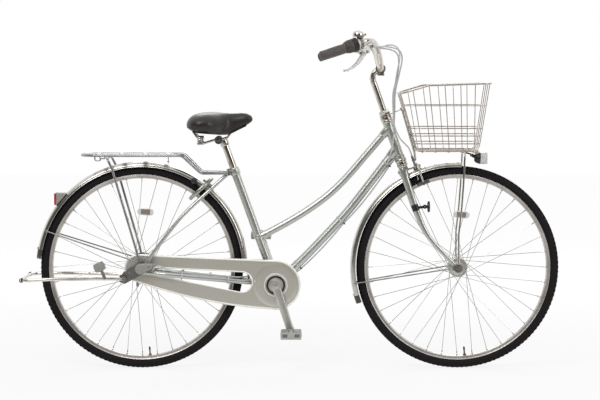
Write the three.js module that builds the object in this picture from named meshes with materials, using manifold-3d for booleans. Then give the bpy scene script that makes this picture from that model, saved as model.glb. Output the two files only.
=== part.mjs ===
// Step-through city bicycle with a front basket, a rear rack, a full chain case and a two-legged stand.
// Millimetres, +X forward, +Y to the rider's left, +Z up. The origin is on the ground under the middle.
import * as THREE from 'three'
import { mergeVertices } from 'three/addons/utils/BufferGeometryUtils.js'
import Module from 'manifold-3d'

const wasm = await Module()
wasm.setup()

// Gaps and counts that serve all pieces
const fit_gap = 0.3
const cut_overrun = 4
const weld_distance = 1e-3
const round_sides = 12
const tube_sides = 10
const thin_sides = 8
const wire_sides = 4
const wheel_steps = 32
const hub_steps = 12
const degree = Math.PI / 180

// The whole bicycle
const wheelbase = 1066
const tyre_radius = 342
const stand_reach = 400
const seat_angle = 70 * degree
const head_angle = 70.86 * degree
const fork_offset = 63.6
const bottom_bracket_drop = 57
const chain_stay_length = 456
const seat_tube_length = 417

// Tyres, rims and valves
const tyre_width = 36
const tyre_wall = 4
const tread_width = 20
const mudguard_clearance = 15
const bead_width = 24.4
const tyre_height = 28.5
const rim_depth = 13.5
const rim_outer_radius = tyre_radius - tyre_height
const rim_inner_radius = rim_outer_radius - rim_depth
const rim_width = 27
const rim_bed_width = 13
const rim_well_depth = 7
const valve_radius = 3
const valve_length = 30
const valve_angle = -85 * degree

// Hubs, spokes and the reflectors on the spokes
const spoke_count = 36
const spoke_radius = 0.9
const spoke_sides = 3
const spoke_lace_angle = 62 * degree
const spoke_stagger = 4.4
const spoke_tuck = 3
const flange_thickness = 6.6
const flange_radius = 32
const flange_spacing = 54
const front_hub_body_radius = 29
const rear_hub_body_radius = 24
const hub_end_radius = 17
const front_hub_width = 88
const rear_hub_width = 70
const reflector_length = 55
const reflector_height = 24
const reflector_thickness = 5
const reflector_offset = 13
const front_reflector_radius = 178
const rear_reflector_radius = 188
const reflector_lean = 4 * degree

// Axles
const axle_radius = 5
const axle_end_reach = 5
const nut_radius = 11
const nut_height = 9
const washer_radius = 13.5
const washer_thickness = 2
const dropout_thickness = 5
const stay_eye_radius = 15.6
const stay_eye_thickness = 3
const front_dropout_spacing = 100
const rear_dropout_spacing = 120

// Frame tubes
const top_tube_radius = 12.7
const top_tube_up_seat_tube = 167
const top_tube_down_head_tube = 26
const top_tube_bow = 41
const down_tube_radius = 14.3
const down_tube_down_head_tube = 100
const down_tube_bow = 18
const seat_tube_radius = 14.3
const seat_tube_bore = 190
const seat_lug_radius = 17.5
const seat_lug_height = 24
const seat_eye_radius = 7.5
const seat_eye_setback = 20
const seat_eye_drop = 17
const seat_eye_width = 32
const bottom_bracket_radius = 20
const bottom_bracket_width = 68
const chain_stay_radius = 9
const chain_stay_inner_offset = 21
const chain_stay_straight_reach = 85
const dropout_height = 30
const dropout_length = 44
const chain_stay_drop = 12
const seat_stay_radius = 6.3
const tube_steps = 12

// Head tube and headset
const head_tube_radius = 16
const head_tube_length = 147
const head_tube_clearance = 38
const head_cup_radius = 19.5
const head_cup_height = 8
const steerer_radius = 12.7
const headset_nut_radius = 18.5
const headset_nut_height = 33
const headset_groove_radius = 16
const headset_groove_low = 14
const headset_groove_depth = 4.6

// Fork
const fork_crown_clearance = 5
const fork_crown_height = tyre_radius + mudguard_clearance + fork_crown_clearance
const fork_crown_depth = 24
const fork_crown_front = 14
const fork_crown_rear = 16
const fork_crown_margin = 1
const fork_blade_rise = 328
const fork_blade_reach = 184
const fork_blade_spread_top = 38
const fork_blade_length_half = 13.5
const fork_blade_width_half = 9
const fork_tip_half = 6.5
const fork_reflector_back = 118
const fork_reflector_rise = 158
const fork_reflector_arm = 24

// Mudguards
const mudguard_width = 48
const mudguard_depth = 17
const mudguard_wall = 1.4
const mudguard_radius = tyre_radius + mudguard_clearance
const mudguard_stay_radius = 2.4
const rear_mudguard_start = -3 * degree
const rear_mudguard_end = 175 * degree
const rear_stay_angle = 159 * degree
const front_mudguard_start = 87 * degree
const front_mudguard_end = 200 * degree
const front_mudguard_setback = 6
const front_stay_angle = 189 * degree
const mudguard_step_angle = 8 * degree
const bridge_radius = 5
const bridge_half_width = 20

// Tail reflector on the rear mudguard
const tail_angle = 139.5 * degree
const tail_lens_height = 39
const tail_lens_width = 58
const tail_lens_thickness = 6
const tail_box_length = 34

// Rear rack
const rack_rail_radius = 5
const rack_half_width = 85
const rack_clearance = 23
const rack_rear_reach = 197
const rack_front_reach = 140
const rack_corner_radius = 55
const rack_corner_points = 5
const rack_strip_width = 18
const rack_strip_thickness = 2.5
const rack_strip_pitch = 78
const rack_strip_count = 4
const rack_strip_first = 90
const rack_slat_radius = 2.5
const rack_slat_offset = 28
const rack_leg_radius = 4.2
const rack_leg_top_reach = 110
const rack_link_width = 14
const rack_strut_low_height = 662
const rack_strut_low_reach = 203

// Crank set, chain and pedals
const crank_length = 165
const crank_lean = 18.3 * degree
const crank_boss_radius = 19
const crank_half_width_boss = 14
const crank_thickness = 13
const crank_inner_offset = 58
const crank_flare = 8
const spindle_radius = 8
const chain_line = 43
const chain_pitch = 12.7
const chainring_teeth = 32
const sprocket_teeth = 16
const tooth_height = 3.2
const tooth_thickness = 2
const chainring_rim_depth = 12
const chainring_arm_width = 18
const chainring_arm_count = 5
const chain_plate_half_height = 4.2
const chain_width = 8
const driver_overhang = 5
const pedal_length = 70
const pedal_width = 88
const pedal_height = 25
const pedal_gap = 6
const pedal_axle_radius = 5
const pedal_cage_wall = 5
const pedal_centre_radius = 12

// Chain case
const case_big_radius = 83.9
const case_small_radius = 47
const case_rear_overhang = 9.5
const case_outer_offset = 51
const case_depth = 17
const case_wall = 1.5
const case_belly = 17
const case_crank_hole_radius = 27
const slot_front_reach = 339
const slot_front_drop = 46.8
const slot_front_radius = 33.5
const slot_rear_reach = 52
const slot_rear_drop = 10.9
const slot_rear_radius = 12
const case_strap_width = 22
const case_axle_hole_radius = 12
const arc_points = 12

// Gear cover, band brake and stand
const gear_cover_length = 62
const gear_cover_radius = 18
const gear_cover_tip_radius = 10
const gear_cover_lean = 16 * degree
const gear_cover_inner = 73
const gear_cover_outer = 94
const gear_cover_middle = 84
const drum_radius = 46
const drum_thickness = 17.6
const brake_arm_length = 66
const brake_arm_width = 14
const brake_arm_thickness = 4
const brake_arm_pivot_back = 20
const brake_arm_pivot_drop = 8
const brake_anchor_reach = 130
const brake_anchor_height = 12
const brake_anchor_thickness = 4
const stand_pivot_back = 57.5
const stand_pivot_down = 35
const stand_plate_thickness = 4
const stand_plate_width = 40
const stand_pin_radius = 4
const stand_hub_radius = 12
const stand_hub_width = 11
const stand_leg_radius = 5.8
const stand_foot_half_width = 130
const stand_foot_reach = stand_reach - stand_leg_radius
const stand_rise = 4
const stand_tread_back = 136
const stand_tread_height = 349
const stand_tread_length = 32
const stand_tread_width = 30
const stand_tread_thickness = 22

// Ring lock on the seat stays
const lock_angle = 55 * degree
const lock_rim_gap = 21
const lock_travel = 66 * degree
const lock_ring_radius = 50
const lock_plane_angle = 42.7 * degree
const lock_half_width = 8
const lock_half_depth = 7
const lock_gap_half_angle = 30 * degree
const lock_bolt_radius = 3.6
const lock_bolt_arc = 80 * degree
const lock_bolt_start = 68 * degree
const lock_knob_angle = 80 * degree
const lock_play = 4 * degree
const lock_steps = 14
const lock_mount_length = 14
const lock_mount_width = 13
const lock_mount_depth = 20
const lock_mount_rise = 30
const lock_mount_offset = 41
const lock_knob_radius = 11
const lock_knob_reach = 36
const lock_stalk_radius = 2.6

// Seat post and saddle
const seat_post_radius = 12.5
const seat_post_rise = 101
const seat_post_insertion = 130
const saddle_length = 234
const saddle_width = 200
const saddle_height = 76
const saddle_tail_setback = 128.3
const saddle_rise = 94.7
const saddle_rail_radius = 3.5
const saddle_rail_spread = 22
const saddle_clamp_radius = 14
const saddle_clamp_width = 56
const saddle_clamp_setback = 15
const saddle_clamp_wall = 3
const saddle_nose_hold_ahead = 69.7
const saddle_nose_hold_rise = 40.6
const saddle_loop_setback = 99.3
const saddle_loop_rise = 26.6
const saddle_spring_radius = 9
const saddle_spring_wire = 1.9
const saddle_spring_turns = 3
const saddle_spring_pitch = 7
const saddle_spring_spread = 56
const saddle_spring_setback = 76.3
const saddle_spring_drop = 11.8
const spring_steps = 8
const spring_sides = 5

// Stem, handlebar and what it carries
const quill_radius = 11.1
const quill_insertion = 70
const stem_height = 718
const stem_reach = 36
const stem_clamp_radius = 17
const stem_clamp_width = 42
const bar_radius = 11.1
const bar_sleeve_radius = 12.7
const bar_sleeve_width = 60
const bar_reach = 200
const bar_rise = 91
const bar_half_width = 270
const bar_steps = 10
const bar_end_rise = 41
const grip_length = 88
const grip_radius = 15.5
const grip_flange = 1.5
const shifter_length = 43
const shifter_radius = 23
const lever_clamp_length = 26
const lever_clamp_radius = 17
const lever_pivot_drop = 33
const lever_pivot_ahead = 12
const lever_perch_width = 20
const lever_blade_width = 10
const lever_blade_thickness = 5
const lever_pivot_radius = 6
const lever_cheek_margin = 1
const lever_length = 90
const lever_rest_angle = 27 * degree
const lever_pin_radius = 2.2
const ferrule_length = 9
const ferrule_radius = 3.6
const lever_curve = 14
const bell_radius = 19
const bell_height = 19
const bell_wall = 1.5
const bell_foot = 8
const bell_stalk_radius = 4.5
const striker_length = 16
const striker_radius = 2.4

// Basket, its bracket and stays
const basket_bottom_height = 738
const basket_floor_setback = 141
const basket_bottom_rear = wheelbase - basket_floor_setback
const basket_bottom_length = 204
const basket_bottom_width = 280
const basket_rim_setback = 198
const basket_top_rear = wheelbase - basket_rim_setback
const basket_top_length = 296
const basket_top_width = 350
const basket_front_height = 962
const basket_rear_height = 929
const basket_corner_radius = 34
const basket_rim_radius = 3
const basket_wire_radius = 1.6
const basket_side_wires = 3
const basket_long_wires = 4
const basket_bracket_width = 90
const basket_bracket_radius = 3.6
const basket_ring_edge = 2
const basket_bracket_drop = 26
const basket_hold_share = 0.72
const basket_bend_share = 0.3
const basket_hoop_shares = [0.79, 0.28]
const basket_stay_radius = 3.2
const basket_stay_spread = 62
const basket_stay_ahead = 20

// Headlamp
const lamp_radius = 20
const lamp_length = 40
const lamp_lens_thickness = 4
const lamp_forward = 72
const lamp_drop = 26
const lamp_side = 44
const lamp_tab_width = 12
const lamp_tab_depth = 2

// Front brake callipers
const calliper_pivot_rise = 5
const calliper_pivot_ahead = 36
const calliper_half_span = 33
const calliper_tail_length = 24
const brake_bolt_radius = 3
const brake_bolt_reach = 10
const calliper_arm_thickness = 7
const calliper_arm_width = 11
const calliper_arm_gap = 0.6
const brake_shoe_length = 42
const brake_shoe_height = 10
const brake_shoe_overlap = 1
const brake_shoe_gap = 2.6

// Cables
const cable_radius = 2.5
const cable_steps = 20
const cable_loop_reach = 100
const cable_loop_side = 200
const cable_loop_rise = 250
const clip_width = 8
const clip_thickness = 1.2
const clip_shares = [0.9, 0.5, 0.1]
const cable_run_shares = [0.93, 0.8, 0.66, 0.5, 0.34, 0.2, 0.1]
const cable_run_steps = 16
const loop_end_share = 0.935
const loop_last_share = 0.965
const brake_cable_end = 8
const fork_reflector_radius = 19

// Places worked out from the sizes above: x from the rear axle, z from the ground
const axle_height = tyre_radius
const bottom_bracket_x = Math.sqrt(chain_stay_length ** 2 - bottom_bracket_drop ** 2)
const bottom_bracket_z = axle_height - bottom_bracket_drop
const seat_up = at(-Math.cos(seat_angle), 0, Math.sin(seat_angle))
const seat_top = along(at(bottom_bracket_x, 0, bottom_bracket_z), seat_up, seat_tube_length)
const steer_up = at(-Math.cos(head_angle), 0, Math.sin(head_angle))
const steer_forward = at(Math.sin(head_angle), 0, Math.cos(head_angle))
const steer_foot = along(at(wheelbase, 0, axle_height), steer_forward, -fork_offset)
const head_tube_height = fork_crown_height + head_tube_clearance
const calliper_pivot_height = fork_crown_height + calliper_pivot_rise
const rack_height = axle_height + mudguard_radius + rack_clearance
const rear_dropout_y = rear_dropout_spacing / 2 + dropout_thickness / 2
const rear_dropout_outer = rear_dropout_spacing / 2 + dropout_thickness
const front_dropout_y = front_dropout_spacing / 2 + dropout_thickness / 2
const front_dropout_outer = front_dropout_spacing / 2 + dropout_thickness

function at(x, y, z) {
  return new THREE.Vector3(x, y, z)
}

function along(start, direction, distance) {
  return start.clone().addScaledVector(direction, distance)
}

// A point by its height up the steering axis, its distance ahead of it and its side
function steer(height, ahead, side = 0) {
  const place = along(along(steer_foot, steer_up, height), steer_forward, ahead)
  return place.setY(side)
}

// Shared-vertex copy of a geometry with its collapsed faces dropped and its faces outward
function cleaned(geometry) {
  const plain = new THREE.BufferGeometry()
  plain.setAttribute('position', geometry.getAttribute('position').clone())
  if (geometry.index) plain.setIndex(geometry.index.clone())
  const merged = mergeVertices(plain, weld_distance)
  const corners = merged.index.array
  const spots = merged.getAttribute('position')
  const kept = []
  let volume = 0
  const [p, q, r] = [at(0, 0, 0), at(0, 0, 0), at(0, 0, 0)]
  for (let i = 0; i < corners.length; i += 3) {
    const [a, b, c] = [corners[i], corners[i + 1], corners[i + 2]]
    if (a === b || b === c || c === a) continue
    kept.push(a, b, c)
    p.fromBufferAttribute(spots, a)
    q.fromBufferAttribute(spots, b)
    r.fromBufferAttribute(spots, c)
    volume += p.dot(q.cross(r))
  }
  merged.setIndex(volume < 0 ? kept.reverse() : kept)
  return merged
}

function solid_of(geometry) {
  const clean = cleaned(geometry)
  const vertProperties = clean.getAttribute('position').array
  const triVerts = new Uint32Array(clean.index.array)
  return new wasm.Manifold(new wasm.Mesh({ numProp: 3, vertProperties, triVerts }))
}

function geometry_of(solid) {
  const mesh = solid.getMesh()
  const geometry = new THREE.BufferGeometry()
  geometry.setAttribute('position', new THREE.BufferAttribute(mesh.vertProperties, 3))
  geometry.setIndex(new THREE.BufferAttribute(mesh.triVerts, 1))
  return geometry
}

function joined(...geometries) {
  return geometry_of(geometries.flat().map(solid_of).reduce((whole, next) => whole.add(next)))
}

function cut(geometry, ...tools) {
  return geometry_of(tools.flat().map(solid_of).reduce((whole, next) => whole.subtract(next),
    solid_of(geometry)))
}

function mirrored(geometry) {
  return cleaned(geometry.clone().scale(1, -1, 1))
}

// Round bar between two points, or a cone with a second radius
function rod(start, end, radius, sides = thin_sides, end_radius = radius) {
  const span = end.clone().sub(start)
  const bar = new THREE.CylinderGeometry(end_radius, radius, span.length(), sides)
  bar.applyQuaternion(new THREE.Quaternion().setFromUnitVectors(at(0, 1, 0), span.normalize()))
  const middle = start.clone().add(end).divideScalar(2)
  return bar.translate(middle.x, middle.y, middle.z)
}

// Round bar across the bicycle from one side value to another
function cross_rod(x, z, radius, y_from, y_to, sides = round_sides) {
  return rod(at(x, y_from, z), at(x, y_to, z), radius, sides)
}

function circle_shape(radius, sides) {
  const spots = []
  for (let i = 0; i < sides; i += 1) {
    const angle = 2 * Math.PI * i / sides
    spots.push(new THREE.Vector2(radius * Math.cos(angle), radius * Math.sin(angle)))
  }
  return new THREE.Shape(spots)
}

// Round tube along a smooth curve through the points
function tube(points, radius, sides = thin_sides, steps = tube_steps) {
  const path = new THREE.CatmullRomCurve3(points, false, 'centripetal')
  return new THREE.ExtrudeGeometry(circle_shape(radius, sides), { extrudePath: path, steps })
}

// Skin over rings of points, closed on itself or with flat ends
function lofted(rings, section, closed = false) {
  const count = section.length
  const spots = rings.flat().flatMap(spot => [spot.x, spot.y, spot.z])
  const corners = []
  const spans = closed ? rings.length : rings.length - 1
  for (let i = 0; i < spans; i += 1) {
    const here = i * count
    const next = (i + 1) % rings.length * count
    for (let j = 0; j < count; j += 1) {
      const k = (j + 1) % count
      corners.push(here + j, here + k, next + k, here + j, next + k, next + j)
    }
  }
  if (!closed) {
    const last = (rings.length - 1) * count
    for (const [a, b, c] of THREE.ShapeUtils.triangulateShape(section.slice(), [])) {
      corners.push(c, b, a, last + a, last + b, last + c)
    }
  }
  const geometry = new THREE.BufferGeometry()
  geometry.setAttribute('position', new THREE.Float32BufferAttribute(spots, 3))
  geometry.setIndex(corners)
  return geometry
}

// Section carried along stations, each with its place, two directions and two scales
function swept(section, stations, closed = false) {
  const rings = stations.map(({ place, across, up, wide = 1, tall = 1 }) => section.map(spot => {
    return along(along(place, across, spot.x * wide), up, spot.y * tall)
  }))
  return lofted(rings, section, closed)
}

// Wire bent at sharp corners, closed on itself or with flat ends
function wire(points, radius, sides = wire_sides, closed = false) {
  const section = circle_shape(radius, sides).getPoints()
  const count = points.length
  let across = null
  const stations = points.map((place, i) => {
    const before = points[closed ? (i + count - 1) % count : Math.max(i - 1, 0)]
    const after = points[closed ? (i + 1) % count : Math.min(i + 1, count - 1)]
    const direction = after.clone().sub(before).normalize()
    const hint = Math.abs(direction.z) < Math.cos(seat_angle / 2) ? at(0, 0, 1) : at(0, 1, 0)
    across = across ?? new THREE.Vector3().crossVectors(direction, hint).normalize()
    across = across.clone().addScaledVector(direction, -across.dot(direction)).normalize()
    return { place, across, up: new THREE.Vector3().crossVectors(across, direction) }
  })
  return swept(section, stations, closed)
}

function box(x_size, y_size, z_size, x = 0, y = 0, z = 0) {
  return new THREE.BoxGeometry(x_size, y_size, z_size).translate(x, y, z)
}

// Flat plate whose outline lies in the side view, between two side values
function side_plate(shape, y_from, y_to, curve_points = thin_sides) {
  const settings = { depth: y_to - y_from, bevelEnabled: false, curveSegments: curve_points }
  return new THREE.ExtrudeGeometry(shape, settings).rotateX(Math.PI / 2).translate(0, y_to, 0)
}

function shape_of(points) {
  return new THREE.Shape(points.map(([x, y]) => new THREE.Vector2(x, y)))
}

// Turned piece whose axis runs across the bicycle; each point is a radius and a side value
function turned(points, steps, x, z) {
  const profile = points.map(([radius, side]) => new THREE.Vector2(radius, side))
  return new THREE.LatheGeometry(profile, steps).translate(x, 0, z)
}

// Turned piece along any axis, whose points are a radius and a distance from the start
function turned_along(points, steps, start, direction) {
  const profile = points.map(([radius, side]) => new THREE.Vector2(radius, side))
  const turn = new THREE.Quaternion().setFromUnitVectors(at(0, 1, 0), direction.clone().normalize())
  return new THREE.LatheGeometry(profile, steps).applyQuaternion(turn).translate(start.x, start.y, start.z)
}

const model = new THREE.Group()
model.position.x = (stand_reach - wheelbase - tyre_radius) / 2

function add(name, geometry, colour, roughness, metalness) {
  const material = new THREE.MeshStandardMaterial({ color: colour, roughness, metalness })
  const mesh = new THREE.Mesh(cleaned(geometry), material)
  mesh.name = name
  model.add(mesh)
}

// Finishes: colour, roughness, metalness
const silver_paint = ['#b4b3ad', 0.38, 0.55]
const case_paint = ['#a9a79d', 0.42, 0.45]
const chrome = ['#c9c8c4', 0.12, 1]
const bright_steel = ['#b9b6ae', 0.3, 0.9]
const dark_steel = ['#5b5b5e', 0.45, 0.8]
const alloy = ['#c4c3bf', 0.35, 0.85]
const rubber = ['#1c1b1d', 0.85, 0]
const grey_plastic = ['#8f9089', 0.55, 0]
const dark_plastic = ['#4a4744', 0.6, 0]
const leatherette = ['#3b3532', 0.55, 0]
const clear_plastic = ['#dfe3e6', 0.15, 0]
const red_plastic = ['#a8161c', 0.2, 0]
const cable_grey = ['#b5b6b4', 0.5, 0]

// A tyre is an open channel of rubber whose beads stand on the rim
function tyre(x) {
  const seat = rim_outer_radius + fit_gap
  const belly = (tyre_radius + seat) / 2 + tyre_wall / 2
  const half = tyre_width / 2
  const bead = bead_width / 2
  return turned([
    [seat, -bead], [belly, -half], [tyre_radius, -tread_width / 2], [tyre_radius, tread_width / 2], [belly,
      half],
    [seat, bead], [tyre_radius - 2 * tyre_wall, tread_width / 2], [tyre_radius - 2 * tyre_wall,
      -tread_width / 2],
    [seat, -bead],
  ], wheel_steps, x, axle_height)
}

function rim(x) {
  const ring = turned([
    [rim_outer_radius, -rim_width / 2], [rim_inner_radius, -rim_bed_width / 2],
    [rim_inner_radius, rim_bed_width / 2], [rim_outer_radius, rim_width / 2],
    [rim_outer_radius - rim_well_depth, 0], [rim_outer_radius, -rim_width / 2],
  ], wheel_steps, x, axle_height)
  const toward = at(Math.cos(valve_angle), 0, Math.sin(valve_angle))
  const hub = at(x, 0, axle_height)
  const outer = rim_inner_radius + rim_well_depth / 3
  const valve = rod(along(hub, toward, outer), along(hub, toward, outer - valve_length), valve_radius,
    wire_sides)
  return joined(ring, valve)
}

// Laced spokes of one side: each leaves its flange at a slant, every other one the opposite way
function side_spokes(x, side) {
  const spokes = []
  const flange_y = side * flange_spacing / 2
  for (let i = 0; i < spoke_count / 2; i += 1) {
    const rim_angle = (2 * i + (side > 0 ? 1 : 0)) * 2 * Math.PI / spoke_count
    const slant = i % 2 ? -1 : 1
    const flange_angle = rim_angle + slant * spoke_lace_angle
    const hole = flange_radius - spoke_tuck
    const y = flange_y + slant * spoke_stagger / 2
    const inner = at(x + hole * Math.cos(flange_angle), y, axle_height + hole * Math.sin(flange_angle))
    const reach = rim_inner_radius * Math.cos(Math.PI / wheel_steps) - fit_gap
    const outer_y = side * spoke_stagger / 2
    const outer = at(x + reach * Math.cos(rim_angle), outer_y, axle_height + reach * Math.sin(rim_angle))
    spokes.push(rod(inner, outer, spoke_radius, spoke_sides))
  }
  return spokes
}

function hub_with_spokes(x, body_radius, hub_width, reflector_radius) {
  const inner = (flange_spacing - flange_thickness) / 2
  const outer = (flange_spacing + flange_thickness) / 2
  const bore = axle_radius + 2 * fit_gap
  const shell = turned([
    [bore, -hub_width / 2], [hub_end_radius, -hub_width / 2], [hub_end_radius, -outer],
    [flange_radius, -outer], [flange_radius, -inner], [body_radius, -inner],
    [body_radius, inner], [flange_radius, inner], [flange_radius, outer],
    [hub_end_radius, outer], [hub_end_radius, hub_width / 2], [bore, hub_width / 2],
    [bore, -hub_width / 2],
  ], hub_steps, x, axle_height)
  const plate = box(reflector_length, reflector_thickness, reflector_height, 0, -reflector_offset,
    reflector_radius)
  plate.rotateY(reflector_lean).translate(x, 0, axle_height)
  return joined(shell, side_spokes(x, 1), side_spokes(x, -1), plate)
}

// An axle with its washers and nuts, which stand just outside the dropouts
function axle_with_nuts(x, spacing, reaches_in) {
  const outer = spacing / 2 + dropout_thickness + fit_gap
  const end = outer + washer_thickness + nut_height + axle_end_reach
  const pieces = [cross_rod(x, axle_height, axle_radius, -end, end, thin_sides)]
  for (const [side, reach_in] of [[-1, reaches_in[0]], [1, reaches_in[1]]]) {
    const washer = outer + washer_thickness
    const shoulder = spacing / 2 - fit_gap
    pieces.push(cross_rod(x, axle_height, washer_radius, side * outer, side * washer, thin_sides))
    pieces.push(cross_rod(x, axle_height, nut_radius, side * washer, side * (washer + nut_height), 6))
    pieces.push(cross_rod(x, axle_height, nut_radius, side * reach_in, side * shoulder, thin_sides))
  }
  return joined(pieces)
}

for (const [end, x] of [['front', wheelbase], ['rear', 0]]) {
  add(end + '_tyre', tyre(x), ...rubber)
  add(end + '_rim', rim(x), ...alloy)
}
add('front_hub', hub_with_spokes(wheelbase, front_hub_body_radius, front_hub_width, front_reflector_radius),
  ...alloy)
add('rear_hub', hub_with_spokes(0, rear_hub_body_radius, rear_hub_width, rear_reflector_radius), ...alloy)
add('front_axle', axle_with_nuts(wheelbase, front_dropout_spacing, [front_hub_width / 2 + fit_gap,
  front_hub_width / 2 + fit_gap]), ...dark_steel)

// Frame tubes, bent like the step-through pair in one sweep each
const bottom_bracket = at(bottom_bracket_x, 0, bottom_bracket_z)
const head_bottom = steer(head_tube_height, 0)
const head_top = steer(head_tube_height + head_tube_length, 0)

function bowed_points(start, end, bow, shares) {
  const chord = end.clone().sub(start)
  const down = at(chord.z, 0, -chord.x).normalize()
  return shares.map(([length_share, bow_share]) => along(along(start, chord, length_share), down,
    bow * bow_share))
}

const top_tube_shares = [[0, 0], [0.1, 0.31], [0.19, 0.57], [0.33, 0.87], [0.47, 1], [0.61, 0.88], [0.81,
  0.44], [1, 0]]
const down_tube_shares = [[0, 0], [0.17, 0.6], [0.42, 0.95], [0.58, 0.98], [0.76, 0.6], [1, 0]]
const top_tube_start = along(seat_top, seat_up, top_tube_up_seat_tube - seat_tube_length)
const top_tube_points = bowed_points(top_tube_start, along(head_top, steer_up, -top_tube_down_head_tube),
  top_tube_bow,
  top_tube_shares)
const down_tube_points = bowed_points(bottom_bracket, along(head_top, steer_up, -down_tube_down_head_tube),
  down_tube_bow, down_tube_shares)

const head_clearance = rod(head_bottom, head_top, head_tube_radius + fit_gap, round_sides)
const bracket_clearance = cross_rod(bottom_bracket_x, bottom_bracket_z, bottom_bracket_radius + fit_gap,
  -bottom_bracket_width, bottom_bracket_width, hub_steps)
const seat_tube_clearance = rod(bottom_bracket, seat_top, seat_tube_radius + fit_gap, round_sides)

function head_tube() {
  const cup = head_cup_radius
  const end = head_tube_length
  const bore = (steerer_radius + fit_gap) / Math.cos(Math.PI / round_sides)
  return turned_along([
    [bore, 0], [cup, 0], [cup, head_cup_height], [head_tube_radius, head_cup_height + fit_gap],
    [head_tube_radius, end - head_cup_height - fit_gap], [cup, end - head_cup_height], [cup, end], [bore,
      end],
    [bore, 0],
  ], round_sides, head_bottom, steer_up)
}

function seat_tube() {
  const lug_foot = along(seat_top, seat_up, -seat_lug_height)
  const eye = seat_eye()
  const tube_and_lug = joined(
    rod(bottom_bracket, seat_top, seat_tube_radius, round_sides),
    rod(lug_foot, seat_top, seat_lug_radius, round_sides),
    cross_rod(eye.x, eye.z, seat_eye_radius, -seat_eye_width / 2, seat_eye_width / 2, thin_sides),
    box(seat_eye_setback, seat_eye_width / 2, seat_eye_radius, eye.x + seat_eye_setback / 2, 0, eye.z),
  )
  const bore_foot = along(seat_top, seat_up, -seat_tube_bore)
  const bore = rod(bore_foot, along(seat_top, seat_up, cut_overrun), seat_post_radius + fit_gap, round_sides)
  return cut(tube_and_lug, bore, bracket_clearance)
}

// Centre of the bolt eye behind the seat lug, where the stays and the rack meet
function seat_eye() {
  return along(seat_top, seat_up, -seat_eye_drop).sub(at(seat_eye_setback, 0, 0))
}

add('head_tube', head_tube(), ...silver_paint)
add('top_tube', cut(tube(top_tube_points, top_tube_radius, tube_sides), head_clearance, seat_tube_clearance),
  ...silver_paint)
add('down_tube', cut(tube(down_tube_points, down_tube_radius, tube_sides), head_clearance, bracket_clearance,
  seat_tube_clearance), ...silver_paint)
add('seat_tube', seat_tube(), ...silver_paint)
add('bottom_bracket_shell', turned([
  [spindle_radius + fit_gap, -bottom_bracket_width / 2], [bottom_bracket_radius, -bottom_bracket_width / 2],
  [bottom_bracket_radius, bottom_bracket_width / 2], [spindle_radius + fit_gap, bottom_bracket_width / 2],
  [spindle_radius + fit_gap, -bottom_bracket_width / 2],
], hub_steps, bottom_bracket_x, bottom_bracket_z), ...silver_paint)

// Left chain stay with its flat rear dropout
function chain_stay() {
  const low = axle_height - chain_stay_drop
  const slope = (low - bottom_bracket_z) / bottom_bracket_x
  const height_at = x => low - slope * x
  const bend = chain_stay_straight_reach
  const stay = wire([
    at(bottom_bracket_x, chain_stay_inner_offset, bottom_bracket_z),
    at(bend, rear_dropout_y, height_at(bend)),
    at(dropout_length / 2, rear_dropout_y, height_at(dropout_length / 2)),
  ], chain_stay_radius, tube_sides)
  const plate = box(dropout_length, dropout_thickness, dropout_height, dropout_length / 4, rear_dropout_y,
    axle_height - chain_stay_drop / 2)
  const axle_hole = cross_rod(0, axle_height, axle_radius + 2 * fit_gap, 0, rear_dropout_spacing, thin_sides)
  return cut(joined(stay, plate), axle_hole, bracket_clearance)
}

// Left seat stay, from the eye behind the seat lug down to the dropout
const seat_stay_shares = [[0, 0], [0.075, 0.19], [0.21, 0.42], [0.54, 0.82], [0.69, 0.92], [0.95, 1], [1, 1]]
const seat_stay_drop_shares = [0, 0.055, 0.165, 0.445, 0.605, 0.92, 1]

function seat_stay_points() {
  const top = seat_eye()
  const top_y = seat_eye_width / 2 + fit_gap + seat_stay_radius
  const foot = at(dropout_length / 3, rear_dropout_y, axle_height + dropout_height / 2 - chain_stay_drop / 2)
  return seat_stay_shares.map(([length_share, side_share], i) => at(
    top.x + (foot.x - top.x) * length_share,
    top_y + (foot.y - top_y) * side_share,
    top.z + (foot.z - top.z) * seat_stay_drop_shares[i],
  ))
}

function seat_stay() {
  const top = seat_eye()
  const top_y = seat_eye_width / 2 + fit_gap
  const eye = cross_rod(top.x, top.z, seat_eye_radius, top_y, top_y + 2 * seat_stay_radius, thin_sides)
  const dropout_clearance = box(dropout_length, dropout_thickness * 4, dropout_height + 2 * fit_gap,
    dropout_length / 4, rear_dropout_y, axle_height - chain_stay_drop / 2)
  const lug_clearance = rod(along(seat_top, seat_up, -2 * seat_lug_height), along(seat_top, seat_up,
    cut_overrun),
    seat_lug_radius + fit_gap, round_sides)
  return cut(joined(wire(seat_stay_points(), seat_stay_radius, thin_sides), eye), dropout_clearance,
    lug_clearance)
}

add('left_chain_stay', chain_stay(), ...silver_paint)
add('right_chain_stay', mirrored(chain_stay()), ...silver_paint)
add('left_seat_stay', seat_stay(), ...silver_paint)
add('right_seat_stay', mirrored(seat_stay()), ...silver_paint)

// Mudguards: a crowned channel swept round the wheel, with a pair of wire stays to the axle
const mudguard_outer_shares = [[-1, -1], [-0.72, -0.28], [0, 0], [0.72, -0.28], [1, -1]]

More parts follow.
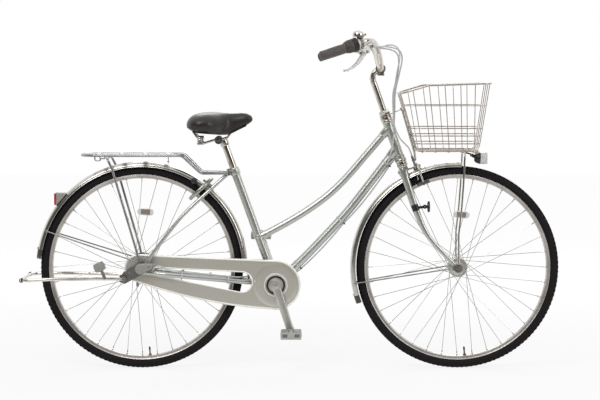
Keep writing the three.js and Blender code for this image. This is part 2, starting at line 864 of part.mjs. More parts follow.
function mudguard(x, z, start, end, stay_angle, stay_foot) {
  const half = mudguard_width / 2
  const outer = mudguard_outer_shares.map(([wide, deep]) => [wide * half, deep * mudguard_depth])
  const inner = outer.map(([side, depth]) => [side * (1 - mudguard_wall / half), depth - mudguard_wall])
  const section = [...inner, ...outer.toReversed()].map(([side, depth]) => new THREE.Vector2(side, depth))
  const stations = []
  const steps = Math.round((end - start) / mudguard_step_angle)
  for (let i = 0; i <= steps; i += 1) {
    const angle = start + (end - start) * i / steps
    const out = at(Math.cos(angle), 0, Math.sin(angle))
    stations.push({ place: along(at(x, 0, z), out, mudguard_radius), across: at(0, 1, 0), up: out })
  }
  const out = at(Math.cos(stay_angle), 0, Math.sin(stay_angle))
  const hold = along(at(x, half - mudguard_wall / 2, z), out, mudguard_radius - mudguard_depth
    + mudguard_stay_radius)
  const stays = [-1, 1].map(side => wire([
    stay_foot.clone().multiply(at(1, side, 1)), hold.clone().multiply(at(1, side, 1)),
  ], mudguard_stay_radius))
  return joined(swept(section, stations), stays)
}

// Housing of the tail reflector, a wedge on the mudguard whose rear face stands upright
function tail_place() {
  const reach = mudguard_radius - mudguard_wall
  return at(reach * Math.cos(tail_angle), 0, axle_height + reach * Math.sin(tail_angle))
}

function tail_box() {
  const seat = tail_place()
  const half_height = tail_lens_height / 2
  const back = seat.x - tail_box_length / 2
  const front = seat.x + tail_box_length / 2
  const wedge = shape_of([[back, seat.z - half_height], [front, seat.z + half_height], [back,
    seat.z + half_height]])
  return side_plate(wedge, -tail_lens_width / 2, tail_lens_width / 2)
}

// Height above the axle where a stay's foot clears the washer and the eyes on the nuts
const stay_foot_rise = stay_eye_radius + mudguard_stay_radius + fit_gap
const stay_foot_offset = fit_gap + mudguard_stay_radius

// Bridge between the chain stays, on a stalk below the front end of the rear mudguard
function mudguard_bridge() {
  const x = mudguard_radius + bridge_radius
  const foot = axle_height - chain_stay_drop - (axle_height - chain_stay_drop - bottom_bracket_z)
    * x / bottom_bracket_x
  const head = axle_height + mudguard_radius * Math.sin(rear_mudguard_start)
  return [
    cross_rod(x, foot, bridge_radius, -bridge_half_width, bridge_half_width, thin_sides),
    rod(at(x, 0, foot), at(x - bridge_radius, 0, head + 2 * bridge_radius), bridge_radius * 0.7, thin_sides),
  ]
}

const rear_stay_foot = at(0, rear_dropout_outer + stay_foot_offset, axle_height + stay_foot_rise)
add('rear_mudguard', joined(
  mudguard(0, axle_height, rear_mudguard_start, rear_mudguard_end, rear_stay_angle, rear_stay_foot),
  tail_box(), mudguard_bridge(),
), ...silver_paint)
add('tail_reflector_lens', box(tail_lens_thickness, tail_lens_width, tail_lens_height,
  tail_place().x - tail_box_length / 2 - tail_lens_thickness / 2 - fit_gap, 0, tail_place().z),
    ...red_plastic)
const front_stay_foot = at(wheelbase - stay_foot_rise, front_dropout_outer + stay_foot_offset, axle_height)
add('front_mudguard', joined(
  mudguard(wheelbase - front_mudguard_setback, axle_height, front_mudguard_start, front_mudguard_end,
    front_stay_angle, front_stay_foot),
  rod(steer(fork_crown_height - fork_crown_depth / 2, 0), steer(fork_crown_height - fit_gap, 0),
    bridge_radius),
), ...silver_paint)

// Rear rack: one bent rail with flat strips across, two slats and the struts to the seat lug
function rack_deck() {
  const half = rack_half_width
  const z = rack_height
  const corner = []
  for (let i = 0; i <= rack_corner_points; i += 1) {
    const angle = Math.PI / 2 * i / rack_corner_points
    corner.push(at(-rack_rear_reach + rack_corner_radius * (1 - Math.sin(angle)),
      half - rack_corner_radius * (1 - Math.cos(angle)), z))
  }
  const eye = seat_eye()
  const eye_y = seat_eye_width / 2 + 2 * seat_stay_radius + 2 * fit_gap + rack_rail_radius
  const left = [
    at(eye.x, eye_y, eye.z), at(rack_strut_low_reach, half * 0.7, rack_strut_low_height),
    at(rack_front_reach, half, z), ...corner,
  ]
  const right = left.map(spot => spot.clone().multiply(at(1, -1, 1))).reverse()
  const rail = wire([...left, ...right], rack_rail_radius, wire_sides + 2)
  const strips = []
  for (let i = 0; i < rack_strip_count; i += 1) {
    const x = rack_strip_first - i * rack_strip_pitch
    strips.push(box(rack_strip_width, 2 * half, rack_strip_thickness, x, 0,
      z + rack_rail_radius - rack_strip_thickness / 2))
  }
  const slat_z = z + rack_rail_radius - rack_strip_thickness - rack_slat_radius / 2
  const slats = [-1, 1].map(side => rod(
    at(rack_strip_first + rack_strip_width / 2, side * rack_slat_offset, slat_z),
    at(-rack_rear_reach + rack_corner_radius / 3, side * rack_slat_offset, slat_z), rack_slat_radius,
      wire_sides,
  ))
  const drop = Math.sqrt(mudguard_radius ** 2 - rack_strip_first ** 2) + fit_gap
  const link_foot = axle_height + drop + fit_gap
  const link_top = z + rack_rail_radius - rack_strip_thickness / 2
  const link = box(rack_strip_thickness, rack_link_width, link_top - link_foot, rack_strip_first, 0,
    (link_top + link_foot) / 2)
  return joined(rail, strips, slats, link)
}
add('rack_deck', rack_deck(), ...bright_steel)

// One bent rod makes both legs of the rack and the bar that joins them under the rails
function rack_legs() {
  const top_z = rack_height - (rack_rail_radius + rack_leg_radius) * Math.cos(Math.PI / round_sides) - fit_gap
  const top_y = rack_half_width
  const foot_y = rear_dropout_outer + rack_leg_radius + 2 * mudguard_stay_radius + 2 * fit_gap
  const bend = rack_leg_radius * 4
  const left = [
    at(-rack_leg_top_reach * 0.06, foot_y, axle_height + stay_foot_rise + 2 * rack_leg_radius),
    at(-rack_leg_top_reach * 0.13, foot_y, axle_height + (top_z - axle_height) * 0.17),
    at(-rack_leg_top_reach * 0.85, top_y, top_z - bend * 2),
    at(-rack_leg_top_reach, top_y, top_z - bend / 2),
    at(-rack_leg_top_reach, top_y - rack_leg_radius / 2, top_z),
  ]
  const right = left.map(spot => spot.clone().multiply(at(1, -1, 1))).reverse()
  return wire([...left, ...right], rack_leg_radius, thin_sides)
}
add('rack_legs', rack_legs(), ...bright_steel)

// Chain case: an outer face with a wall round its outline and round its long slot
function case_outline(shrink) {
  const big = case_big_radius - shrink
  const small = case_small_radius - shrink
  const [big_x, big_z] = [bottom_bracket_x, bottom_bracket_z]
  const small_x = -case_rear_overhang
  const lean = Math.atan2(axle_height - big_z, big_x - small_x)
  const open = Math.asin((big - small) / Math.hypot(big_x - small_x, axle_height - big_z))
  const top = Math.PI / 2 - lean + open
  const bottom = -Math.PI / 2 - lean - open
  const spots = []
  for (let i = 0; i <= arc_points; i += 1) {
    const angle = bottom + (top - bottom) * i / arc_points
    spots.push([big_x + big * Math.cos(angle), big_z + big * Math.sin(angle)])
  }
  for (let i = 0; i <= arc_points; i += 1) {
    const angle = top + (2 * Math.PI - top + bottom) * i / arc_points
    spots.push([small_x + small * Math.cos(angle), axle_height + small * Math.sin(angle)])
  }
  const [[end_x, end_z], [start_x, start_z]] = [spots.at(-1), spots[0]]
  for (const share of [0.25, 0.5, 0.75]) {
    const bulge = case_belly * 4 * share * (1 - share)
    spots.push([end_x + (start_x - end_x) * share, end_z + (start_z - end_z) * share - bulge])
  }
  return spots
}

function slot_outline(grow) {
  const spots = []
  const front = slot_front_radius + grow
  const rear = slot_rear_radius + grow
  const lean = Math.atan2(slot_front_drop - slot_rear_drop, slot_front_reach - slot_rear_reach)
  const reach = Math.hypot(slot_front_drop - slot_rear_drop, slot_front_reach - slot_rear_reach)
  const open = Math.asin((front - rear) / reach)
  const top = Math.PI / 2 - lean + open
  const bottom = -Math.PI / 2 - lean - open
  const steps = arc_points / 2
  for (let i = 0; i <= steps; i += 1) {
    const angle = bottom + (top - bottom) * i / steps
    spots.push([slot_front_reach + front * Math.cos(angle), axle_height - slot_front_drop
      + front * Math.sin(angle)])
  }
  for (let i = 0; i <= steps; i += 1) {
    const angle = top + (2 * Math.PI - top + bottom) * i / steps
    spots.push([slot_rear_reach + rear * Math.cos(angle), axle_height - slot_rear_drop
      + rear * Math.sin(angle)])
  }
  return spots
}

function circle_hole(x, z, radius, sides = arc_points) {
  return new THREE.Path(circle_shape(radius, sides).getPoints().map(spot => spot.add(new THREE.Vector2(x,
    z))))
}

function hole_of(points) {
  return new THREE.Path(points.map(([x, y]) => new THREE.Vector2(x, y)))
}

function chain_case() {
  const face_y = -case_outer_offset
  const face = shape_of(case_outline(0))
  face.holes.push(hole_of(slot_outline(0)))
  face.holes.push(circle_hole(bottom_bracket_x, bottom_bracket_z, case_crank_hole_radius))
  face.holes.push(circle_hole(0, axle_height, case_axle_hole_radius))
  const rim_wall = shape_of(case_outline(0))
  rim_wall.holes.push(hole_of(case_outline(case_wall)))
  const slot_wall = shape_of(slot_outline(case_wall))
  slot_wall.holes.push(hole_of(slot_outline(0)))
  const strap_y = -bottom_bracket_width / 2 - fit_gap
  const strap = box(case_strap_width, case_wall, 2 * case_big_radius - case_wall, bottom_bracket_x,
    strap_y - case_wall / 2, bottom_bracket_z)
  const spindle_hole = cross_rod(bottom_bracket_x, bottom_bracket_z, spindle_radius + fit_gap,
    strap_y - cut_overrun,
    strap_y + cut_overrun)
  return joined(
    side_plate(face, face_y, face_y + case_wall),
    side_plate(rim_wall, face_y + case_wall / 2, face_y + case_depth),
    side_plate(slot_wall, face_y + case_wall / 2, face_y + case_depth / 2),
    cut(strap, spindle_hole),
  )
}
add('chain_case', chain_case(), ...case_paint)

// Chain: two plate loops beside the teeth, tied by the rollers of its straight runs
const pitch_radius = teeth => chain_pitch / 2 / Math.sin(Math.PI / teeth)

function chain_loop_outline(grow) {
  const big = pitch_radius(chainring_teeth) + grow
  const small = pitch_radius(sprocket_teeth) + grow
  const lean = Math.atan2(bottom_bracket_drop, bottom_bracket_x)
  const open = Math.asin((big - small) / chain_stay_length)
  const top = Math.PI / 2 - lean + open
  const bottom = -Math.PI / 2 - lean - open
  const spots = []
  for (let i = 0; i <= arc_points; i += 1) {
    const angle = bottom + (top - bottom) * i / arc_points
    spots.push([bottom_bracket_x + big * Math.cos(angle), bottom_bracket_z + big * Math.sin(angle)])
  }
  for (let i = 0; i <= arc_points; i += 1) {
    const angle = top + (2 * Math.PI - top + bottom) * i / arc_points
    spots.push([small * Math.cos(angle), axle_height + small * Math.sin(angle)])
  }
  return spots
}

function chain() {
  const plate = shape_of(chain_loop_outline(chain_plate_half_height))
  plate.holes.push(hole_of(chain_loop_outline(-chain_plate_half_height)))
  const half_slot = tooth_thickness / 2 + fit_gap
  const half_width = chain_width / 2
  const spots = chain_loop_outline(0)
  const runs = [[spots[arc_points], spots[arc_points + 1]], [spots.at(-1), spots[0]]]
  const rollers = runs.map(([[x_a, z_a], [x_b, z_b]]) => {
    const [from, to] = [at(x_a, -chain_line, z_a), at(x_b, -chain_line, z_b)]
    const span = to.clone().sub(from)
    const strip = box(span.length() * 0.6, chain_width * 0.8, chain_plate_half_height)
    strip.rotateY(-Math.atan2(span.z, span.x))
    const middle = from.clone().add(to).divideScalar(2)
    return strip.translate(middle.x, middle.y, middle.z)
  })
  return joined(side_plate(plate, half_slot - chain_line, half_width - chain_line),
    side_plate(plate, -half_width - chain_line, -half_slot - chain_line), rollers)
}
add('chain', chain(), ...dark_steel)

function toothed_shape(teeth) {
  const pitch = pitch_radius(teeth)
  const spots = []
  for (let i = 0; i < teeth; i += 1) {
    for (const [turn_share, height_share] of [[-0.5, -0.6], [0, 1]]) {
      const angle = 2 * Math.PI * (i + turn_share) / teeth
      const radius = pitch + tooth_height * height_share
      spots.push([radius * Math.cos(angle), radius * Math.sin(angle)])
    }
  }
  return shape_of(spots)
}

// Sprocket on its driver, which turns on the rear axle beside the hub
function rear_sprocket() {
  const outer = chain_line + driver_overhang
  const plate = side_plate(toothed_shape(sprocket_teeth), -chain_line - tooth_thickness / 2,
    -chain_line + tooth_thickness / 2)
  const driver = cross_rod(0, 0, hub_end_radius, -outer, -rear_hub_width / 2 - fit_gap)
  const bore = cross_rod(0, 0, axle_radius + 2 * fit_gap, -rear_dropout_spacing, 0)
  return cut(joined(plate, driver), bore).translate(0, 0, axle_height)
}
add('rear_sprocket', rear_sprocket(), ...dark_steel)

// A crank arm in its own frame: it hangs from the origin and swells to the boss
function crank_arm() {
  const section = circle_shape(1, thin_sides).getPoints()
  const width_shares = [[0, 1], [0.12, 0.93], [0.3, 0.86], [0.85, 0.8], [0.97, 0.8], [1.05, 0.5]]
  const stations = width_shares.map(([share, width]) => ({
    place: at(0, -crank_inner_offset - crank_thickness / 2 - crank_flare * Math.min(share, 1),
      -crank_length * share),
    across: at(1, 0, 0), up: at(0, 1, 0), wide: crank_half_width_boss * width, tall: crank_thickness * 0.55,
  }))
  return swept(section, stations)
}

function hung_crank(geometry) {
  return geometry.rotateY(-crank_lean).translate(bottom_bracket_x, 0, bottom_bracket_z)
}

function chainring() {
  const ring = toothed_shape(chainring_teeth)
  const inner = pitch_radius(chainring_teeth) - chainring_rim_depth
  ring.holes.push(circle_hole(0, 0, inner, chainring_teeth))
  const y_from = -chain_line - tooth_thickness / 2
  const y_to = -chain_line + tooth_thickness / 2
  const arms = []
  for (let i = 0; i < chainring_arm_count; i += 1) {
    const arm = box(chainring_arm_width, tooth_thickness, inner + tooth_height, 0, -chain_line, inner / 2)
    arms.push(arm.rotateY(2 * Math.PI * i / chainring_arm_count))
  }
  return [side_plate(ring, y_from, y_to), ...arms]
}

function right_crank() {
  const outer = crank_inner_offset + crank_thickness + tooth_thickness
  const boss = cross_rod(0, 0, crank_boss_radius, -outer, -chain_line + tooth_thickness)
  const whole = joined(crank_arm(), boss, chainring())
  const bore = cross_rod(0, 0, spindle_radius + fit_gap, -outer + tooth_thickness, 0)
  return hung_crank(cut(whole, bore, pedal_hole()))
}

function pedal_hole() {
  return cross_rod(0, -crank_length, pedal_axle_radius + 2 * fit_gap, -rear_dropout_spacing, 0, thin_sides)
}

function left_crank() {
  const outer = crank_inner_offset + crank_thickness + tooth_thickness
  const boss = cross_rod(0, 0, crank_boss_radius, -outer, -crank_inner_offset + tooth_thickness)
  const arm = mirrored(joined(cut(joined(crank_arm(), boss), pedal_hole())))
  const spindle = cross_rod(0, 0, spindle_radius, -crank_inner_offset + tooth_thickness, crank_inner_offset)
  return hung_crank(joined(arm.rotateY(Math.PI), spindle))
}
add('right_crank', right_crank(), ...alloy)
add('left_crank', left_crank(), ...alloy)

// Right pedal: an axle into the crank, a central barrel, two rubber treads and a cage at each end
function pedal() {
  const crank_face = crank_inner_offset + crank_flare
  const inner = crank_face + crank_thickness + pedal_gap
  const outer = inner + pedal_width
  const centre = at(bottom_bracket_x + crank_length * Math.sin(crank_lean), 0,
    bottom_bracket_z - crank_length * Math.cos(crank_lean))
  const axle = cross_rod(0, 0, pedal_axle_radius, -outer + pedal_cage_wall, -crank_face - fit_gap, thin_sides)
  const barrel = cross_rod(0, 0, pedal_centre_radius * 0.85, -outer, -inner, thin_sides)
  const pieces = [axle, barrel]
  const tread_depth = pedal_length / 2 - pedal_centre_radius * 0.5
  for (const side of [-1, 1]) {
    pieces.push(box(tread_depth, pedal_width - pedal_cage_wall, pedal_height,
      side * (pedal_length / 2 - tread_depth / 2), -(inner + outer) / 2, 0))
  }
  for (const y of [-inner - pedal_cage_wall / 2, -outer + pedal_cage_wall / 2]) {
    pieces.push(box(pedal_length * 0.9, pedal_cage_wall, pedal_height * 0.7, 0, y, 0))
  }
  const trough = box(pedal_centre_radius, pedal_width - 2 * pedal_cage_wall, cut_overrun, 0,
    -(inner + outer) / 2,
    pedal_height / 2)
  return cut(joined(pieces), trough).translate(centre.x, 0, centre.z)
}
add('right_pedal', pedal(), ...dark_plastic)
add('left_pedal', mirrored(pedal()).translate(-bottom_bracket_x, 0, -bottom_bracket_z).rotateY(Math.PI)
  .translate(bottom_bracket_x, 0, bottom_bracket_z), ...dark_plastic)

// Rear axle with the two plates that carry the stand, just outside the dropouts
function stand_plate() {
  const hole = washer_radius + 2 * fit_gap
  const rear = -stand_pivot_back
  const low = axle_height - stand_pivot_down
  const half = stand_plate_width / 2
  const plate = shape_of([
    [-hole / 2, axle_height + half * 0.4], [rear * 0.6, axle_height + half * 0.2], [rear - half * 0.7,
      low + half * 0.5],
    [rear - half * 0.7, low - half * 0.5], [rear + half * 0.2, low - half * 0.8], [hole * 0.6,
      axle_height - half * 0.9],
    [hole * 0.8, axle_height],
  ])
  const y_from = rear_dropout_outer + fit_gap
  return side_plate(plate, y_from, y_from + stand_plate_thickness)
}

const stand_pivot = at(-stand_pivot_back, 0, axle_height - stand_pivot_down)
const stand_plate_outer = rear_dropout_outer + fit_gap + stand_plate_thickness

function rear_axle() {
  const left_plate = joined(stand_plate(), cross_rod(stand_pivot.x, stand_pivot.z, stand_pin_radius,
    rear_dropout_outer + fit_gap, stand_plate_outer + stand_hub_width + fit_gap, thin_sides))
  return joined(
    axle_with_nuts(0, rear_dropout_spacing, [chain_line + driver_overhang + fit_gap, drum_outer + fit_gap]),
    left_plate, mirrored(left_plate),
  )
}

const drum_outer = rear_hub_width / 2 + 2 * fit_gap + drum_thickness
add('rear_axle', rear_axle(), ...dark_steel)

// Two-legged stand: one bent rod between two hubs, with a tread for the foot on its right leg
function stand() {
  const hub_inner = stand_plate_outer + fit_gap
  const hub_outer = hub_inner + stand_hub_width - fit_gap
  const hub_middle = (hub_inner + hub_outer) / 2
  const left = stand_leg_shares.map(([length_share, side_share, height_share]) => at(
    -stand_pivot_back - (stand_foot_reach - stand_pivot_back) * length_share,
    hub_middle + (stand_foot_half_width - hub_middle) * side_share,
    stand_pivot.z + stand_rise * height_share,
  ))
  const right = left.map(spot => spot.clone().multiply(at(1, -1, 1))).reverse()
  const hub = cross_rod(stand_pivot.x, stand_pivot.z, stand_hub_radius, hub_inner, hub_outer)
  const tread_y = -hub_middle - (stand_foot_half_width - hub_middle) * 0.25
  const tread_z = stand_tread_height
  const tread = box(stand_tread_length, stand_tread_width, stand_tread_thickness, -stand_tread_back, tread_y,
    tread_z)
  const arm = rod(at(-stand_tread_back + stand_tread_length / 2, tread_y, stand_pivot.z),
    at(-stand_tread_back, tread_y, tread_z), stand_leg_radius, thin_sides)
  const whole = joined(wire([...left, ...right], stand_leg_radius, wire_sides + 2), hub, mirrored(hub),
    tread, arm)
  return cut(whole, cross_rod(stand_pivot.x, stand_pivot.z, stand_pin_radius + 2 * fit_gap,
    -stand_foot_half_width,
    stand_foot_half_width, thin_sides))
}

const stand_leg_shares = [[0, 0, 0], [0.1, 0.08, 0.6], [0.25, 0.3, 0.8], [0.69, 0.72, 1], [1, 1, 0]]
add('stand', stand(), ...bright_steel)

// Cover of the gear rod, over the right end of the rear axle
function gear_cover() {
  const spots = []
  const reach = gear_cover_length - gear_cover_radius - gear_cover_tip_radius
  const open = Math.asin((gear_cover_radius - gear_cover_tip_radius) / reach)
  for (let i = 0; i <= arc_points / 2; i += 1) {
    const angle = Math.PI / 2 - open + (Math.PI + 2 * open) * i * 2 / arc_points
    spots.push([gear_cover_radius * Math.cos(angle), gear_cover_radius * Math.sin(angle)])
  }
  for (let i = 0; i <= arc_points / 2; i += 1) {
    const angle = -Math.PI / 2 - open + (Math.PI + 2 * open) * i * 2 / arc_points
    spots.push([reach + gear_cover_tip_radius * Math.cos(angle), gear_cover_tip_radius * Math.sin(angle)])
  }
  const body = side_plate(shape_of(spots), -gear_cover_outer, -gear_cover_inner)
  body.rotateY(-gear_cover_lean).translate(0, 0, axle_height)
  const nut_space = cross_rod(0, axle_height, nut_radius + 2 * fit_gap, -axle_end - fit_gap, 0)
  return cut(body, nut_space)
}

const axle_end = rear_dropout_outer + fit_gap + washer_thickness + nut_height + axle_end_reach
add('gear_cover', gear_cover(), ...grey_plastic)

// Band brake on the left of the rear hub: its housing, and the anchor strap to the chain stay
function chain_stay_place(x) {
  const low = axle_height - chain_stay_drop
  const side_share = Math.min((bottom_bracket_x - x) / (bottom_bracket_x - chain_stay_straight_reach), 1)
  return at(x, chain_stay_inner_offset + (rear_dropout_y - chain_stay_inner_offset) * side_share,
    low - (low - bottom_bracket_z) * x / bottom_bracket_x)
}

function rear_brake_drum() {
  const inner = rear_hub_width / 2 + 2 * fit_gap
  const housing = turned([
    [hub_end_radius + fit_gap, inner], [drum_radius, inner], [drum_radius, drum_outer - brake_arm_thickness],
    [drum_radius * 0.9, drum_outer], [axle_radius + 2 * fit_gap, drum_outer],
    [axle_radius + 2 * fit_gap, drum_outer - brake_arm_thickness],
    [hub_end_radius + fit_gap, drum_outer - brake_arm_thickness], [hub_end_radius + fit_gap, inner],
  ], hub_steps, 0, axle_height)
  const hold = chain_stay_place(brake_anchor_reach)
  const ahead = chain_stay_place(brake_anchor_reach + clip_width)
  const direction = ahead.clone().sub(hold).normalize()
  const bore = chain_stay_radius + 3 * fit_gap
  const band = turned_along([
    [bore, 0], [bore + clip_thickness, 0], [bore + clip_thickness, clip_width], [bore, clip_width], [bore, 0],
  ], round_sides, hold, direction)
  const strap_y = ahead.y - bore - (brake_anchor_thickness - clip_thickness) / 2
  const strap = box(brake_anchor_reach + clip_width - drum_radius * 0.8, brake_anchor_thickness,
    brake_anchor_height,
    (brake_anchor_reach + clip_width + drum_radius * 0.8) / 2, strap_y, hold.z)
  return joined(housing, band, strap)
}
add('rear_brake_drum', rear_brake_drum(), ...bright_steel)

const brake_arm_pivot = at(-brake_arm_pivot_back, 0, axle_height - brake_arm_pivot_drop)

function rear_brake_arm() {
  const y_from = drum_outer + fit_gap
  const y_to = y_from + brake_arm_thickness - fit_gap
  const half = brake_arm_width / 2
  const { x, z } = brake_arm_pivot
  const arm = shape_of([
    [x - half, z + half * 0.6], [x, z + half], [x + half, z + half * 0.6], [x + half * 0.6,
      z - brake_arm_length],
    [x - half * 0.6, z - brake_arm_length],
  ])
  return joined(side_plate(arm, y_from, y_to))
}
add('rear_brake_arm', rear_brake_arm(), ...dark_steel)

// Ring lock behind the seat stays: its ring lies across the wheel, open below
const lock_up = at(Math.cos(lock_plane_angle), 0, Math.sin(lock_plane_angle))
const lock_back = at(-Math.sin(lock_plane_angle), 0, Math.cos(lock_plane_angle))
const lock_reach = rim_inner_radius - lock_rim_gap
const lock_crossing = at(lock_reach * Math.cos(lock_angle), 0, axle_height + lock_reach * Math.sin(lock_angle))
const lock_centre = along(lock_crossing, lock_up, lock_ring_radius)

// Stations round the ring, from the top towards the rider's right
function lock_stations(from, to, steps, wide, tall) {
  const stations = []
  for (let i = 0; i <= steps; i += 1) {
    const angle = from + (to - from) * i / steps
    const out = lock_up.clone().multiplyScalar(Math.cos(angle)).add(at(0, -Math.sin(angle), 0))
    stations.push({ place: along(lock_centre, out, lock_ring_radius), across: lock_back, up: out, wide,
      tall })
  }
  return stations
}

function ring_lock_body() {
  const end = Math.PI - lock_gap_half_angle
  const chamfered = [[-1, -0.6], [-0.6, -1], [0.6, -1], [1, -0.6], [1, 0.6], [0.6, 1], [-0.6, 1], [-1, 0.6]]
  const section = chamfered.map(([x, y]) => new THREE.Vector2(x, y))
  const ring = swept(section, lock_stations(-end, end, lock_steps, lock_half_depth, lock_half_width))
  const bore = lock_bolt_radius + 3 * fit_gap
  const hollow = swept(circle_shape(bore, thin_sides).getPoints(), lock_stations(lock_bolt_start - lock_play,
    lock_bolt_start + lock_bolt_arc + lock_travel + lock_play, lock_steps, 1, 1))
  const slot_half = lock_stalk_radius + 2 * fit_gap
  const slot_section = [[0, -1], [lock_half_depth * 2, -1], [lock_half_depth * 2, 1], [0, 1]]
    .map(([x, y]) => new THREE.Vector2(x, y))
  const slot = swept(slot_section, lock_stations(lock_knob_angle - lock_play, end + lock_play,
    lock_steps / 2, 1,
    slot_half))
  const mounts = [-1, 1].map(side => {
    const block = box(lock_mount_length, lock_mount_width, lock_mount_depth)
    const middle = along(along(lock_centre, lock_up, lock_mount_rise), lock_back, -lock_mount_depth / 2)
    block.rotateY(-lock_plane_angle).translate(middle.x, side * lock_mount_offset, middle.z)
    return block
  })
  const clearances = [1, -1].map(side => wire(seat_stay_points().map(spot => spot.clone().multiply(at(1,
    side, 1))),
    seat_stay_radius + fit_gap, thin_sides))
  return cut(joined(ring, mounts), hollow, slot, clearances)
}
add('ring_lock_body', ring_lock_body(), ...dark_plastic)

// Lock bolt: a round arc with a stalk and a ball, in its open place
function lock_bolt() {
  const bolt = swept(circle_shape(lock_bolt_radius, thin_sides).getPoints(), lock_stations(lock_bolt_start,
    lock_bolt_start + lock_bolt_arc, lock_steps / 2, 1, 1))
  const out = lock_up.clone().multiplyScalar(Math.cos(lock_knob_angle)).add(at(0, -Math.sin(lock_knob_angle),
    0))
  const root = along(lock_centre, out, lock_ring_radius)
  const tip = along(root, lock_back, lock_knob_reach)
  const ball = new THREE.SphereGeometry(lock_knob_radius, thin_sides, thin_sides / 2).translate(tip.x, tip.y,
    tip.z)
  return joined(bolt, rod(root, tip, lock_stalk_radius, thin_sides), ball)
}
add('lock_bolt', lock_bolt(), ...dark_plastic)

// Seat post: a chrome tube that narrows at the saddle clamp
const post_top = along(seat_top, seat_up, seat_post_rise + saddle_clamp_radius / 2)
function seat_post() {
  const foot = along(seat_top, seat_up, -seat_post_insertion)
  return joined(rod(foot, post_top, seat_post_radius, round_sides))
}
add('seat_post', seat_post(), ...chrome)

// The saddle's places, from the middle of its clamp
const clamp_place = along(seat_top, seat_up, seat_post_rise)
const saddle_top = clamp_place.z + saddle_rise
const saddle_rear_reach = clamp_place.x - saddle_tail_setback
const saddle_nose_hold = at(clamp_place.x + saddle_nose_hold_ahead, saddle_rail_spread / 3, clamp_place.z
  + saddle_nose_hold_rise)
const saddle_loop_reach = clamp_place.x - saddle_loop_setback
const saddle_loop_height = clamp_place.z + saddle_loop_rise
const saddle_spring_reach = clamp_place.x - saddle_spring_setback
const saddle_spring_foot = clamp_place.z - saddle_spring_drop

// Saddle cover: cushion sections from the tail to the nose, as shares of the sizes of the saddle
const saddle_plan_shares = [
  [0, 0.42, 0.5, 0.27], [0.03, 0.66, 0.7, 0.2], [0.1, 0.88, 0.88, 0.14], [0.2, 1, 0.97, 0.09], [0.31, 0.98,
    1, 0.06],
  [0.43, 0.82, 0.97, 0.03], [0.54, 0.56, 0.93, 0.01], [0.64, 0.37, 0.92, 0.03], [0.76, 0.28, 0.95, 0.2],
  [0.88, 0.25, 0.98, 0.38], [0.95, 0.22, 0.92, 0.48], [1, 0.12, 0.74, 0.6],
]
const saddle_section_shares = [
  [0, 1], [0.34, 0.98], [0.64, 0.9], [0.88, 0.72], [1, 0.46], [0.97, 0.2], [0.84, 0], [0.4, 0.04],
]

function saddle_cover() {
  const base = saddle_top - saddle_height
  const right = saddle_section_shares.toReversed().slice(0, -1).map(([side, height]) => [-side, height])
  const outline = [...saddle_section_shares, ...right].reverse()
    .map(([side, height]) => new THREE.Vector2(side, height))
  const rings = saddle_plan_shares.map(([length_share, wide, top, bottom]) => outline.map(({ x, y }) => at(
    saddle_rear_reach + saddle_length * length_share,
    x * wide * saddle_width / 2,
    base + saddle_height * (bottom + (top - bottom) * y),
  )))
  return lofted(rings, outline)
}
add('saddle_cover', saddle_cover(), ...leatherette)

// Saddle frame: clamp, two rails, two coil springs and the loop that carries the tail of the cover
function spring_points(side) {
  const points = []
  for (let i = 0; i <= saddle_spring_turns * spring_steps; i += 1) {
    const angle = 2 * Math.PI * i / spring_steps
    points.push(at(
      saddle_spring_reach + saddle_spring_radius * Math.cos(angle),
      side * saddle_spring_spread + saddle_spring_radius * Math.sin(angle),
      saddle_spring_foot + saddle_spring_pitch * i / spring_steps,
    ))
  }
  return points
}

function saddle_frame() {
  const clamp = clamp_place.clone().sub(at(saddle_clamp_setback, 0, 0))
  const half = saddle_clamp_width / 2
  const barrel = cross_rod(clamp.x, clamp.z, saddle_clamp_radius, -half, half)
  const collar = rod(along(post_top, seat_up, -2 * saddle_clamp_radius), post_top, seat_post_radius
    + saddle_clamp_wall, round_sides)
  const bore = rod(along(post_top, seat_up, -4 * saddle_clamp_radius), along(post_top, seat_up, cut_overrun),
    seat_post_radius + fit_gap, round_sides)
  const spring_top = saddle_spring_foot + saddle_spring_pitch * saddle_spring_turns
  const left = [
    saddle_nose_hold,
    at(clamp.x + half, saddle_rail_spread, clamp.z + saddle_rail_radius),
    at(clamp.x - half / 2, saddle_rail_spread, clamp.z),
    at(saddle_spring_reach + saddle_spring_radius, saddle_spring_spread, saddle_spring_foot),
    at(saddle_spring_reach - saddle_spring_radius, saddle_spring_spread, saddle_spring_foot),
  ]
  const right = left.map(spot => spot.clone().multiply(at(1, -1, 1)))
  const rail = wire([...left.toReversed(), ...right], saddle_rail_radius, wire_sides + 2)
  const springs = [-1, 1].map(side => wire(spring_points(side), saddle_spring_wire, spring_sides))
  const loop = wire([
    at(saddle_spring_reach + saddle_spring_radius, saddle_spring_spread, spring_top),
    at(saddle_spring_reach - saddle_spring_radius, saddle_spring_spread, spring_top),
    at(saddle_loop_reach, saddle_spring_spread * 0.7, saddle_loop_height),
    at(saddle_loop_reach, -saddle_spring_spread * 0.7, saddle_loop_height),
    at(saddle_spring_reach - saddle_spring_radius, -saddle_spring_spread, spring_top),
    at(saddle_spring_reach + saddle_spring_radius, -saddle_spring_spread, spring_top),
  ], saddle_rail_radius, wire_sides + 2)
  return cut(joined(barrel, collar, rail, springs, loop), bore)
}

const coil_gap = saddle_spring_pitch - 2 * saddle_spring_wire
console.log('least gap between the coils of a saddle spring:', coil_gap.toFixed(2))
add('saddle_frame', saddle_frame(), ...dark_steel)

// Fork: steerer, crown and two blades that curve forward to the dropouts
const blade_shares = [[0, 1], [0.136, 0.747], [0.255, 0.558], [0.44, 0.338], [0.739, 0.143], [1, 0]]

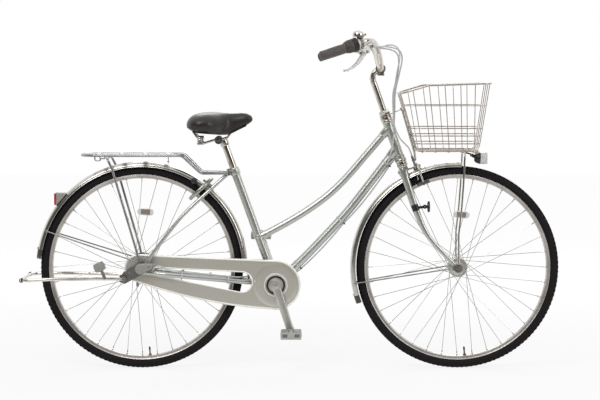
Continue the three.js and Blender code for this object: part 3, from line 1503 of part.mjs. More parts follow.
function fork_blade() {
  const section = circle_shape(1, thin_sides).getPoints()
  const top = steer(fork_crown_height + fork_crown_depth / 3, 0)
  const line = blade_shares.map(([reach_share, rise_share]) => [
    wheelbase - fork_blade_reach * (1 - reach_share), fork_blade_rise * rise_share])
  const stations = [[top.x, top.z - axle_height], ...line].map(([x, z]) => {
    const share = Math.max(0, 1 - z / fork_blade_rise)
    const size = fork_blade_length_half + (fork_tip_half - fork_blade_length_half) * share
    const side = fork_blade_spread_top + (front_dropout_y - fork_blade_spread_top) * share
    const lean = share < 0.6 ? 0 : (share - 0.6) * 1.6
    const forward = at(steer_forward.x * Math.cos(lean) + steer_forward.z * Math.sin(lean), 0,
      steer_forward.z * Math.cos(lean) - steer_forward.x * Math.sin(lean))
    return { place: at(x, side, axle_height + z), across: forward, up: at(0, 1, 0), wide: size,
      tall: Math.min(size, fork_blade_width_half - (fork_blade_width_half - fork_tip_half) * share) }
  })
  const dropout = box(dropout_height * 0.8, dropout_thickness, dropout_height, wheelbase, front_dropout_y,
    axle_height)
  const hole = cross_rod(wheelbase, axle_height, axle_radius + fit_gap * 2, 0, front_dropout_spacing)
  const inner = box(dropout_length, dropout_thickness * 2, dropout_length, wheelbase,
    front_dropout_spacing / 2 - dropout_thickness, axle_height - dropout_height * 0.4)
  const outer = box(dropout_length, dropout_thickness * 2, dropout_length * 2, wheelbase,
    front_dropout_outer + dropout_thickness, axle_height - dropout_height * 0.4)
  return cut(joined(swept(section, stations), dropout), hole, inner, outer)
}

// Round reflector on a short arm behind the right blade
function fork_reflector() {
  const seat = at(wheelbase - fork_reflector_back, -fork_blade_spread_top, axle_height + fork_reflector_rise)
  return [
    rod(at(seat.x - fork_reflector_arm, seat.y, seat.z), seat, striker_radius, thin_sides),
    rod(at(seat.x, seat.y - fork_blade_width_half, seat.z), at(seat.x + lamp_lens_thickness * 2, seat.y
      - fork_blade_width_half, seat.z), fork_reflector_radius, round_sides),
  ]
}

function fork() {
  const crown_middle = fork_crown_height + fork_crown_depth / 2
  const turn = steer_forward.z / steer_forward.x
  const crown = box(fork_crown_front + fork_crown_rear, 2 * (fork_blade_spread_top
    + fork_blade_width_half + fork_crown_margin),
    fork_crown_depth, (fork_crown_front - fork_crown_rear) / 2, 0, 0)
  const middle = steer(crown_middle, 0)
  crown.rotateY(-Math.atan(turn)).translate(middle.x, 0, middle.z)
  const top = head_tube_height + head_tube_length + fit_gap
  const nut_top = top + headset_nut_height
  const stack = turned_along([
    [0, 0], [steerer_radius, 0], [steerer_radius, top - crown_middle], [headset_nut_radius,
      top - crown_middle],
    [headset_nut_radius, top - crown_middle + headset_groove_low],
    [headset_groove_radius, top - crown_middle + headset_groove_low],
    [headset_groove_radius, top - crown_middle + headset_groove_low + headset_groove_depth],
    [headset_nut_radius, top - crown_middle + headset_groove_low + headset_groove_depth],
    [headset_nut_radius, nut_top - crown_middle], [0, nut_top - crown_middle],
  ], round_sides, middle, steer_up)
  const cone = rod(middle, steer(head_tube_height - fit_gap, 0), headset_nut_radius, round_sides)
  const bolt = rod(steer(calliper_pivot_height, 0), steer(calliper_pivot_height, calliper_outer_ahead
    + brake_bolt_reach), brake_bolt_radius, thin_sides)
  const bore = rod(steer(stem_foot - fit_gap, 0), steer(nut_top + cut_overrun, 0), quill_radius + fit_gap,
    round_sides)
  const blade = fork_blade()
  return cut(joined(crown, stack, cone, bolt, blade, mirrored(blade), fork_reflector()), bore)
}

const stem_foot = head_tube_height + head_tube_length + headset_nut_height - quill_insertion - fit_gap
const calliper_outer_ahead = calliper_pivot_ahead + calliper_arm_thickness + calliper_arm_gap
add('fork', fork(), ...silver_paint)

// Stem: the quill, the forged neck and the bored clamp with its bolts
function stem() {
  const clamp = steer(stem_height, stem_reach)
  const shoulder = stem_height - 2 * stem_clamp_radius
  const neck = tube([steer(shoulder - stem_clamp_radius, 0), steer(shoulder, 0),
    steer(stem_height - quill_radius / 2,
    quill_radius), clamp], quill_radius, thin_sides, wire_sides + 1)
  const half = stem_clamp_width / 2
  const whole = joined(
    rod(steer(stem_foot, 0), steer(shoulder, 0), quill_radius, round_sides),
    neck,
    cross_rod(clamp.x, clamp.z, stem_clamp_radius, -half, half),
    rod(clamp, at(clamp.x, 0, clamp.z - stem_clamp_radius * 1.25), lever_pivot_radius * 0.7, thin_sides),
  )
  return cut(whole, cross_rod(clamp.x, clamp.z, bar_sleeve_radius + fit_gap, -bar_sleeve_width,
    bar_sleeve_width))
}
add('stem', stem(), ...alloy)

// Handlebar, swept back to grips that point out and down
const bar_clamp = steer(stem_height, stem_reach)
const bar_shares = [[0, 0.11, 0], [0.02, 0.22, 0.22], [0.068, 0.352, 0.665], [0.17, 0.59, 0.985], [0.2615,
  0.752, 0.989]]

function bar_place([back, side, rise]) {
  return at(bar_clamp.x - bar_reach * back, bar_half_width * side, bar_clamp.z + bar_rise * rise)
}

const bar_end = bar_place([1, 1, bar_end_rise / bar_rise])
const bar_bend = bar_place(bar_shares.at(-1))
const bar_outward = bar_end.clone().sub(bar_bend).normalize()
const bar_straight = bar_end.distanceTo(bar_bend)
const bar_bore = bar_radius + 4 * fit_gap
const bar_upward = along(at(0, 0, 1), bar_outward, -bar_outward.z).normalize()

// A point on the straight left end of the bar, by its distance from the tip
function bar_spot(distance) {
  return along(bar_end, bar_outward, -distance)
}

function handlebar() {
  const bends = new THREE.CatmullRomCurve3([...bar_shares.map(bar_place), bar_spot(bar_straight * 0.97)])
  const left = [...bends.getPoints(bar_steps), bar_end]
  const right = left.map(spot => spot.clone().multiply(at(1, -1, 1))).reverse()
  return joined(
    wire([...right, ...left], bar_radius, thin_sides),
    cross_rod(bar_clamp.x, bar_clamp.z, bar_sleeve_radius, -bar_sleeve_width / 2, bar_sleeve_width / 2),
  )
}
add('handlebar', handlebar(), ...chrome)

function grip(length) {
  const inner = bar_bore
  const cap = 2 * grip_flange
  return turned_along([
    [0, 0], [grip_radius - grip_flange, 0], [grip_radius, cap], [grip_radius, length + cap], [inner,
      length + cap],
    [inner, cap + fit_gap], [0, cap + fit_gap],
  ], round_sides, bar_spot(-cap - fit_gap), bar_outward.clone().negate())
}
add('left_grip', grip(grip_length + shifter_length), ...grey_plastic)
add('right_grip', mirrored(grip(grip_length)), ...grey_plastic)

// Twist shifter on the right, a fluted barrel between the grip and the lever
function twist_shifter() {
  const inner = bar_bore
  const length = shifter_length - 2 * fit_gap
  return turned_along([
    [inner, 0], [shifter_radius * 0.82, 0], [shifter_radius * 0.93, length * 0.15], [shifter_radius,
      length * 0.35],
    [shifter_radius, length * 0.85], [shifter_radius * 0.85, length], [inner, length], [inner, 0],
  ], round_sides, bar_spot(grip_length + 2 * fit_gap), bar_outward.clone().negate())
}
add('twist_shifter', mirrored(twist_shifter()), ...dark_plastic)

// Turns a piece from a plain frame into one with the given forward and upward directions
function placed(geometry, origin, forward, upward) {
  const side = new THREE.Vector3().crossVectors(upward, forward)
  const frame = new THREE.Matrix4().makeBasis(forward, side, upward).setPosition(origin)
  return geometry.applyMatrix4(frame)
}

const bracket_distance = grip_length + shifter_length + lever_clamp_length / 2 + 2 * fit_gap

// Lever bracket: clamp round the bar and two cheeks with a pin, in a frame along the bar
function lever_bracket() {
  const half = lever_clamp_length / 2
  const slot_width = lever_blade_width + 2 * fit_gap
  const cheek_foot = lever_pivot_drop + lever_pivot_radius + lever_cheek_margin
  const body = joined(
    rod(at(-half, 0, 0), at(half, 0, 0), lever_clamp_radius, round_sides),
    box(lever_clamp_length + lever_pivot_ahead / 2, lever_perch_width, cheek_foot - bar_radius,
      -lever_pivot_ahead / 2,
      0, -(cheek_foot + bar_radius) / 2),
  )
  const slot = box(lever_clamp_length * 2, slot_width, lever_pivot_radius * 5, lever_clamp_length
    - lever_pivot_ahead - lever_pivot_radius * 1.3, 0, -lever_pivot_drop + lever_pivot_radius * 1.3
    - lever_pivot_radius * 2.5)
  const bore = rod(at(-lever_clamp_length, 0, 0), at(lever_clamp_length, 0, 0), bar_bore, tube_sides)
  const pin = rod(at(-lever_pivot_ahead, -lever_perch_width / 2, -lever_pivot_drop), at(-lever_pivot_ahead,
    lever_perch_width / 2, -lever_pivot_drop), lever_pin_radius, thin_sides)
  const ferrule_x = -half - lever_pivot_ahead / 2
  const ferrule = rod(at(ferrule_x - ferrule_length, 0, -lever_clamp_radius * 1.3),
    at(ferrule_x + ferrule_length, 0,
    -lever_clamp_radius * 1.3), ferrule_radius, thin_sides)
  return joined(cut(joined(body, ferrule), slot, bore), pin)
}

// Brake lever: an eye on the pin and a blade that bends back under the grip
function brake_lever() {
  const section = circle_shape(1, wire_sides + 2).getPoints()
  const back = at(Math.cos(lever_rest_angle), 0, -Math.sin(lever_rest_angle))
  const rise = at(Math.sin(lever_rest_angle), 0, Math.cos(lever_rest_angle))
  const pivot = at(-lever_pivot_ahead, 0, -lever_pivot_drop)
  const blade_shares = [[0, 0, 1], [0.2, -0.35, 1], [0.5, -0.6, 0.9], [0.8, -0.35, 0.85], [1, 0.2, 0.8]]
  const stations = blade_shares.map(
    ([length_share, drop_share, size]) => ({
      place: along(along(pivot, back, lever_length * length_share), rise, lever_curve * drop_share),
      across: at(0, 1, 0), up: rise, wide: lever_blade_width * size / 2, tall: lever_blade_thickness
        * size / 2,
    }))
  const eye = rod(at(pivot.x, -lever_blade_width / 2, pivot.z), at(pivot.x, lever_blade_width / 2, pivot.z),
    lever_pivot_radius, round_sides)
  const hole = rod(at(pivot.x, -lever_perch_width, pivot.z), at(pivot.x, lever_perch_width, pivot.z),
    lever_pin_radius + 3 * fit_gap, thin_sides)
  const tip = new THREE.SphereGeometry(lever_blade_width * 0.45, thin_sides, wire_sides)
  const end = stations.at(-1).place
  return cut(joined(swept(section, stations), eye, tip.translate(end.x, end.y, end.z)), hole)
}

function on_bar(geometry) {
  return placed(geometry, bar_spot(bracket_distance), bar_outward, bar_upward)
}
add('left_lever_bracket', on_bar(lever_bracket()), ...alloy)
add('right_lever_bracket', mirrored(on_bar(lever_bracket())), ...alloy)
add('left_brake_lever', on_bar(brake_lever()), ...alloy)
add('right_brake_lever', mirrored(on_bar(brake_lever())), ...alloy)

// Bell on top of the right bracket: a dome on a stalk, and the striker that turns round the stalk
function bell() {
  const foot = lever_clamp_radius + fit_gap
  const top = foot + bell_foot + bell_height
  const lip = top - bell_height
  return turned_along([
    [0, foot], [bell_stalk_radius, foot], [bell_stalk_radius, top - bell_wall * 2], [bell_radius * 0.62,
      top - bell_height * 0.3],
    [bell_radius - bell_wall, lip + bell_height * 0.45], [bell_radius - bell_wall, lip],
    [bell_radius, lip], [bell_radius, lip + bell_height * 0.5], [bell_radius * 0.68,
      top - bell_height * 0.12],
    [0, top],
  ], hub_steps, at(0, 0, 0), at(0, 0, 1))
}

function bell_striker() {
  const foot = lever_clamp_radius + 2 * fit_gap
  const height = bell_foot - 3 * fit_gap
  const middle = foot + height / 2
  const ring = rod(at(0, 0, foot), at(0, 0, foot + height), bell_stalk_radius + striker_radius, round_sides)
  const knob = at(-striker_length - bell_radius / 2, 0, middle)
  return cut(joined(ring, rod(at(0, 0, middle), knob, striker_radius, wire_sides + 2),
    new THREE.SphereGeometry(striker_radius * 1.5, thin_sides, wire_sides).translate(knob.x, knob.y, knob.z)),
  rod(at(0, 0, 0), at(0, 0, foot + 2 * height), bell_stalk_radius + 2 * fit_gap, round_sides))
}
add('bell', mirrored(on_bar(bell())), ...chrome)
add('bell_striker', mirrored(on_bar(bell_striker())), ...dark_plastic)

// Basket: level wire loops crossed by wires that run down one side, under the bottom and up the other
function basket_rear_x(z) {
  const share = (z - basket_bottom_height) / (basket_rear_height - basket_bottom_height)
  return basket_bottom_rear + (basket_top_rear - basket_bottom_rear) * share
}

function basket_front_x(z) {
  const share = (z - basket_bottom_height) / (basket_front_height - basket_bottom_height)
  const bottom = basket_bottom_rear + basket_bottom_length
  return bottom + (basket_top_rear + basket_top_length - bottom) * share
}

function basket_half_width(z) {
  const share = (z - basket_bottom_height) / (basket_front_height - basket_bottom_height)
  return (basket_bottom_width + (basket_top_width - basket_bottom_width) * share) / 2
}

// Height of the rim, which rises in a short slope behind and a long one ahead
function basket_rim_height(x) {
  const bend = basket_top_rear + basket_top_length * basket_bend_share
  const bend_height = basket_front_height - (basket_front_height - basket_rear_height) * 0.2
  const share = x < bend ? (x - basket_top_rear) / (bend - basket_top_rear) : (x - bend) / (basket_top_length
    * (1 - basket_bend_share))
  const [from, to] = x < bend ? [basket_rear_height, bend_height] : [bend_height, basket_front_height]
  return from + (to - from) * share
}

function basket_loop(z) {
  const [rear, front, half] = [basket_rear_x(z), basket_front_x(z), basket_half_width(z)]
  const round = basket_corner_radius
  const spots = []
  for (const [x, y, start] of [[front, half, 0], [rear, half, 1], [rear, -half, 2], [front, -half, 3]]) {
    const centre_x = x - Math.sign(x - (rear + front) / 2) * round
    const centre_y = y - Math.sign(y) * round
    for (const turn of [0, 0.5, 1]) {
      const angle = Math.PI / 2 * (start + turn)
      spots.push(at(centre_x + round * Math.cos(angle), centre_y + round * Math.sin(angle), z))
    }
  }
  return wire(spots, basket_wire_radius, wire_sides, true)
}

function basket() {
  const pieces = []
  for (const share of basket_hoop_shares) {
    const z = basket_bottom_height + (basket_rear_height - basket_bottom_height) * share
    pieces.push(basket_loop(z))
  }
  const bottom_z = basket_bottom_height
  const bottom_half = basket_bottom_width / 2
  for (let i = 0; i < basket_side_wires; i += 1) {
    const share = (i + 0.6) / (basket_side_wires + 0.2)
    const top_x = basket_top_rear + basket_top_length * share
    const low_x = basket_bottom_rear + basket_bottom_length * share
    const top_z = basket_rim_height(top_x)
    const half = basket_half_width(top_z)
    const low_z = bottom_z + basket_wire_radius * 0.7
    pieces.push(wire([at(top_x, half, top_z), at(low_x, bottom_half, low_z), at(low_x, -bottom_half, low_z),
      at(top_x, -half, top_z)], basket_wire_radius, spoke_sides))
  }
  for (let i = 0; i < basket_long_wires; i += 1) {
    const share = (i + 0.5) / basket_long_wires * 2 - 1
    const y = share * (bottom_half - basket_corner_radius / 2)
    pieces.push(wire([
      at(basket_rear_x(basket_rear_height), y, basket_rear_height), at(basket_bottom_rear, y, bottom_z),
      at(basket_bottom_rear + basket_bottom_length, y, bottom_z),
      at(basket_front_x(basket_front_height), y, basket_front_height),
    ], basket_wire_radius, spoke_sides))
  }
  return joined(pieces, basket_rim())
}

function basket_rim() {
  const rear = basket_rear_x(basket_rear_height)
  const front = basket_front_x(basket_front_height)
  const bend = basket_top_rear + basket_top_length * basket_bend_share
  const [rear_half, bend_half, front_half] = [basket_rear_height, basket_rim_height(bend),
    basket_front_height]
    .map(basket_half_width)
  const round = basket_corner_radius
  const left = [
    at(front, front_half - round, basket_front_height),
    at(front - round * 0.3, front_half - round * 0.3, basket_front_height),
    at(front - round, front_half, basket_rim_height(front - round)),
    at(bend, bend_half, basket_rim_height(bend)),
    at(rear + round, rear_half, basket_rim_height(rear + round)),
    at(rear + round * 0.3, rear_half - round * 0.3, basket_rim_height(rear + round * 0.3)),
    at(rear, rear_half - round, basket_rear_height),
  ]
  const right = left.map(spot => spot.clone().multiply(at(1, -1, 1))).reverse()
  return wire([...left, ...right], basket_rim_radius, wire_sides, true)
}
add('basket', basket(), ...bright_steel)

// Basket bracket: a ring in the groove of the headset nut, a strap ahead and a forked rod down the basket
function basket_bracket() {
  const groove = head_tube_height + head_tube_length + fit_gap + headset_groove_low
  const ring_foot = steer(groove + fit_gap, 0)
  const height = headset_groove_depth - 2 * fit_gap
  const bore = headset_groove_radius + fit_gap
  const edge = headset_nut_radius + basket_ring_edge
  const ring = turned_along([
    [bore, 0], [edge, 0], [edge, height], [bore, height], [bore, 0],
  ], round_sides, ring_foot, steer_up)
  const offset = basket_wire_radius + basket_bracket_radius + fit_gap
  const hold_z = basket_bottom_height + (basket_rear_height - basket_bottom_height) * basket_hold_share
  const back_x = z => basket_rear_x(z) - offset
  const strap_start = along(ring_foot, steer_forward, headset_groove_radius + basket_ring_edge
    * 0.75).add(at(0, 0, height / 2))
  const strap_end = at(back_x(hold_z), 0, hold_z)
  const section = [[-1, -1], [1, -1], [1, 1], [-1, 1]].map(([x, y]) => new THREE.Vector2(x, y))
  const strap_half = headset_groove_radius * 0.6
  const strap = swept(section, [strap_start, strap_end].map(place => ({
    place, across: at(0, 1, 0), up: steer_up, wide: strap_half, tall: height / 2,
  })))
  const cross = rod(at(strap_end.x, -basket_bracket_width / 2, hold_z), at(strap_end.x,
    basket_bracket_width / 2,
    hold_z), basket_bracket_radius, thin_sides)
  const fork_rod = [-1, 1].flatMap(side => {
    const y = side * basket_bracket_width / 4
    return [at(back_x(hold_z), y, hold_z), at(back_x(basket_bottom_height), y, basket_bottom_height),
      at(back_x(basket_bottom_height) + basket_bracket_radius, y * 0.4,
        basket_bottom_height - basket_bracket_drop)]
  })
  const path = [...fork_rod.slice(0, 3), ...fork_rod.slice(3).reverse()]
  return joined(ring, strap, cross, wire(path, basket_bracket_radius, wire_sides + 2))
}
add('basket_bracket', basket_bracket(), ...bright_steel)

// Basket stays: one bent rod from axle to axle under the basket, with an eye round each nut
function basket_stays() {
  const eye_y = front_dropout_outer + 2 * fit_gap + washer_thickness
  const stay_y = eye_y + stay_eye_thickness + basket_stay_radius * 0.8
  const top_z = basket_bottom_height - basket_wire_radius - basket_stay_radius - fit_gap
  const rise = top_z - axle_height
  const foot = at(wheelbase, stay_y, axle_height + stay_eye_radius - basket_stay_radius / 2)
  const left = [foot, ...basket_stay_shares.map(([ahead, height_share]) => at(
    wheelbase + basket_stay_ahead * ahead, stay_y + (basket_stay_spread - stay_y) * height_share,
    axle_height + rise * height_share))]
  const right = left.map(spot => spot.clone().multiply(at(1, -1, 1))).reverse()
  const eye = turned([
    [nut_radius + 2 * fit_gap, eye_y], [stay_eye_radius, eye_y], [stay_eye_radius,
      eye_y + stay_eye_thickness],
    [nut_radius + 2 * fit_gap, eye_y + stay_eye_thickness], [nut_radius + 2 * fit_gap, eye_y],
  ], round_sides, wheelbase, axle_height)
  return joined(wire([...left, ...right], basket_stay_radius, thin_sides), eye, mirrored(eye))
}

const basket_stay_shares = [[0, 0.29], [0.5, 0.53], [0.75, 0.71], [1, 1]]
add('basket_stays', basket_stays(), ...bright_steel)

// Headlamp under the basket, on the right of the wheel
const lamp_place = at(wheelbase + lamp_forward, -lamp_side, basket_bottom_height - lamp_drop)
function headlamp() {
  const start = at(lamp_place.x - lamp_length / 2, lamp_place.y, lamp_place.z)
  const body = turned_along([
    [0, 0], [lamp_radius * 0.55, 0], [lamp_radius * 0.95, lamp_length * 0.4], [lamp_radius, lamp_length],
    [0, lamp_length],
  ], hub_steps, start, at(1, 0, 0))
  const stay_x = wheelbase + basket_stay_ahead + basket_stay_radius + fit_gap
  const foot_z = lamp_place.z + lamp_radius - lamp_tab_depth
  const tab = box(lamp_place.x - stay_x, lamp_tab_width, lamp_tab_width / 2, (lamp_place.x + stay_x) / 2,
    lamp_place.y, foot_z)
  return joined(body, tab)
}
add('headlamp', headlamp(), ...grey_plastic)
add('headlamp_lens', rod(at(lamp_place.x + lamp_length / 2 + fit_gap, lamp_place.y, lamp_place.z),
  at(lamp_place.x + lamp_length / 2 + fit_gap + lamp_lens_thickness, lamp_place.y, lamp_place.z),
    lamp_radius, hub_steps,
  lamp_radius * 0.9), ...clear_plastic)

// Front brake: two arms on one bolt, each reaching round the tyre to its own shoe
const shoe_height = (rim_outer_radius + rim_inner_radius) / 2

function calliper_arm(ahead, side, tail) {
  const reach = calliper_half_span
  const width = calliper_arm_width
  const pivot = calliper_pivot_height
  const inner = reach - width / 2
  const outline = shape_of([
    [-width, pivot + width / 2], [-width, pivot - width / 2], [inner * 0.9, pivot - width / 2],
    [inner, pivot - width], [inner, shoe_height - brake_shoe_height], [reach + width / 2, shoe_height
      - brake_shoe_height], [reach + width / 2, pivot - width], [reach - width / 4, pivot + width / 2],
    [width, pivot + width * 0.8],
  ])
  const plate = new THREE.ExtrudeGeometry(outline, { depth: calliper_arm_thickness, bevelEnabled: false })
  const arm = placed_on_steering(plate, ahead)
  const rim_half = rim_width / 2
  const shoe_depth = inner - rim_half - brake_shoe_gap + brake_shoe_overlap
  const shoe = box(brake_shoe_length, shoe_depth, brake_shoe_height, ahead + calliper_arm_thickness / 2,
    rim_half + brake_shoe_gap + shoe_depth / 2, shoe_height)
  const shoe_placed = placed(shoe, steer_foot, steer_forward, steer_up)
  const tail_arm = placed(box(calliper_arm_thickness, width, tail, ahead + calliper_arm_thickness / 2,
    -width * 2,
    pivot + tail / 2), steer_foot, steer_forward, steer_up)
  const tail_link = placed(box(calliper_arm_thickness, width * 2, width, ahead + calliper_arm_thickness / 2,
    -width
    * 1.5, pivot), steer_foot, steer_forward, steer_up)
  const hole = rod(steer(pivot, ahead - cut_overrun), steer(pivot, ahead + calliper_arm_thickness
    + cut_overrun),
    brake_bolt_radius + 3 * fit_gap, thin_sides)
  const whole = cut(joined(arm, shoe_placed, tail_arm, tail_link), hole)
  return side < 0 ? mirrored(whole) : whole
}

// Puts a plate drawn across the bicycle at a distance ahead of the steering axis
function placed_on_steering(plate, ahead) {
  const frame = new THREE.Matrix4().makeBasis(at(0, 1, 0), steer_up, steer_forward)
  frame.setPosition(along(steer_foot, steer_forward, ahead))
  return plate.applyMatrix4(frame)
}
add('left_calliper_arm', calliper_arm(calliper_pivot_ahead, 1, calliper_tail_length), ...alloy)
add('right_calliper_arm', calliper_arm(calliper_outer_ahead, -1, calliper_arm_width), ...alloy)

// Cables: loops from the bar that bend with the steering, and runs clipped under the down tube
const down_tube_curve = new THREE.CatmullRomCurve3(down_tube_points, false, 'centripetal')

function under_down_tube(share, side) {
  const direction = down_tube_curve.getTangentAt(share)
  const down = at(direction.z, 0, -direction.x)
  const offset = down_tube_radius + cable_radius + 2 * fit_gap
  return along(down_tube_curve.getPointAt(share), down, offset).setY(side)
}

const cable_side = cable_radius * 0.9
const loop_end = share => [under_down_tube(share, -cable_side), under_down_tube(share, cable_side)]

// Routes of the loops: shares ahead of the head tube's top, to the side and above it
const shift_cable_shares = [
  [-0.63, -1.02, 0.96], [-0.27, -0.89, 0.98], [0.11, -0.73, 0.97], [0.39, -0.55, 0.92],
  [0.47, -0.42, 0.82], [0.39, -0.31, 0.63], [0.26, -0.23, 0.37], [0.25, -0.18, 0.17],
  [0.23, -0.15, -0.08], [0.19, -0.13, -0.34], [0.03, -0.1, -0.59],
]
const rear_brake_cable_shares = [
  [-0.63, 1.02, 0.96], [-0.19, 0.75, 0.99], [0.17, 0.5, 1.02], [0.4, 0.31, 0.97], [0.45, 0.21, 0.85],
  [0.35, 0.16, 0.63], [0.26, 0.15, 0.37], [0.24, 0.14, 0.17], [0.22, 0.14, -0.08], [0.19, 0.13, -0.34],
  [0.03, 0.1, -0.59],
]
const front_brake_cable_shares = [
  [-0.61, -0.98, 0.93], [-0.27, -0.85, 0.96], [0.07, -0.69, 0.94], [0.29, -0.52, 0.89],
  [0.36, -0.4, 0.79], [0.33, -0.28, 0.61], [0.19, -0.26, 0.37], [0.19, -0.22, 0.17],
  [0.25, -0.19, -0.08], [0.45, -0.17, -0.25], [0.71, -0.15, -0.36],
]

function cable_route(shares) {
  return shares.map(([ahead, side, above]) => at(head_top.x + cable_loop_reach * ahead, cable_loop_side * side,
    head_top.z + cable_loop_rise * above))
}

function handlebar_cables() {
  const [right_end, left_end] = loop_end(loop_end_share)
  const [right_last, left_last] = loop_end(loop_last_share)
  const right = [...cable_route(shift_cable_shares), right_last, right_end]
  const left = [...cable_route(rear_brake_cable_shares), left_last, left_end]
  return joined([right, left].map(points => tube(points, cable_radius, spring_sides, cable_steps)))
}
add('handlebar_cables', handlebar_cables(), ...cable_grey)

function cable_clip(share) {
  const bore = down_tube_radius + 5 * fit_gap
  const direction = down_tube_curve.getTangentAt(share)
  const start = along(down_tube_curve.getPointAt(share), direction, -clip_width / 2)
  return turned_along([
    [bore, 0], [bore + clip_thickness, 0], [bore + clip_thickness, clip_width], [bore, clip_width], [bore, 0],
  ], thin_sides, start, direction)
}

// The two cables of the frame: one flat run under the down tube, then one along each chain stay
function frame_cables() {
  const low_z = bottom_bracket_z - bottom_bracket_radius - cable_radius - fit_gap
  const run = [...cable_run_shares.map(share => under_down_tube(share, 0)),
    at(bottom_bracket_x + bottom_bracket_radius, 0, bottom_bracket_z - bottom_bracket_radius),
    at(bottom_bracket_x, 0, low_z)]
  const stations = run.map((place, i) => {
    const ahead = run[Math.min(i + 1, run.length - 1)].clone().sub(run[Math.max(i - 1, 0)]).normalize()
    return { place, across: at(0, 1, 0), up: at(-ahead.z, 0, ahead.x), wide: 1, tall: 1 }
  })
  const pair_shares = [[-1.8, 0], [-1, -1], [1, -1], [1.8, 0], [1, 1], [-1, 1]]
  const section = pair_shares.map(([x, y]) => new THREE.Vector2(x * cable_radius, y * cable_radius))
  const above = x => along(chain_stay_place(x), at(0, 0, 1), chain_stay_radius + cable_radius + 6 * fit_gap)
  const below = x => along(chain_stay_place(x), at(0, 0, -1), chain_stay_radius + cable_radius + 3 * fit_gap)
  const by_bracket = ([ahead, side, above]) => at(bottom_bracket_x + bottom_bracket_radius * ahead,
    bottom_bracket_radius * side, bottom_bracket_z + bottom_bracket_radius * above)
  const right_turn = [[-0.9, -0.35, -1.19], [-2.1, -0.55, -0.5], [-3.8, -0.87, 1.2]].map(by_bracket)
  const right = [
    at(bottom_bracket_x + cable_radius, -cable_side, low_z), ...right_turn,
    ...[0.72, 0.57, 0.4, 0.22].map(share => above(chain_stay_length * share)).map(spot => spot.multiply(at(1,
      -1, 1))),
    at(gear_cover_length, -gear_cover_inner, axle_height + gear_cover_tip_radius),
    at(gear_cover_length - gear_cover_radius, -gear_cover_middle, axle_height + gear_cover_tip_radius),
  ]
  const left = [
    at(bottom_bracket_x + cable_radius, cable_side, low_z),
    at(bottom_bracket_x - bottom_bracket_radius, bottom_bracket_radius / 2, low_z),
    ...[0.83, 0.61, 0.42].map(share => below(chain_stay_length * share)),
    at(brake_cable_end + drum_radius, drum_outer + 2 * cable_radius, axle_height - drum_radius * 0.85),
    at(brake_cable_end, drum_outer + 2 * cable_radius, axle_height - brake_arm_length * 0.88),
  ]
  const runs = [right, left].map(points => tube(points, cable_radius, spring_sides, cable_run_steps))
  return joined(swept(section, stations), runs, clip_shares.map(cable_clip))
}
add('frame_cables', frame_cables(), ...cable_grey)

// Front brake cable, which turns with the fork
function front_brake_cable() {
  const adjuster = steer(calliper_pivot_height + calliper_tail_length * 0.7, calliper_pivot_ahead
    + calliper_arm_thickness / 2, -calliper_arm_width * 2)
  return tube([...cable_route(front_brake_cable_shares), along(adjuster, steer_up, cable_loop_reach * 0.26),
    along(adjuster, steer_up, cable_loop_reach * 0.14)], cable_radius, spring_sides, cable_steps)
}
add('front_brake_cable', front_brake_cable(), ...cable_grey)

const group = new THREE.Group()
group.add(model)
export default group
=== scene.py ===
"""Looks of a step-through city bicycle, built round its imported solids.

Places are in millimetres from the rear axle, forward, to the rider's left and up from the ground,
and spot() turns them into the frame's metres.
"""
from math import asin, atan2, cos, exp, hypot, pi, radians, sin, sqrt, tan

import bmesh
import bpy
from mathutils import Matrix, Vector


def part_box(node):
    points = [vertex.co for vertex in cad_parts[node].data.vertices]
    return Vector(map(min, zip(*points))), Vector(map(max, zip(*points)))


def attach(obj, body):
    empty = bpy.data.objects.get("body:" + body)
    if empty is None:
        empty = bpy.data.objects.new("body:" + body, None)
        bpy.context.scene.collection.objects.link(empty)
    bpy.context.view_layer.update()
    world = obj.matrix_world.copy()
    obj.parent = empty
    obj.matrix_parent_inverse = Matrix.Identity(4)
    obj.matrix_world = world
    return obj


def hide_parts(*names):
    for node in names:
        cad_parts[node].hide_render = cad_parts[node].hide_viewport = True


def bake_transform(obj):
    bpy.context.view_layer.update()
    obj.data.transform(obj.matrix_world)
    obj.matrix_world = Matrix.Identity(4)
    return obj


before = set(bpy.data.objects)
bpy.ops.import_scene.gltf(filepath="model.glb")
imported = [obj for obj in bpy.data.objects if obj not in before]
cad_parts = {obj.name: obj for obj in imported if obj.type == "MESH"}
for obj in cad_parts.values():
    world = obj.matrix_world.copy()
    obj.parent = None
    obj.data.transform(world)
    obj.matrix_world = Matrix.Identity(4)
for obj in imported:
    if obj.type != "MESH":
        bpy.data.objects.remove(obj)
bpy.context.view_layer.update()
SCENE = bpy.context.scene
MM = 0.001

# Driving sizes, the same as the solids have
TYRE_LOW, TYRE_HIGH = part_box("rear_tyre")
FRONT_LOW, FRONT_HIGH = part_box("front_tyre")
REAR_AXLE = (TYRE_LOW.x + TYRE_HIGH.x) / 2
WHEELBASE = ((FRONT_LOW.x + FRONT_HIGH.x) / 2 - REAR_AXLE) / MM
TYRE_RADIUS = (TYRE_HIGH.z - TYRE_LOW.z) / 2 / MM
AXLE_Z = TYRE_RADIUS
SEAT_ANGLE = radians(70)
HEAD_ANGLE = radians(70.86)
FORK_OFFSET = 63.6
CHAIN_STAY = 456
BRACKET_DROP = 57
BRACKET_X = sqrt(CHAIN_STAY ** 2 - BRACKET_DROP ** 2)
BRACKET_Z = AXLE_Z - BRACKET_DROP
SEAT_TUBE = 417
HEAD_TUBE = 147
HEAD_TUBE_LOW = 400
DROPOUT_Y = 62.5
FRONT_DROPOUT_Y = 52.5
CRANK_LENGTH = 165
CRANK_LEAN = 18.3
CHAIN_PITCH = 12.7
CHAIN_LINE = -43
RING_TEETH = 32
SPROCKET_TEETH = 16
GUARD_RADIUS = 357
CABLE_RADIUS = 2.5

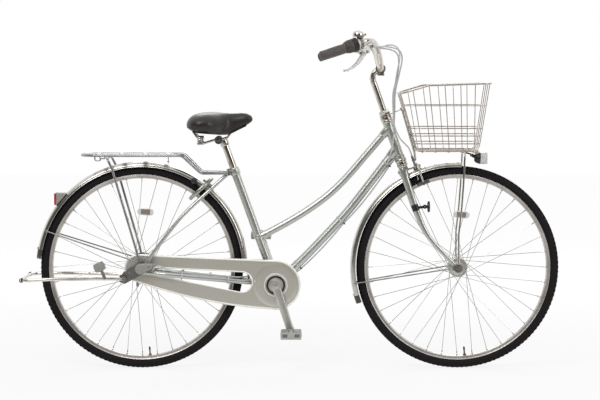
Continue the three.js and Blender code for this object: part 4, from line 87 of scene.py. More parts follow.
# Camera: the photograph is 600 pixels wide, of 3.378 mm in the plane of the wheels
FRAME_WIDTH = 600 * 3.378
CAMERA_DISTANCE = 7000
CAMERA_HEIGHT = 980
AIM = Vector((534, 0, 568.7))


# Places and directions

def at(x, y=0.0, z=0.0):
    return Vector((x, y, z))


def spot(place):
    """A place on the bicycle as a point of the frame, in metres."""
    return Vector((REAR_AXLE + place[0] * MM, place[1] * MM, place[2] * MM))


SEAT_UP = at(-cos(SEAT_ANGLE), 0, sin(SEAT_ANGLE))
STEER_UP = at(-cos(HEAD_ANGLE), 0, sin(HEAD_ANGLE))
STEER_AHEAD = at(sin(HEAD_ANGLE), 0, cos(HEAD_ANGLE))
STEER_FOOT = at(WHEELBASE, 0, AXLE_Z) - STEER_AHEAD * FORK_OFFSET
BRACKET = at(BRACKET_X, 0, BRACKET_Z)
SEAT_TOP = BRACKET + SEAT_UP * SEAT_TUBE
LEFT = at(0, 1, 0)
UP = at(0, 0, 1)


def steer(height, ahead=0.0, side=0.0):
    """A place by its height up the steering axis, its distance ahead of it and its side."""
    place = STEER_FOOT + STEER_UP * height + STEER_AHEAD * ahead
    return at(place.x, side, place.z)


def polar(x, z, radius, degrees, y=0.0):
    angle = radians(degrees)
    return at(x + radius * cos(angle), y, z + radius * sin(angle))


def mix(a, b, share):
    return a + (b - a) * share


def smooth_path(points, steps=8):
    """Points along a centripetal curve through the given points."""
    points = [Vector(p) for p in points]
    count = len(points)
    path = []
    for i in range(count - 1):
        p1, p2 = points[i], points[i + 1]
        p0 = points[i - 1] if i else p1 * 2 - p2
        p3 = points[i + 2] if i + 2 < count else p2 * 2 - p1
        t1 = max((p1 - p0).length, 1e-6) ** 0.5
        t2 = t1 + max((p2 - p1).length, 1e-6) ** 0.5
        t3 = t2 + max((p3 - p2).length, 1e-6) ** 0.5
        for k in range(steps):
            t = t1 + (t2 - t1) * k / steps
            a1 = p0 * ((t1 - t) / t1) + p1 * (t / t1)
            a2 = p1 * ((t2 - t) / (t2 - t1)) + p2 * ((t - t1) / (t2 - t1))
            a3 = p2 * ((t3 - t) / (t3 - t2)) + p3 * ((t - t2) / (t3 - t2))
            b1 = a1 * ((t2 - t) / t2) + a2 * (t / t2)
            b2 = a2 * ((t3 - t) / (t3 - t1)) + a3 * ((t - t1) / (t3 - t1))
            path.append(b1 * ((t2 - t) / (t2 - t1)) + b2 * ((t - t1) / (t2 - t1)))
    return path + [points[-1]]


def rounded(points, radius, steps=5, closed=False):
    """A path of straight runs whose corners are arcs of about the given radius."""
    points = [Vector(p) for p in points]
    count = len(points)
    path = []
    for i, corner in enumerate(points):
        if not closed and i in (0, count - 1):
            path.append(corner)
            continue
        back, ahead = points[i - 1] - corner, points[(i + 1) % count] - corner
        turn = back.angle(ahead)
        reach = min(radius / max(tan(turn / 2), 0.05), back.length * 0.48, ahead.length * 0.48)
        start, end = corner + back.normalized() * reach, corner + ahead.normalized() * reach
        for k in range(steps + 1):
            t = k / steps
            path.append(start * (1 - t) ** 2 + corner * 2 * t * (1 - t) + end * t ** 2)
    return path


def opposite(path):
    """The same path on the other side of the bicycle, run the other way."""
    return [at(p.x, -p.y, p.z) for p in reversed(path)]


def round_row(place, across, other, radius, steps):
    """Points round a circle in the plane of two directions."""
    angles = [2 * pi * k / steps for k in range(steps)]
    return [place + across * (radius * cos(a)) + other * (radius * sin(a)) for a in angles]


def oval(place, across, upward, wide, tall, corners=16, power=2.0):
    """Points round an ellipse, or round a rounded box for a power over two."""
    row = []
    for k in range(corners):
        angle = 2 * pi * k / corners
        cx, cz = cos(angle), sin(angle)
        reach = (abs(cx) ** power + abs(cz) ** power) ** (-1 / power)
        row.append(place + across * (wide * reach * cx) + upward * (tall * reach * cz))
    return row


def pitched(degrees):
    """A turn about the axis across the bicycle."""
    return Matrix.Rotation(radians(degrees), 3, "Y")


def solid(radius, start, end):
    """Profile of a plain bar, for turned()."""
    return [(0, start), (radius, start), (radius, end), (0, end)]


def hollow(inner, outer, start, end):
    """Profile of a plain sleeve, for turned() with closed."""
    return [(inner, start), (outer, start), (outer, end), (inner, end)]


def balanced(half):
    """A profile that is the same on both sides of the middle, from its first half."""
    return half + [(radius, -distance) for radius, distance in reversed(half)]


def sided(profile, side):
    """A profile whose distances are measured out to one side."""
    return [(radius, side * distance) for radius, distance in profile]


# Meshes, as a list of points and a list of faces

def tube(path, radius, sides=12, closed=False, radii=None):
    """Round bar along a path. radii gives a radius for each point."""
    path = [Vector(p) for p in path]
    rings = []
    across = None
    for i, place in enumerate(path):
        before = path[i - 1] if closed or i else place
        after = path[(i + 1) % len(path)] if closed or i + 1 < len(path) else place
        ahead = (after - before).normalized()
        if across is None:
            across = UP if abs(ahead.z) < 0.9 else LEFT
        across = (across - ahead * across.dot(ahead)).normalized()
        rings.append(round_row(place, across, ahead.cross(across), radii[i] if radii else radius, sides))
    return lofted(rings, closed)


def rod(start, end, radius, sides=16):
    return tube([start, end], radius, sides)


def turned(profile, start, axis, steps=32, closed=False):
    """Turned piece: each point of the profile is a radius and a distance along the axis from start."""
    axis = Vector(axis).normalized()
    hint = UP if abs(axis.z) < 0.9 else at(1)
    across = axis.cross(hint).normalized()
    other = axis.cross(across)
    spots, rings, faces = [], [], []
    for radius, distance in profile:
        if radius < 1e-6:
            rings.append([len(spots)] * steps)
            spots.append(start + axis * distance)
        else:
            rings.append(list(range(len(spots), len(spots) + steps)))
            spots += round_row(start + axis * distance, across, other, radius, steps)
    for low, high in zip(rings, rings[1:] + rings[:1] if closed else rings[1:]):
        for k in range(steps):
            m = (k + 1) % steps
            face = tuple(dict.fromkeys((low[k], low[m], high[m], high[k])))
            if len(face) > 2:
                faces.append(face)
    return spots, faces


def cross_turned(profile, x, z, steps=32, closed=False):
    """Turned piece on an axis across the bicycle: each point is a radius and a side value."""
    return turned(profile, at(x, 0, z), LEFT, steps, closed)


def on_bracket(profile, steps=32, closed=True):
    """Turned piece on the axis of the bottom bracket."""
    return cross_turned(profile, BRACKET_X, BRACKET_Z, steps, closed)


def slab(outline, y_from, y_to, holes=()):
    """Flat plate with its outline, pairs of x and z, in the side view."""
    loops = [[at(x, y_from, z) for x, z in loop] for loop in (outline, *holes)]
    return prism(loops[0], at(0, y_to - y_from, 0), loops[1:])


def prism(outline, depth, holes=()):
    """Flat plate from an outline in any plane, pushed along depth, with holes."""
    work = bmesh.new()
    edges = []
    for loop in (outline, *holes):
        corners = [work.verts.new(p) for p in loop]
        edges += [work.edges.new(pair) for pair in zip(corners, corners[1:] + corners[:1])]
    if holes:
        bmesh.ops.triangle_fill(work, edges=edges, use_beauty=True, use_dissolve=True)
    else:
        work.faces.new(work.verts[:])
    pushed = bmesh.ops.extrude_face_region(work, geom=work.faces[:])
    moved = [item for item in pushed["geom"] if isinstance(item, bmesh.types.BMVert)]
    bmesh.ops.translate(work, verts=moved, vec=depth)
    bmesh.ops.recalc_face_normals(work, faces=work.faces[:])
    return taken(work)


def taken(work):
    """The points and faces of a work mesh, which is freed."""
    work.verts.ensure_lookup_table()
    for i, corner in enumerate(work.verts):
        corner.index = i
    spots = [v.co.copy() for v in work.verts]
    faces = [tuple(v.index for v in face.verts) for face in work.faces]
    work.free()
    return spots, faces


def placed(shape, origin, turn=None):
    """A shape turned about the plain origin, then moved to a place."""
    turn = turn or Matrix.Identity(3)
    return [origin + turn @ p for p in shape[0]], shape[1]


def block(centre, size, turn=None, soften=0.0):
    """Box with softened edges, turned by a rotation about its centre."""
    work = bmesh.new()
    bmesh.ops.create_cube(work, size=1)
    bmesh.ops.scale(work, vec=size, verts=work.verts)
    if soften:
        bmesh.ops.bevel(work, geom=work.edges[:], offset=soften, segments=2, profile=0.6, affect="EDGES")
    return placed(taken(work), centre, turn)


def ball(centre, radius, rows=10, stretch=1.0):
    """Ball, stretched along the bicycle."""
    work = bmesh.new()
    bmesh.ops.create_uvsphere(work, u_segments=rows * 2, v_segments=rows, radius=radius)
    spots, faces = taken(work)
    return [centre + at(p.x * stretch, p.y, p.z) for p in spots], faces


def ring(place, axis, radius, wire, steps=28, sides=8):
    """Round wire bent into a ring."""
    axis = Vector(axis).normalized()
    across = axis.orthogonal().normalized()
    return tube(round_row(place, across, axis.cross(across), radius, steps), wire, sides, closed=True)


def lofted(rings, closed=False):
    """Skin over rings of equally many points, with flat ends."""
    count = len(rings[0])
    spots = [p for r in rings for p in r]
    faces = []
    spans = len(rings) if closed else len(rings) - 1
    for i in range(spans):
        here, there = i * count, (i + 1) % len(rings) * count
        for k in range(count):
            m = (k + 1) % count
            faces.append((here + k, here + m, there + m, there + k))
    if not closed:
        faces.append(tuple(reversed(range(count))))
        faces.append(tuple(range((len(rings) - 1) * count, len(rings) * count)))
    return spots, faces


def mirrored(shape):
    """The same shape on the other side of the bicycle."""
    spots, faces = shape
    return [at(p.x, -p.y, p.z) for p in spots], [tuple(reversed(f)) for f in faces]


def both_sides(shape):
    return [shape, mirrored(shape)]


def posed(shape, origin, forward, upward):
    """A shape drawn in a plain frame, put where forward and upward point that way."""
    return placed(shape, origin, Matrix((forward, upward.cross(forward), upward)).transposed())


def hexagon(centre, axis, width, height, start=0.0):
    """Hexagonal nut or bolt head with its corners turned down."""
    radius = width / 2 / cos(pi / 6)
    return turned([(0, start), (radius * 0.94, start), (radius, start + height * 0.12),
        (radius, start + height * 0.86), (radius * 0.9, start + height), (0, start + height)], centre, axis,
        6)


def domed(centre, axis, radius, height):
    """Round head of a rivet, screw or cap nut."""
    return turned([(radius, 0), (radius * 0.97, height * 0.35), (radius * 0.72, height * 0.82),
        (radius * 0.3, height), (0, height)], centre, axis, 16)


# Pieces: objects at the origin whose place is in their mesh

def mesh_object(name, shapes, materials):
    """Object from (shape, material number) pairs."""
    spots, faces, numbers = [], [], []
    for (points, polygons), number in shapes:
        base = len(spots)
        spots += [spot(p) for p in points]
        faces += [tuple(base + i for i in polygon) for polygon in polygons]
        numbers += [number] * len(polygons)
    mesh = bpy.data.meshes.new(name)
    mesh.from_pydata(spots, [], faces)
    mesh.polygons.foreach_set("material_index", numbers)
    for item in materials:
        mesh.materials.append(item)
    work = bmesh.new()
    work.from_mesh(mesh)
    bmesh.ops.recalc_face_normals(work, faces=work.faces[:])
    work.to_mesh(mesh)
    work.free()
    piece = bpy.data.objects.new(name, mesh)
    SCENE.collection.objects.link(piece)
    return piece


def flattened(parts):
    """Shapes and lists of shapes as one list."""
    found = []
    for part in parts:
        if isinstance(part, list):
            found += flattened(part)
        else:
            found.append(part)
    return found


def make(name, body, groups, stands_for=None, crease=38, bevel=0.0):
    """One piece: groups are (material, shapes) pairs. It rides on body and replaces the node of its own
    name, unless stands_for lists others or none.
    """
    materials = [material for material, _ in groups]
    shapes = [(shape, number) for number, (_, parts) in enumerate(groups) for shape in flattened(parts)]
    piece = mesh_object(name, shapes, materials)
    if bevel:
        softened(piece, bevel * MM)
    finish_mesh(piece, crease)
    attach(piece, body)
    if stands_for is None:
        stands_for = [name]
    if stands_for:
        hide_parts(*stands_for)


def softened(piece, width):
    """Narrow bevels on the sharp edges, applied to the mesh."""
    edges = piece.modifiers.new("Edges", "BEVEL")
    edges.width = width
    edges.segments = 2
    edges.limit_method = "ANGLE"
    edges.angle_limit = radians(40)
    apply_modifiers(piece)


def apply_modifiers(piece):
    """Turns the evaluated shape into the piece's own plain mesh."""
    bpy.context.view_layer.update()
    graph = bpy.context.evaluated_depsgraph_get()
    mesh = bpy.data.meshes.new_from_object(piece.evaluated_get(graph))
    piece.modifiers.clear()
    piece.data = mesh


def finish_mesh(piece, crease):
    piece.data.shade_smooth()
    piece.data.set_sharp_from_angle(angle=radians(crease))


# Finishes

def screen_colour(levels):
    """A colour seen on screen, red, green and blue of 0 to 255, as the shader wants it."""
    values = [level / 255 for level in levels]
    return (*[c / 12.92 if c <= 0.04045 else ((c + 0.055) / 1.055) ** 2.4 for c in values], 1)


def new_group(name, inputs, outputs):
    """Shader node group whose sockets are given as (name, kind, value)."""
    group = bpy.data.node_groups.new(name, "ShaderNodeTree")
    for label, kind, value in inputs:
        socket = group.interface.new_socket(label, in_out="INPUT", socket_type=kind)
        if value is not None:
            socket.default_value = value
    for label, kind in outputs:
        group.interface.new_socket(label, in_out="OUTPUT", socket_type=kind)
    return group, group.nodes.new("NodeGroupInput"), group.nodes.new("NodeGroupOutput")


def add_node(tree, kind, links=(), **settings):
    """Node with its settings; links are (socket, source socket or value) pairs."""
    node = tree.nodes.new(kind)
    for key, value in settings.items():
        setattr(node, key, value)
    for socket, source in links:
        if isinstance(source, bpy.types.NodeSocket):
            tree.links.new(source, node.inputs[socket])
        else:
            node.inputs[socket].default_value = source
    return node


def math_node(tree, operation, first, second):
    return add_node(tree, "ShaderNodeMath", [(0, first), (1, second)], operation=operation)


def wear_group():
    """Patches of handling and dust, from large clouds and small specks."""
    group, source, result = new_group("Wear", [("Size", "NodeSocketFloat", 9.0),
        ("Amount", "NodeSocketFloat", 0.5)],
        [("Patches", "NodeSocketFloat"), ("Specks", "NodeSocketFloat")])
    place = add_node(group, "ShaderNodeTexCoord").outputs["Object"]
    cloud = add_node(group, "ShaderNodeTexNoise", [("Vector", place), ("Scale", source.outputs["Size"]),
        ("Detail", 5.0), ("Roughness", 0.6)])
    fine = math_node(group, "MULTIPLY", source.outputs["Size"], 28.0)
    speck = add_node(group, "ShaderNodeTexNoise", [("Vector", place), ("Scale", fine.outputs[0]),
        ("Detail", 2.0)])
    for noise, label, low, high in ((cloud, "Patches", 0.42, 0.68), (speck, "Specks", 0.6, 0.78)):
        spread = add_node(group, "ShaderNodeMapRange", [("Value", noise.outputs["Fac"]), ("From Min", low),
            ("From Max", high)])
        scaled = math_node(group, "MULTIPLY", spread.outputs[0], source.outputs["Amount"])
        group.links.new(scaled.outputs[0], result.inputs[label])
    return group


def flake_group():
    """Tiny bright and dark cells of a metallic paint."""
    group, source, result = new_group("Flake", [("Scale", "NodeSocketFloat", 2600.0),
        ("Depth", "NodeSocketFloat", 0.2)], [("Shade", "NodeSocketFloat")])
    place = add_node(group, "ShaderNodeTexCoord").outputs["Object"]
    cells = add_node(group, "ShaderNodeTexVoronoi", [("Vector", place), ("Scale", source.outputs["Scale"])])
    plain = add_node(group, "ShaderNodeSeparateColor", [("Color", cells.outputs["Color"])])
    low = math_node(group, "SUBTRACT", 1.0, source.outputs["Depth"])
    shade = add_node(group, "ShaderNodeMapRange",
        [("Value", plain.outputs["Red"]), ("To Min", low.outputs[0]), ("To Max", 1.0)])
    group.links.new(shade.outputs[0], result.inputs["Shade"])
    return group


def brushed_group():
    """Fine lines left by drawing or polishing, along the axis whose stretch is smallest."""
    group, source, result = new_group("Brushed", [("Stretch", "NodeSocketVector", (300.0, 300.0, 8.0))],
        [("Lines", "NodeSocketFloat")])
    place = add_node(group, "ShaderNodeTexCoord").outputs["Object"]
    stretch = add_node(group, "ShaderNodeVectorMath", [(0, place), (1, source.outputs["Stretch"])],
        operation="MULTIPLY")
    lines = add_node(group, "ShaderNodeTexNoise", [("Vector", stretch.outputs[0]), ("Scale", 3.0),
        ("Detail", 3.0)])
    group.links.new(lines.outputs["Fac"], result.inputs["Lines"])
    return group


def grain_group():
    """Pebbled surface of moulded plastic, vinyl or rubber."""
    group, source, result = new_group("Grain", [("Scale", "NodeSocketFloat", 900.0),
        ("Mix", "NodeSocketFloat", 0.5)], [("Height", "NodeSocketFloat"), ("Shade", "NodeSocketFloat")])
    place = add_node(group, "ShaderNodeTexCoord").outputs["Object"]
    cells = add_node(group, "ShaderNodeTexVoronoi", [("Vector", place), ("Scale", source.outputs["Scale"])],
        feature="SMOOTH_F1")
    cloud = add_node(group, "ShaderNodeTexNoise", [("Vector", place), ("Scale", source.outputs["Scale"]),
        ("Detail", 3.0)])
    blend = add_node(group, "ShaderNodeMix", [(0, source.outputs["Mix"]), (2, cells.outputs["Distance"]),
        (3, cloud.outputs["Fac"])])
    shade = add_node(group, "ShaderNodeMapRange", [("Value", blend.outputs[0]), ("From Min", 0.2),
        ("From Max", 0.7), ("To Min", 0.82), ("To Max", 1.0)])
    group.links.new(blend.outputs[0], result.inputs["Height"])
    group.links.new(shade.outputs[0], result.inputs["Shade"])
    return group


WEAR = wear_group()
FLAKE = flake_group()
BRUSHED = brushed_group()
GRAIN = grain_group()


def new_material(name, metallic, roughness, **sockets):
    material = bpy.data.materials.new(name)
    material.use_nodes = True
    tree = material.node_tree
    shader = tree.nodes["Principled BSDF"]
    shader.inputs["Metallic"].default_value = metallic
    shader.inputs["Roughness"].default_value = roughness
    for label, value in sockets.items():
        shader.inputs[label.replace("_", " ")].default_value = value
    return material, tree, shader


def placed_group(tree, group, **inputs):
    node = tree.nodes.new("ShaderNodeGroup")
    node.node_tree = group
    for label, value in inputs.items():
        node.inputs[label].default_value = value
    return node


def ranged(tree, source, low, high):
    return add_node(tree, "ShaderNodeMapRange", [("Value", source), ("To Min", low),
        ("To Max", high)]).outputs[0]


def colour_between(tree, share, first, second):
    """Blend of two colours, each a value or a socket."""
    return add_node(tree, "ShaderNodeMix", [(0, share), (6, first), (7, second)],
        data_type="RGBA").outputs[2]


def bumped(tree, shader, height, strength, distance):
    bump = add_node(tree, "ShaderNodeBump", [("Height", height), ("Strength", strength),
        ("Distance", distance)])
    tree.links.new(bump.outputs["Normal"], shader.inputs["Normal"])


def metallic_paint(name, light, dark, roughness, amount=0.5, metallic=0.93):
    """Silver lacquer: flakes under a clear coat, duller where it is handled or dusty."""
    light, dark = screen_colour(light), screen_colour(dark)
    material, tree, shader = new_material(name, metallic, roughness, Coat_Weight=0.5, Coat_Roughness=0.05)
    flake = placed_group(tree, FLAKE, Scale=1200.0, Depth=0.3)
    wear = placed_group(tree, WEAR, Size=7.0, Amount=amount)
    base = colour_between(tree, flake.outputs["Shade"], dark, light)
    tree.links.new(colour_between(tree, wear.outputs["Specks"], base, dark), shader.inputs["Base Color"])
    tree.links.new(ranged(tree, wear.outputs["Patches"], roughness, roughness + 0.12),
        shader.inputs["Roughness"])
    return material


def polished_metal(name, light, dark, roughness, stretch, spread=0.1, depth=0.05, metallic=1.0):
    """Bare or plated metal with fine lines and faint tarnish."""
    light, dark = screen_colour(light), screen_colour(dark)
    material, tree, shader = new_material(name, metallic, roughness)
    lines = placed_group(tree, BRUSHED, Stretch=(stretch, stretch, stretch)).outputs["Lines"]
    wear = placed_group(tree, WEAR, Size=14.0, Amount=0.8)
    tree.links.new(colour_between(tree, wear.outputs["Patches"], light, dark), shader.inputs["Base Color"])
    tree.links.new(ranged(tree, lines, roughness, roughness + spread), shader.inputs["Roughness"])
    if depth:
        bumped(tree, shader, lines, depth, 0.0003)
    return material


def moulded(name, light, dark, roughness, scale=900.0, depth=0.25, mix_share=0.5, amount=0.4, **sockets):
    """Moulded plastic, vinyl or rubber with a pebbled face."""
    light, dark = screen_colour(light), screen_colour(dark)
    material, tree, shader = new_material(name, 0.0, roughness, **sockets)
    grain = placed_group(tree, GRAIN, Scale=scale, Mix=mix_share)
    patches = placed_group(tree, WEAR, Size=11.0, Amount=amount).outputs["Patches"]
    base = colour_between(tree, grain.outputs["Shade"], dark, light)
    tree.links.new(colour_between(tree, patches, base, light), shader.inputs["Base Color"])
    tree.links.new(ranged(tree, patches, roughness, min(roughness + 0.15, 1)), shader.inputs["Roughness"])
    bumped(tree, shader, grain.outputs["Height"], depth, 0.0004)
    return material


def lens_plastic(name, light, dark, cell, roughness=0.12, alpha=1.0):
    """Reflector plastic with its moulded prisms."""
    material, tree, shader = new_material(name, 0.0, roughness, Coat_Weight=0.6, Alpha=alpha)
    place = add_node(tree, "ShaderNodeTexCoord").outputs["Object"]
    prisms = add_node(tree, "ShaderNodeTexVoronoi", [("Vector", place), ("Scale", cell),
        ("Randomness", 0.15)], distance="CHEBYCHEV")
    prisms = prisms.outputs["Distance"]
    base = colour_between(tree, prisms, screen_colour(light), screen_colour(dark))
    tree.links.new(base, shader.inputs["Base Color"])
    bumped(tree, shader, prisms, 0.5, 0.001)
    return material


PAINT = metallic_paint("frame_silver", (200, 203, 198), (168, 172, 167), 0.33)
CASE_PAINT = metallic_paint("case_silver", (210, 207, 197), (186, 183, 173), 0.36, 0.35, 0.72)
# Case edge finish: its paler colour is painted highlight; its lower roughness is the edges' real gloss.
CASE_EDGE_HIGHLIGHT = polished_metal("case_edge", (244, 242, 236), (232, 230, 223), 0.28, 40.0, 0.05, 0.0, 0.25)
CHROME = polished_metal("plated_chrome", (226, 223, 216), (176, 168, 158), 0.11, 60.0, 0.04, 0.0)
STAINLESS = polished_metal("stainless", (208, 206, 201), (176, 172, 165), 0.19, 40.0, 0.06, 0.0)
WIRE_STEEL = polished_metal("basket_wire", (196, 187, 178), (146, 132, 120), 0.2, 40.0, 0.06, 0.0)
ZINC = polished_metal("zinc_plate", (150, 150, 148), (104, 102, 98), 0.34, 200.0)
DARK_STEEL = polished_metal("leg_steel", (172, 174, 174), (130, 132, 132), 0.2, 40.0, 0.06, 0.0)
ALLOY = polished_metal("rim_alloy", (205, 201, 196), (172, 167, 161), 0.28, 30.0, 0.12, 0.0, 0.85)
FORGED = polished_metal("forged_alloy", (208, 206, 200), (176, 173, 166), 0.34, 60.0, 0.08, 0.0, 0.8)
SATIN = polished_metal("satin_alloy", (216, 214, 208), (192, 189, 183), 0.32, 60.0, 0.06, 0.0, 0.4)
SPOKE = polished_metal("spoke_steel", (196, 196, 194), (140, 140, 138), 0.25, 90.0, 0.06, 0.0)
BRASS = polished_metal("valve_brass", (150, 122, 88), (110, 88, 62), 0.3, 200.0)
TYRE_BLACK = moulded("tyre_rubber", (28, 25, 26), (14, 13, 15), 0.7, 700.0, 0.1, Specular_IOR_Level=0.12)
BLACK_RUBBER = moulded("black_rubber", (36, 34, 34), (20, 19, 20), 0.7, 1200.0, 0.1,
    Specular_IOR_Level=0.15)
GRIP_GREY = moulded("grip_plastic", (78, 72, 68), (50, 45, 42), 0.4, 1100.0, 0.06)
SHIFTER_GREY = moulded("shifter_plastic", (66, 60, 54), (42, 37, 33), 0.42, 1000.0, 0.06)
TREAD_GREY = moulded("tread_rubber", (104, 102, 97), (84, 82, 78), 0.6, 900.0, 0.15)
COVER_GREY = moulded("cover_plastic", (140, 140, 134), (118, 118, 113), 0.42, 1300.0, 0.15)
LAMP_GREY = moulded("lamp_plastic", (158, 157, 150), (132, 131, 126), 0.34, 1300.0, 0.12)
LOCK_GREY = polished_metal("lock_steel", (182, 184, 176), (140, 141, 134), 0.3, 40.0, 0.1, 0.006)
BLACK_PLASTIC = moulded("black_plastic", (30, 29, 30), (16, 15, 16), 0.34, 1300.0, 0.1)
PEDAL_GREY = moulded("pedal_resin", (166, 166, 162), (136, 136, 132), 0.45, 900.0, 0.25)
VINYL = moulded("saddle_vinyl", (40, 35, 33), (24, 21, 20), 0.34, 1500.0, 0.08, 0.35, 0.3)
THREAD = moulded("saddle_thread", (34, 31, 30), (20, 18, 18), 0.75, 3000.0, 0.6)
BELL_RESIN = moulded("bell_resin", (178, 173, 140), (150, 145, 116), 0.42, 1200.0, 0.15)
SMOKED = lens_plastic("smoked_reflector", (150, 136, 128), (86, 74, 70), 420.0, 0.1)
CABLE = moulded("cable_housing", (184, 186, 185), (160, 162, 161), 0.36, 1600.0, 0.1)
FLAP = moulded("flap_vinyl", (60, 58, 57), (40, 38, 38), 0.5, 900.0, 0.25)
CLEAR = lens_plastic("clear_reflector", (232, 232, 230), (168, 168, 166), 420.0, 0.1)
LAMP_CLEAR = lens_plastic("lamp_clear", (232, 232, 228), (196, 196, 192), 260.0, 0.08, 0.72)
RED = lens_plastic("red_reflector", (196, 44, 36), (120, 14, 14), 300.0)
AMBER = lens_plastic("amber_reflector", (226, 148, 44), (168, 92, 20), 380.0)


# Copies made by rule

def copies_tree(name, inputs):
    """Geometry nodes tree with its named sockets, and the outputs of its start node."""
    tree = bpy.data.node_groups.new(name, "GeometryNodeTree")
    for label, kind in (("Geometry", "NodeSocketGeometry"), *inputs, ("Finish", "NodeSocketMaterial")):
        tree.interface.new_socket(label, in_out="INPUT", socket_type=kind)
    tree.interface.new_socket("Geometry", in_out="OUTPUT", socket_type="NodeSocketGeometry")
    return tree, tree.nodes.new("NodeGroupInput").outputs


def made_copies(tree, points, shape, rotation, finish):
    """Ends a tree: the shape on each of the points, made real, in its finish."""
    copies = add_node(tree, "GeometryNodeInstanceOnPoints", [("Points", points), ("Instance", shape),
        ("Rotation", rotation)])
    real = add_node(tree, "GeometryNodeRealizeInstances", [("Geometry", copies.outputs[0])])
    coloured = add_node(tree, "GeometryNodeSetMaterial",
        [("Geometry", real.outputs[0]), ("Material", finish)])
    add_node(tree, "NodeGroupOutput", [(0, coloured.outputs[0])])
    return tree


def turned_copies_tree():
    """Copies of a shape turned about an axis across the bicycle through a hub."""
    tree, source = copies_tree("Turned copies",
        [("Copies", "NodeSocketInt"), ("Step angle", "NodeSocketFloat"), ("Hub", "NodeSocketVector")])
    away = add_node(tree, "ShaderNodeVectorMath", [(0, source["Hub"]), ("Scale", -1.0)], operation="SCALE")
    centred = add_node(tree, "GeometryNodeTransform", [("Geometry", source["Geometry"]),
        ("Translation", away.outputs[0])])
    line = add_node(tree, "GeometryNodeMeshLine",
        [("Count", source["Copies"]), ("Start Location", source["Hub"]), ("Offset", (0.0, 0.0, 0.0))])
    number = add_node(tree, "GeometryNodeInputIndex")
    angle = math_node(tree, "MULTIPLY", number.outputs[0], source["Step angle"])
    turn = add_node(tree, "ShaderNodeCombineXYZ", [("Y", angle.outputs[0])])
    return made_copies(tree, line.outputs["Mesh"], centred.outputs[0], turn.outputs[0], source["Finish"])


def path_copies_tree():
    """Copies of a short stitch along a path, each turned to follow it."""
    tree, source = copies_tree("Path copies", [("Copies", "NodeSocketInt"), ("Length", "NodeSocketFloat"),
        ("Thickness", "NodeSocketFloat")])
    curve = add_node(tree, "GeometryNodeMeshToCurve", [("Mesh", source["Geometry"])])
    points = add_node(tree, "GeometryNodeCurveToPoints",
        [("Curve", curve.outputs[0]), ("Count", source["Copies"])])
    stitch = add_node(tree, "GeometryNodeMeshIcoSphere", [("Radius", 0.5), ("Subdivisions", 1)])
    size = add_node(tree, "ShaderNodeCombineXYZ", [("X", source["Thickness"]), ("Y", source["Thickness"]),
        ("Z", source["Length"])])
    shaped = add_node(tree, "GeometryNodeTransform", [("Geometry", stitch.outputs["Mesh"]),
        ("Scale", size.outputs[0])])
    return made_copies(tree, points.outputs["Points"], shaped.outputs[0], points.outputs["Rotation"],
        source["Finish"])


TURNED_COPIES = turned_copies_tree()
PATH_COPIES = path_copies_tree()


def baked_copies(piece, tree, crease, **values):
    """Runs a tree on a piece, its inputs set by the identifiers of their sockets, and keeps the mesh."""
    modifier = piece.modifiers.new("Copies", "NODES")
    modifier.node_group = tree
    for item in tree.interface.items_tree:
        key = item.name.replace(" ", "_").lower()
        if item.in_out == "INPUT" and key in values:
            modifier[item.identifier] = values[key]
    apply_modifiers(piece)
    finish_mesh(piece, crease)


def repeated(name, body, finish, shapes, copies, hub_x):
    """A piece made of copies of its shapes, turned about the hub at hub_x."""
    piece = mesh_object(name, [(shape, 0) for shape in flattened(shapes)], [finish])
    baked_copies(piece, TURNED_COPIES, 38, copies=copies, step_angle=2 * pi / copies,
        hub=spot((hub_x, 0, AXLE_Z)), finish=finish)
    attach(piece, body)


def stitched(name, body, finish, path, copies, length, thickness):
    """A row of stitches along a path."""
    mesh = bpy.data.meshes.new(name)
    mesh.from_pydata([spot(p) for p in path], [(i, i + 1) for i in range(len(path) - 1)], [])
    piece = bpy.data.objects.new(name, mesh)
    SCENE.collection.objects.link(piece)
    baked_copies(piece, PATH_COPIES, 60, copies=copies, length=length * MM, thickness=thickness * MM,
        finish=finish)
    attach(piece, body)


# Wheels

RIM_OUTER = 313.5
RIM_INNER = 300
SPOKE_STEP = 20


def tyre(x):
    """Open rubber channel with its rounded tread, shoulder grooves and beads."""
    outer = []
    crown, seat = TYRE_RADIUS, RIM_OUTER + 0.6
    for degrees in range(-112, 113, 8):
        angle = radians(degrees)
        depth = 1.25 * cos(angle * 0.8) ** 2
        groove = 0.9 if any(abs(abs(degrees) - middle) < 5 for middle in (12, 36)) else 0
        outer.append((crown - 17.6 + (15.4 + depth - groove) * cos(angle), 18 * sin(angle)))
    rise = (crown - 0.1) - max(r for r, _ in outer)
    outer = [(r + rise, y) for r, y in outer]
    inner = [(seat, 11.4), (seat, 9.2), (crown - 9, 9.5), (crown - 7.5, 0), (crown - 9, -9.5), (seat, -9.2),
        (seat, -11.4)]
    return cross_turned(outer + inner, x, AXLE_Z, 144, closed=True)


def tread_block(x):
    """One raised rib on each row of the shoulders, to be copied round the tyre."""
    pieces = []
    for side in (1, -1):
        for degrees, length, lean in ((26, 7.5, 22), (49, 5.5, -14)):
            angle = radians(degrees)
            reach = TYRE_RADIUS - 18 + 17.3 * cos(angle)
            place = at(x + reach, side * 17.6 * sin(angle), AXLE_Z)
            turn = Matrix.Rotation(-side * angle, 3, "Z") @ Matrix.Rotation(radians(lean), 3, "X")
            pieces.append(block(place, (1.3, 5.6, length), turn, 0.35))
    return pieces


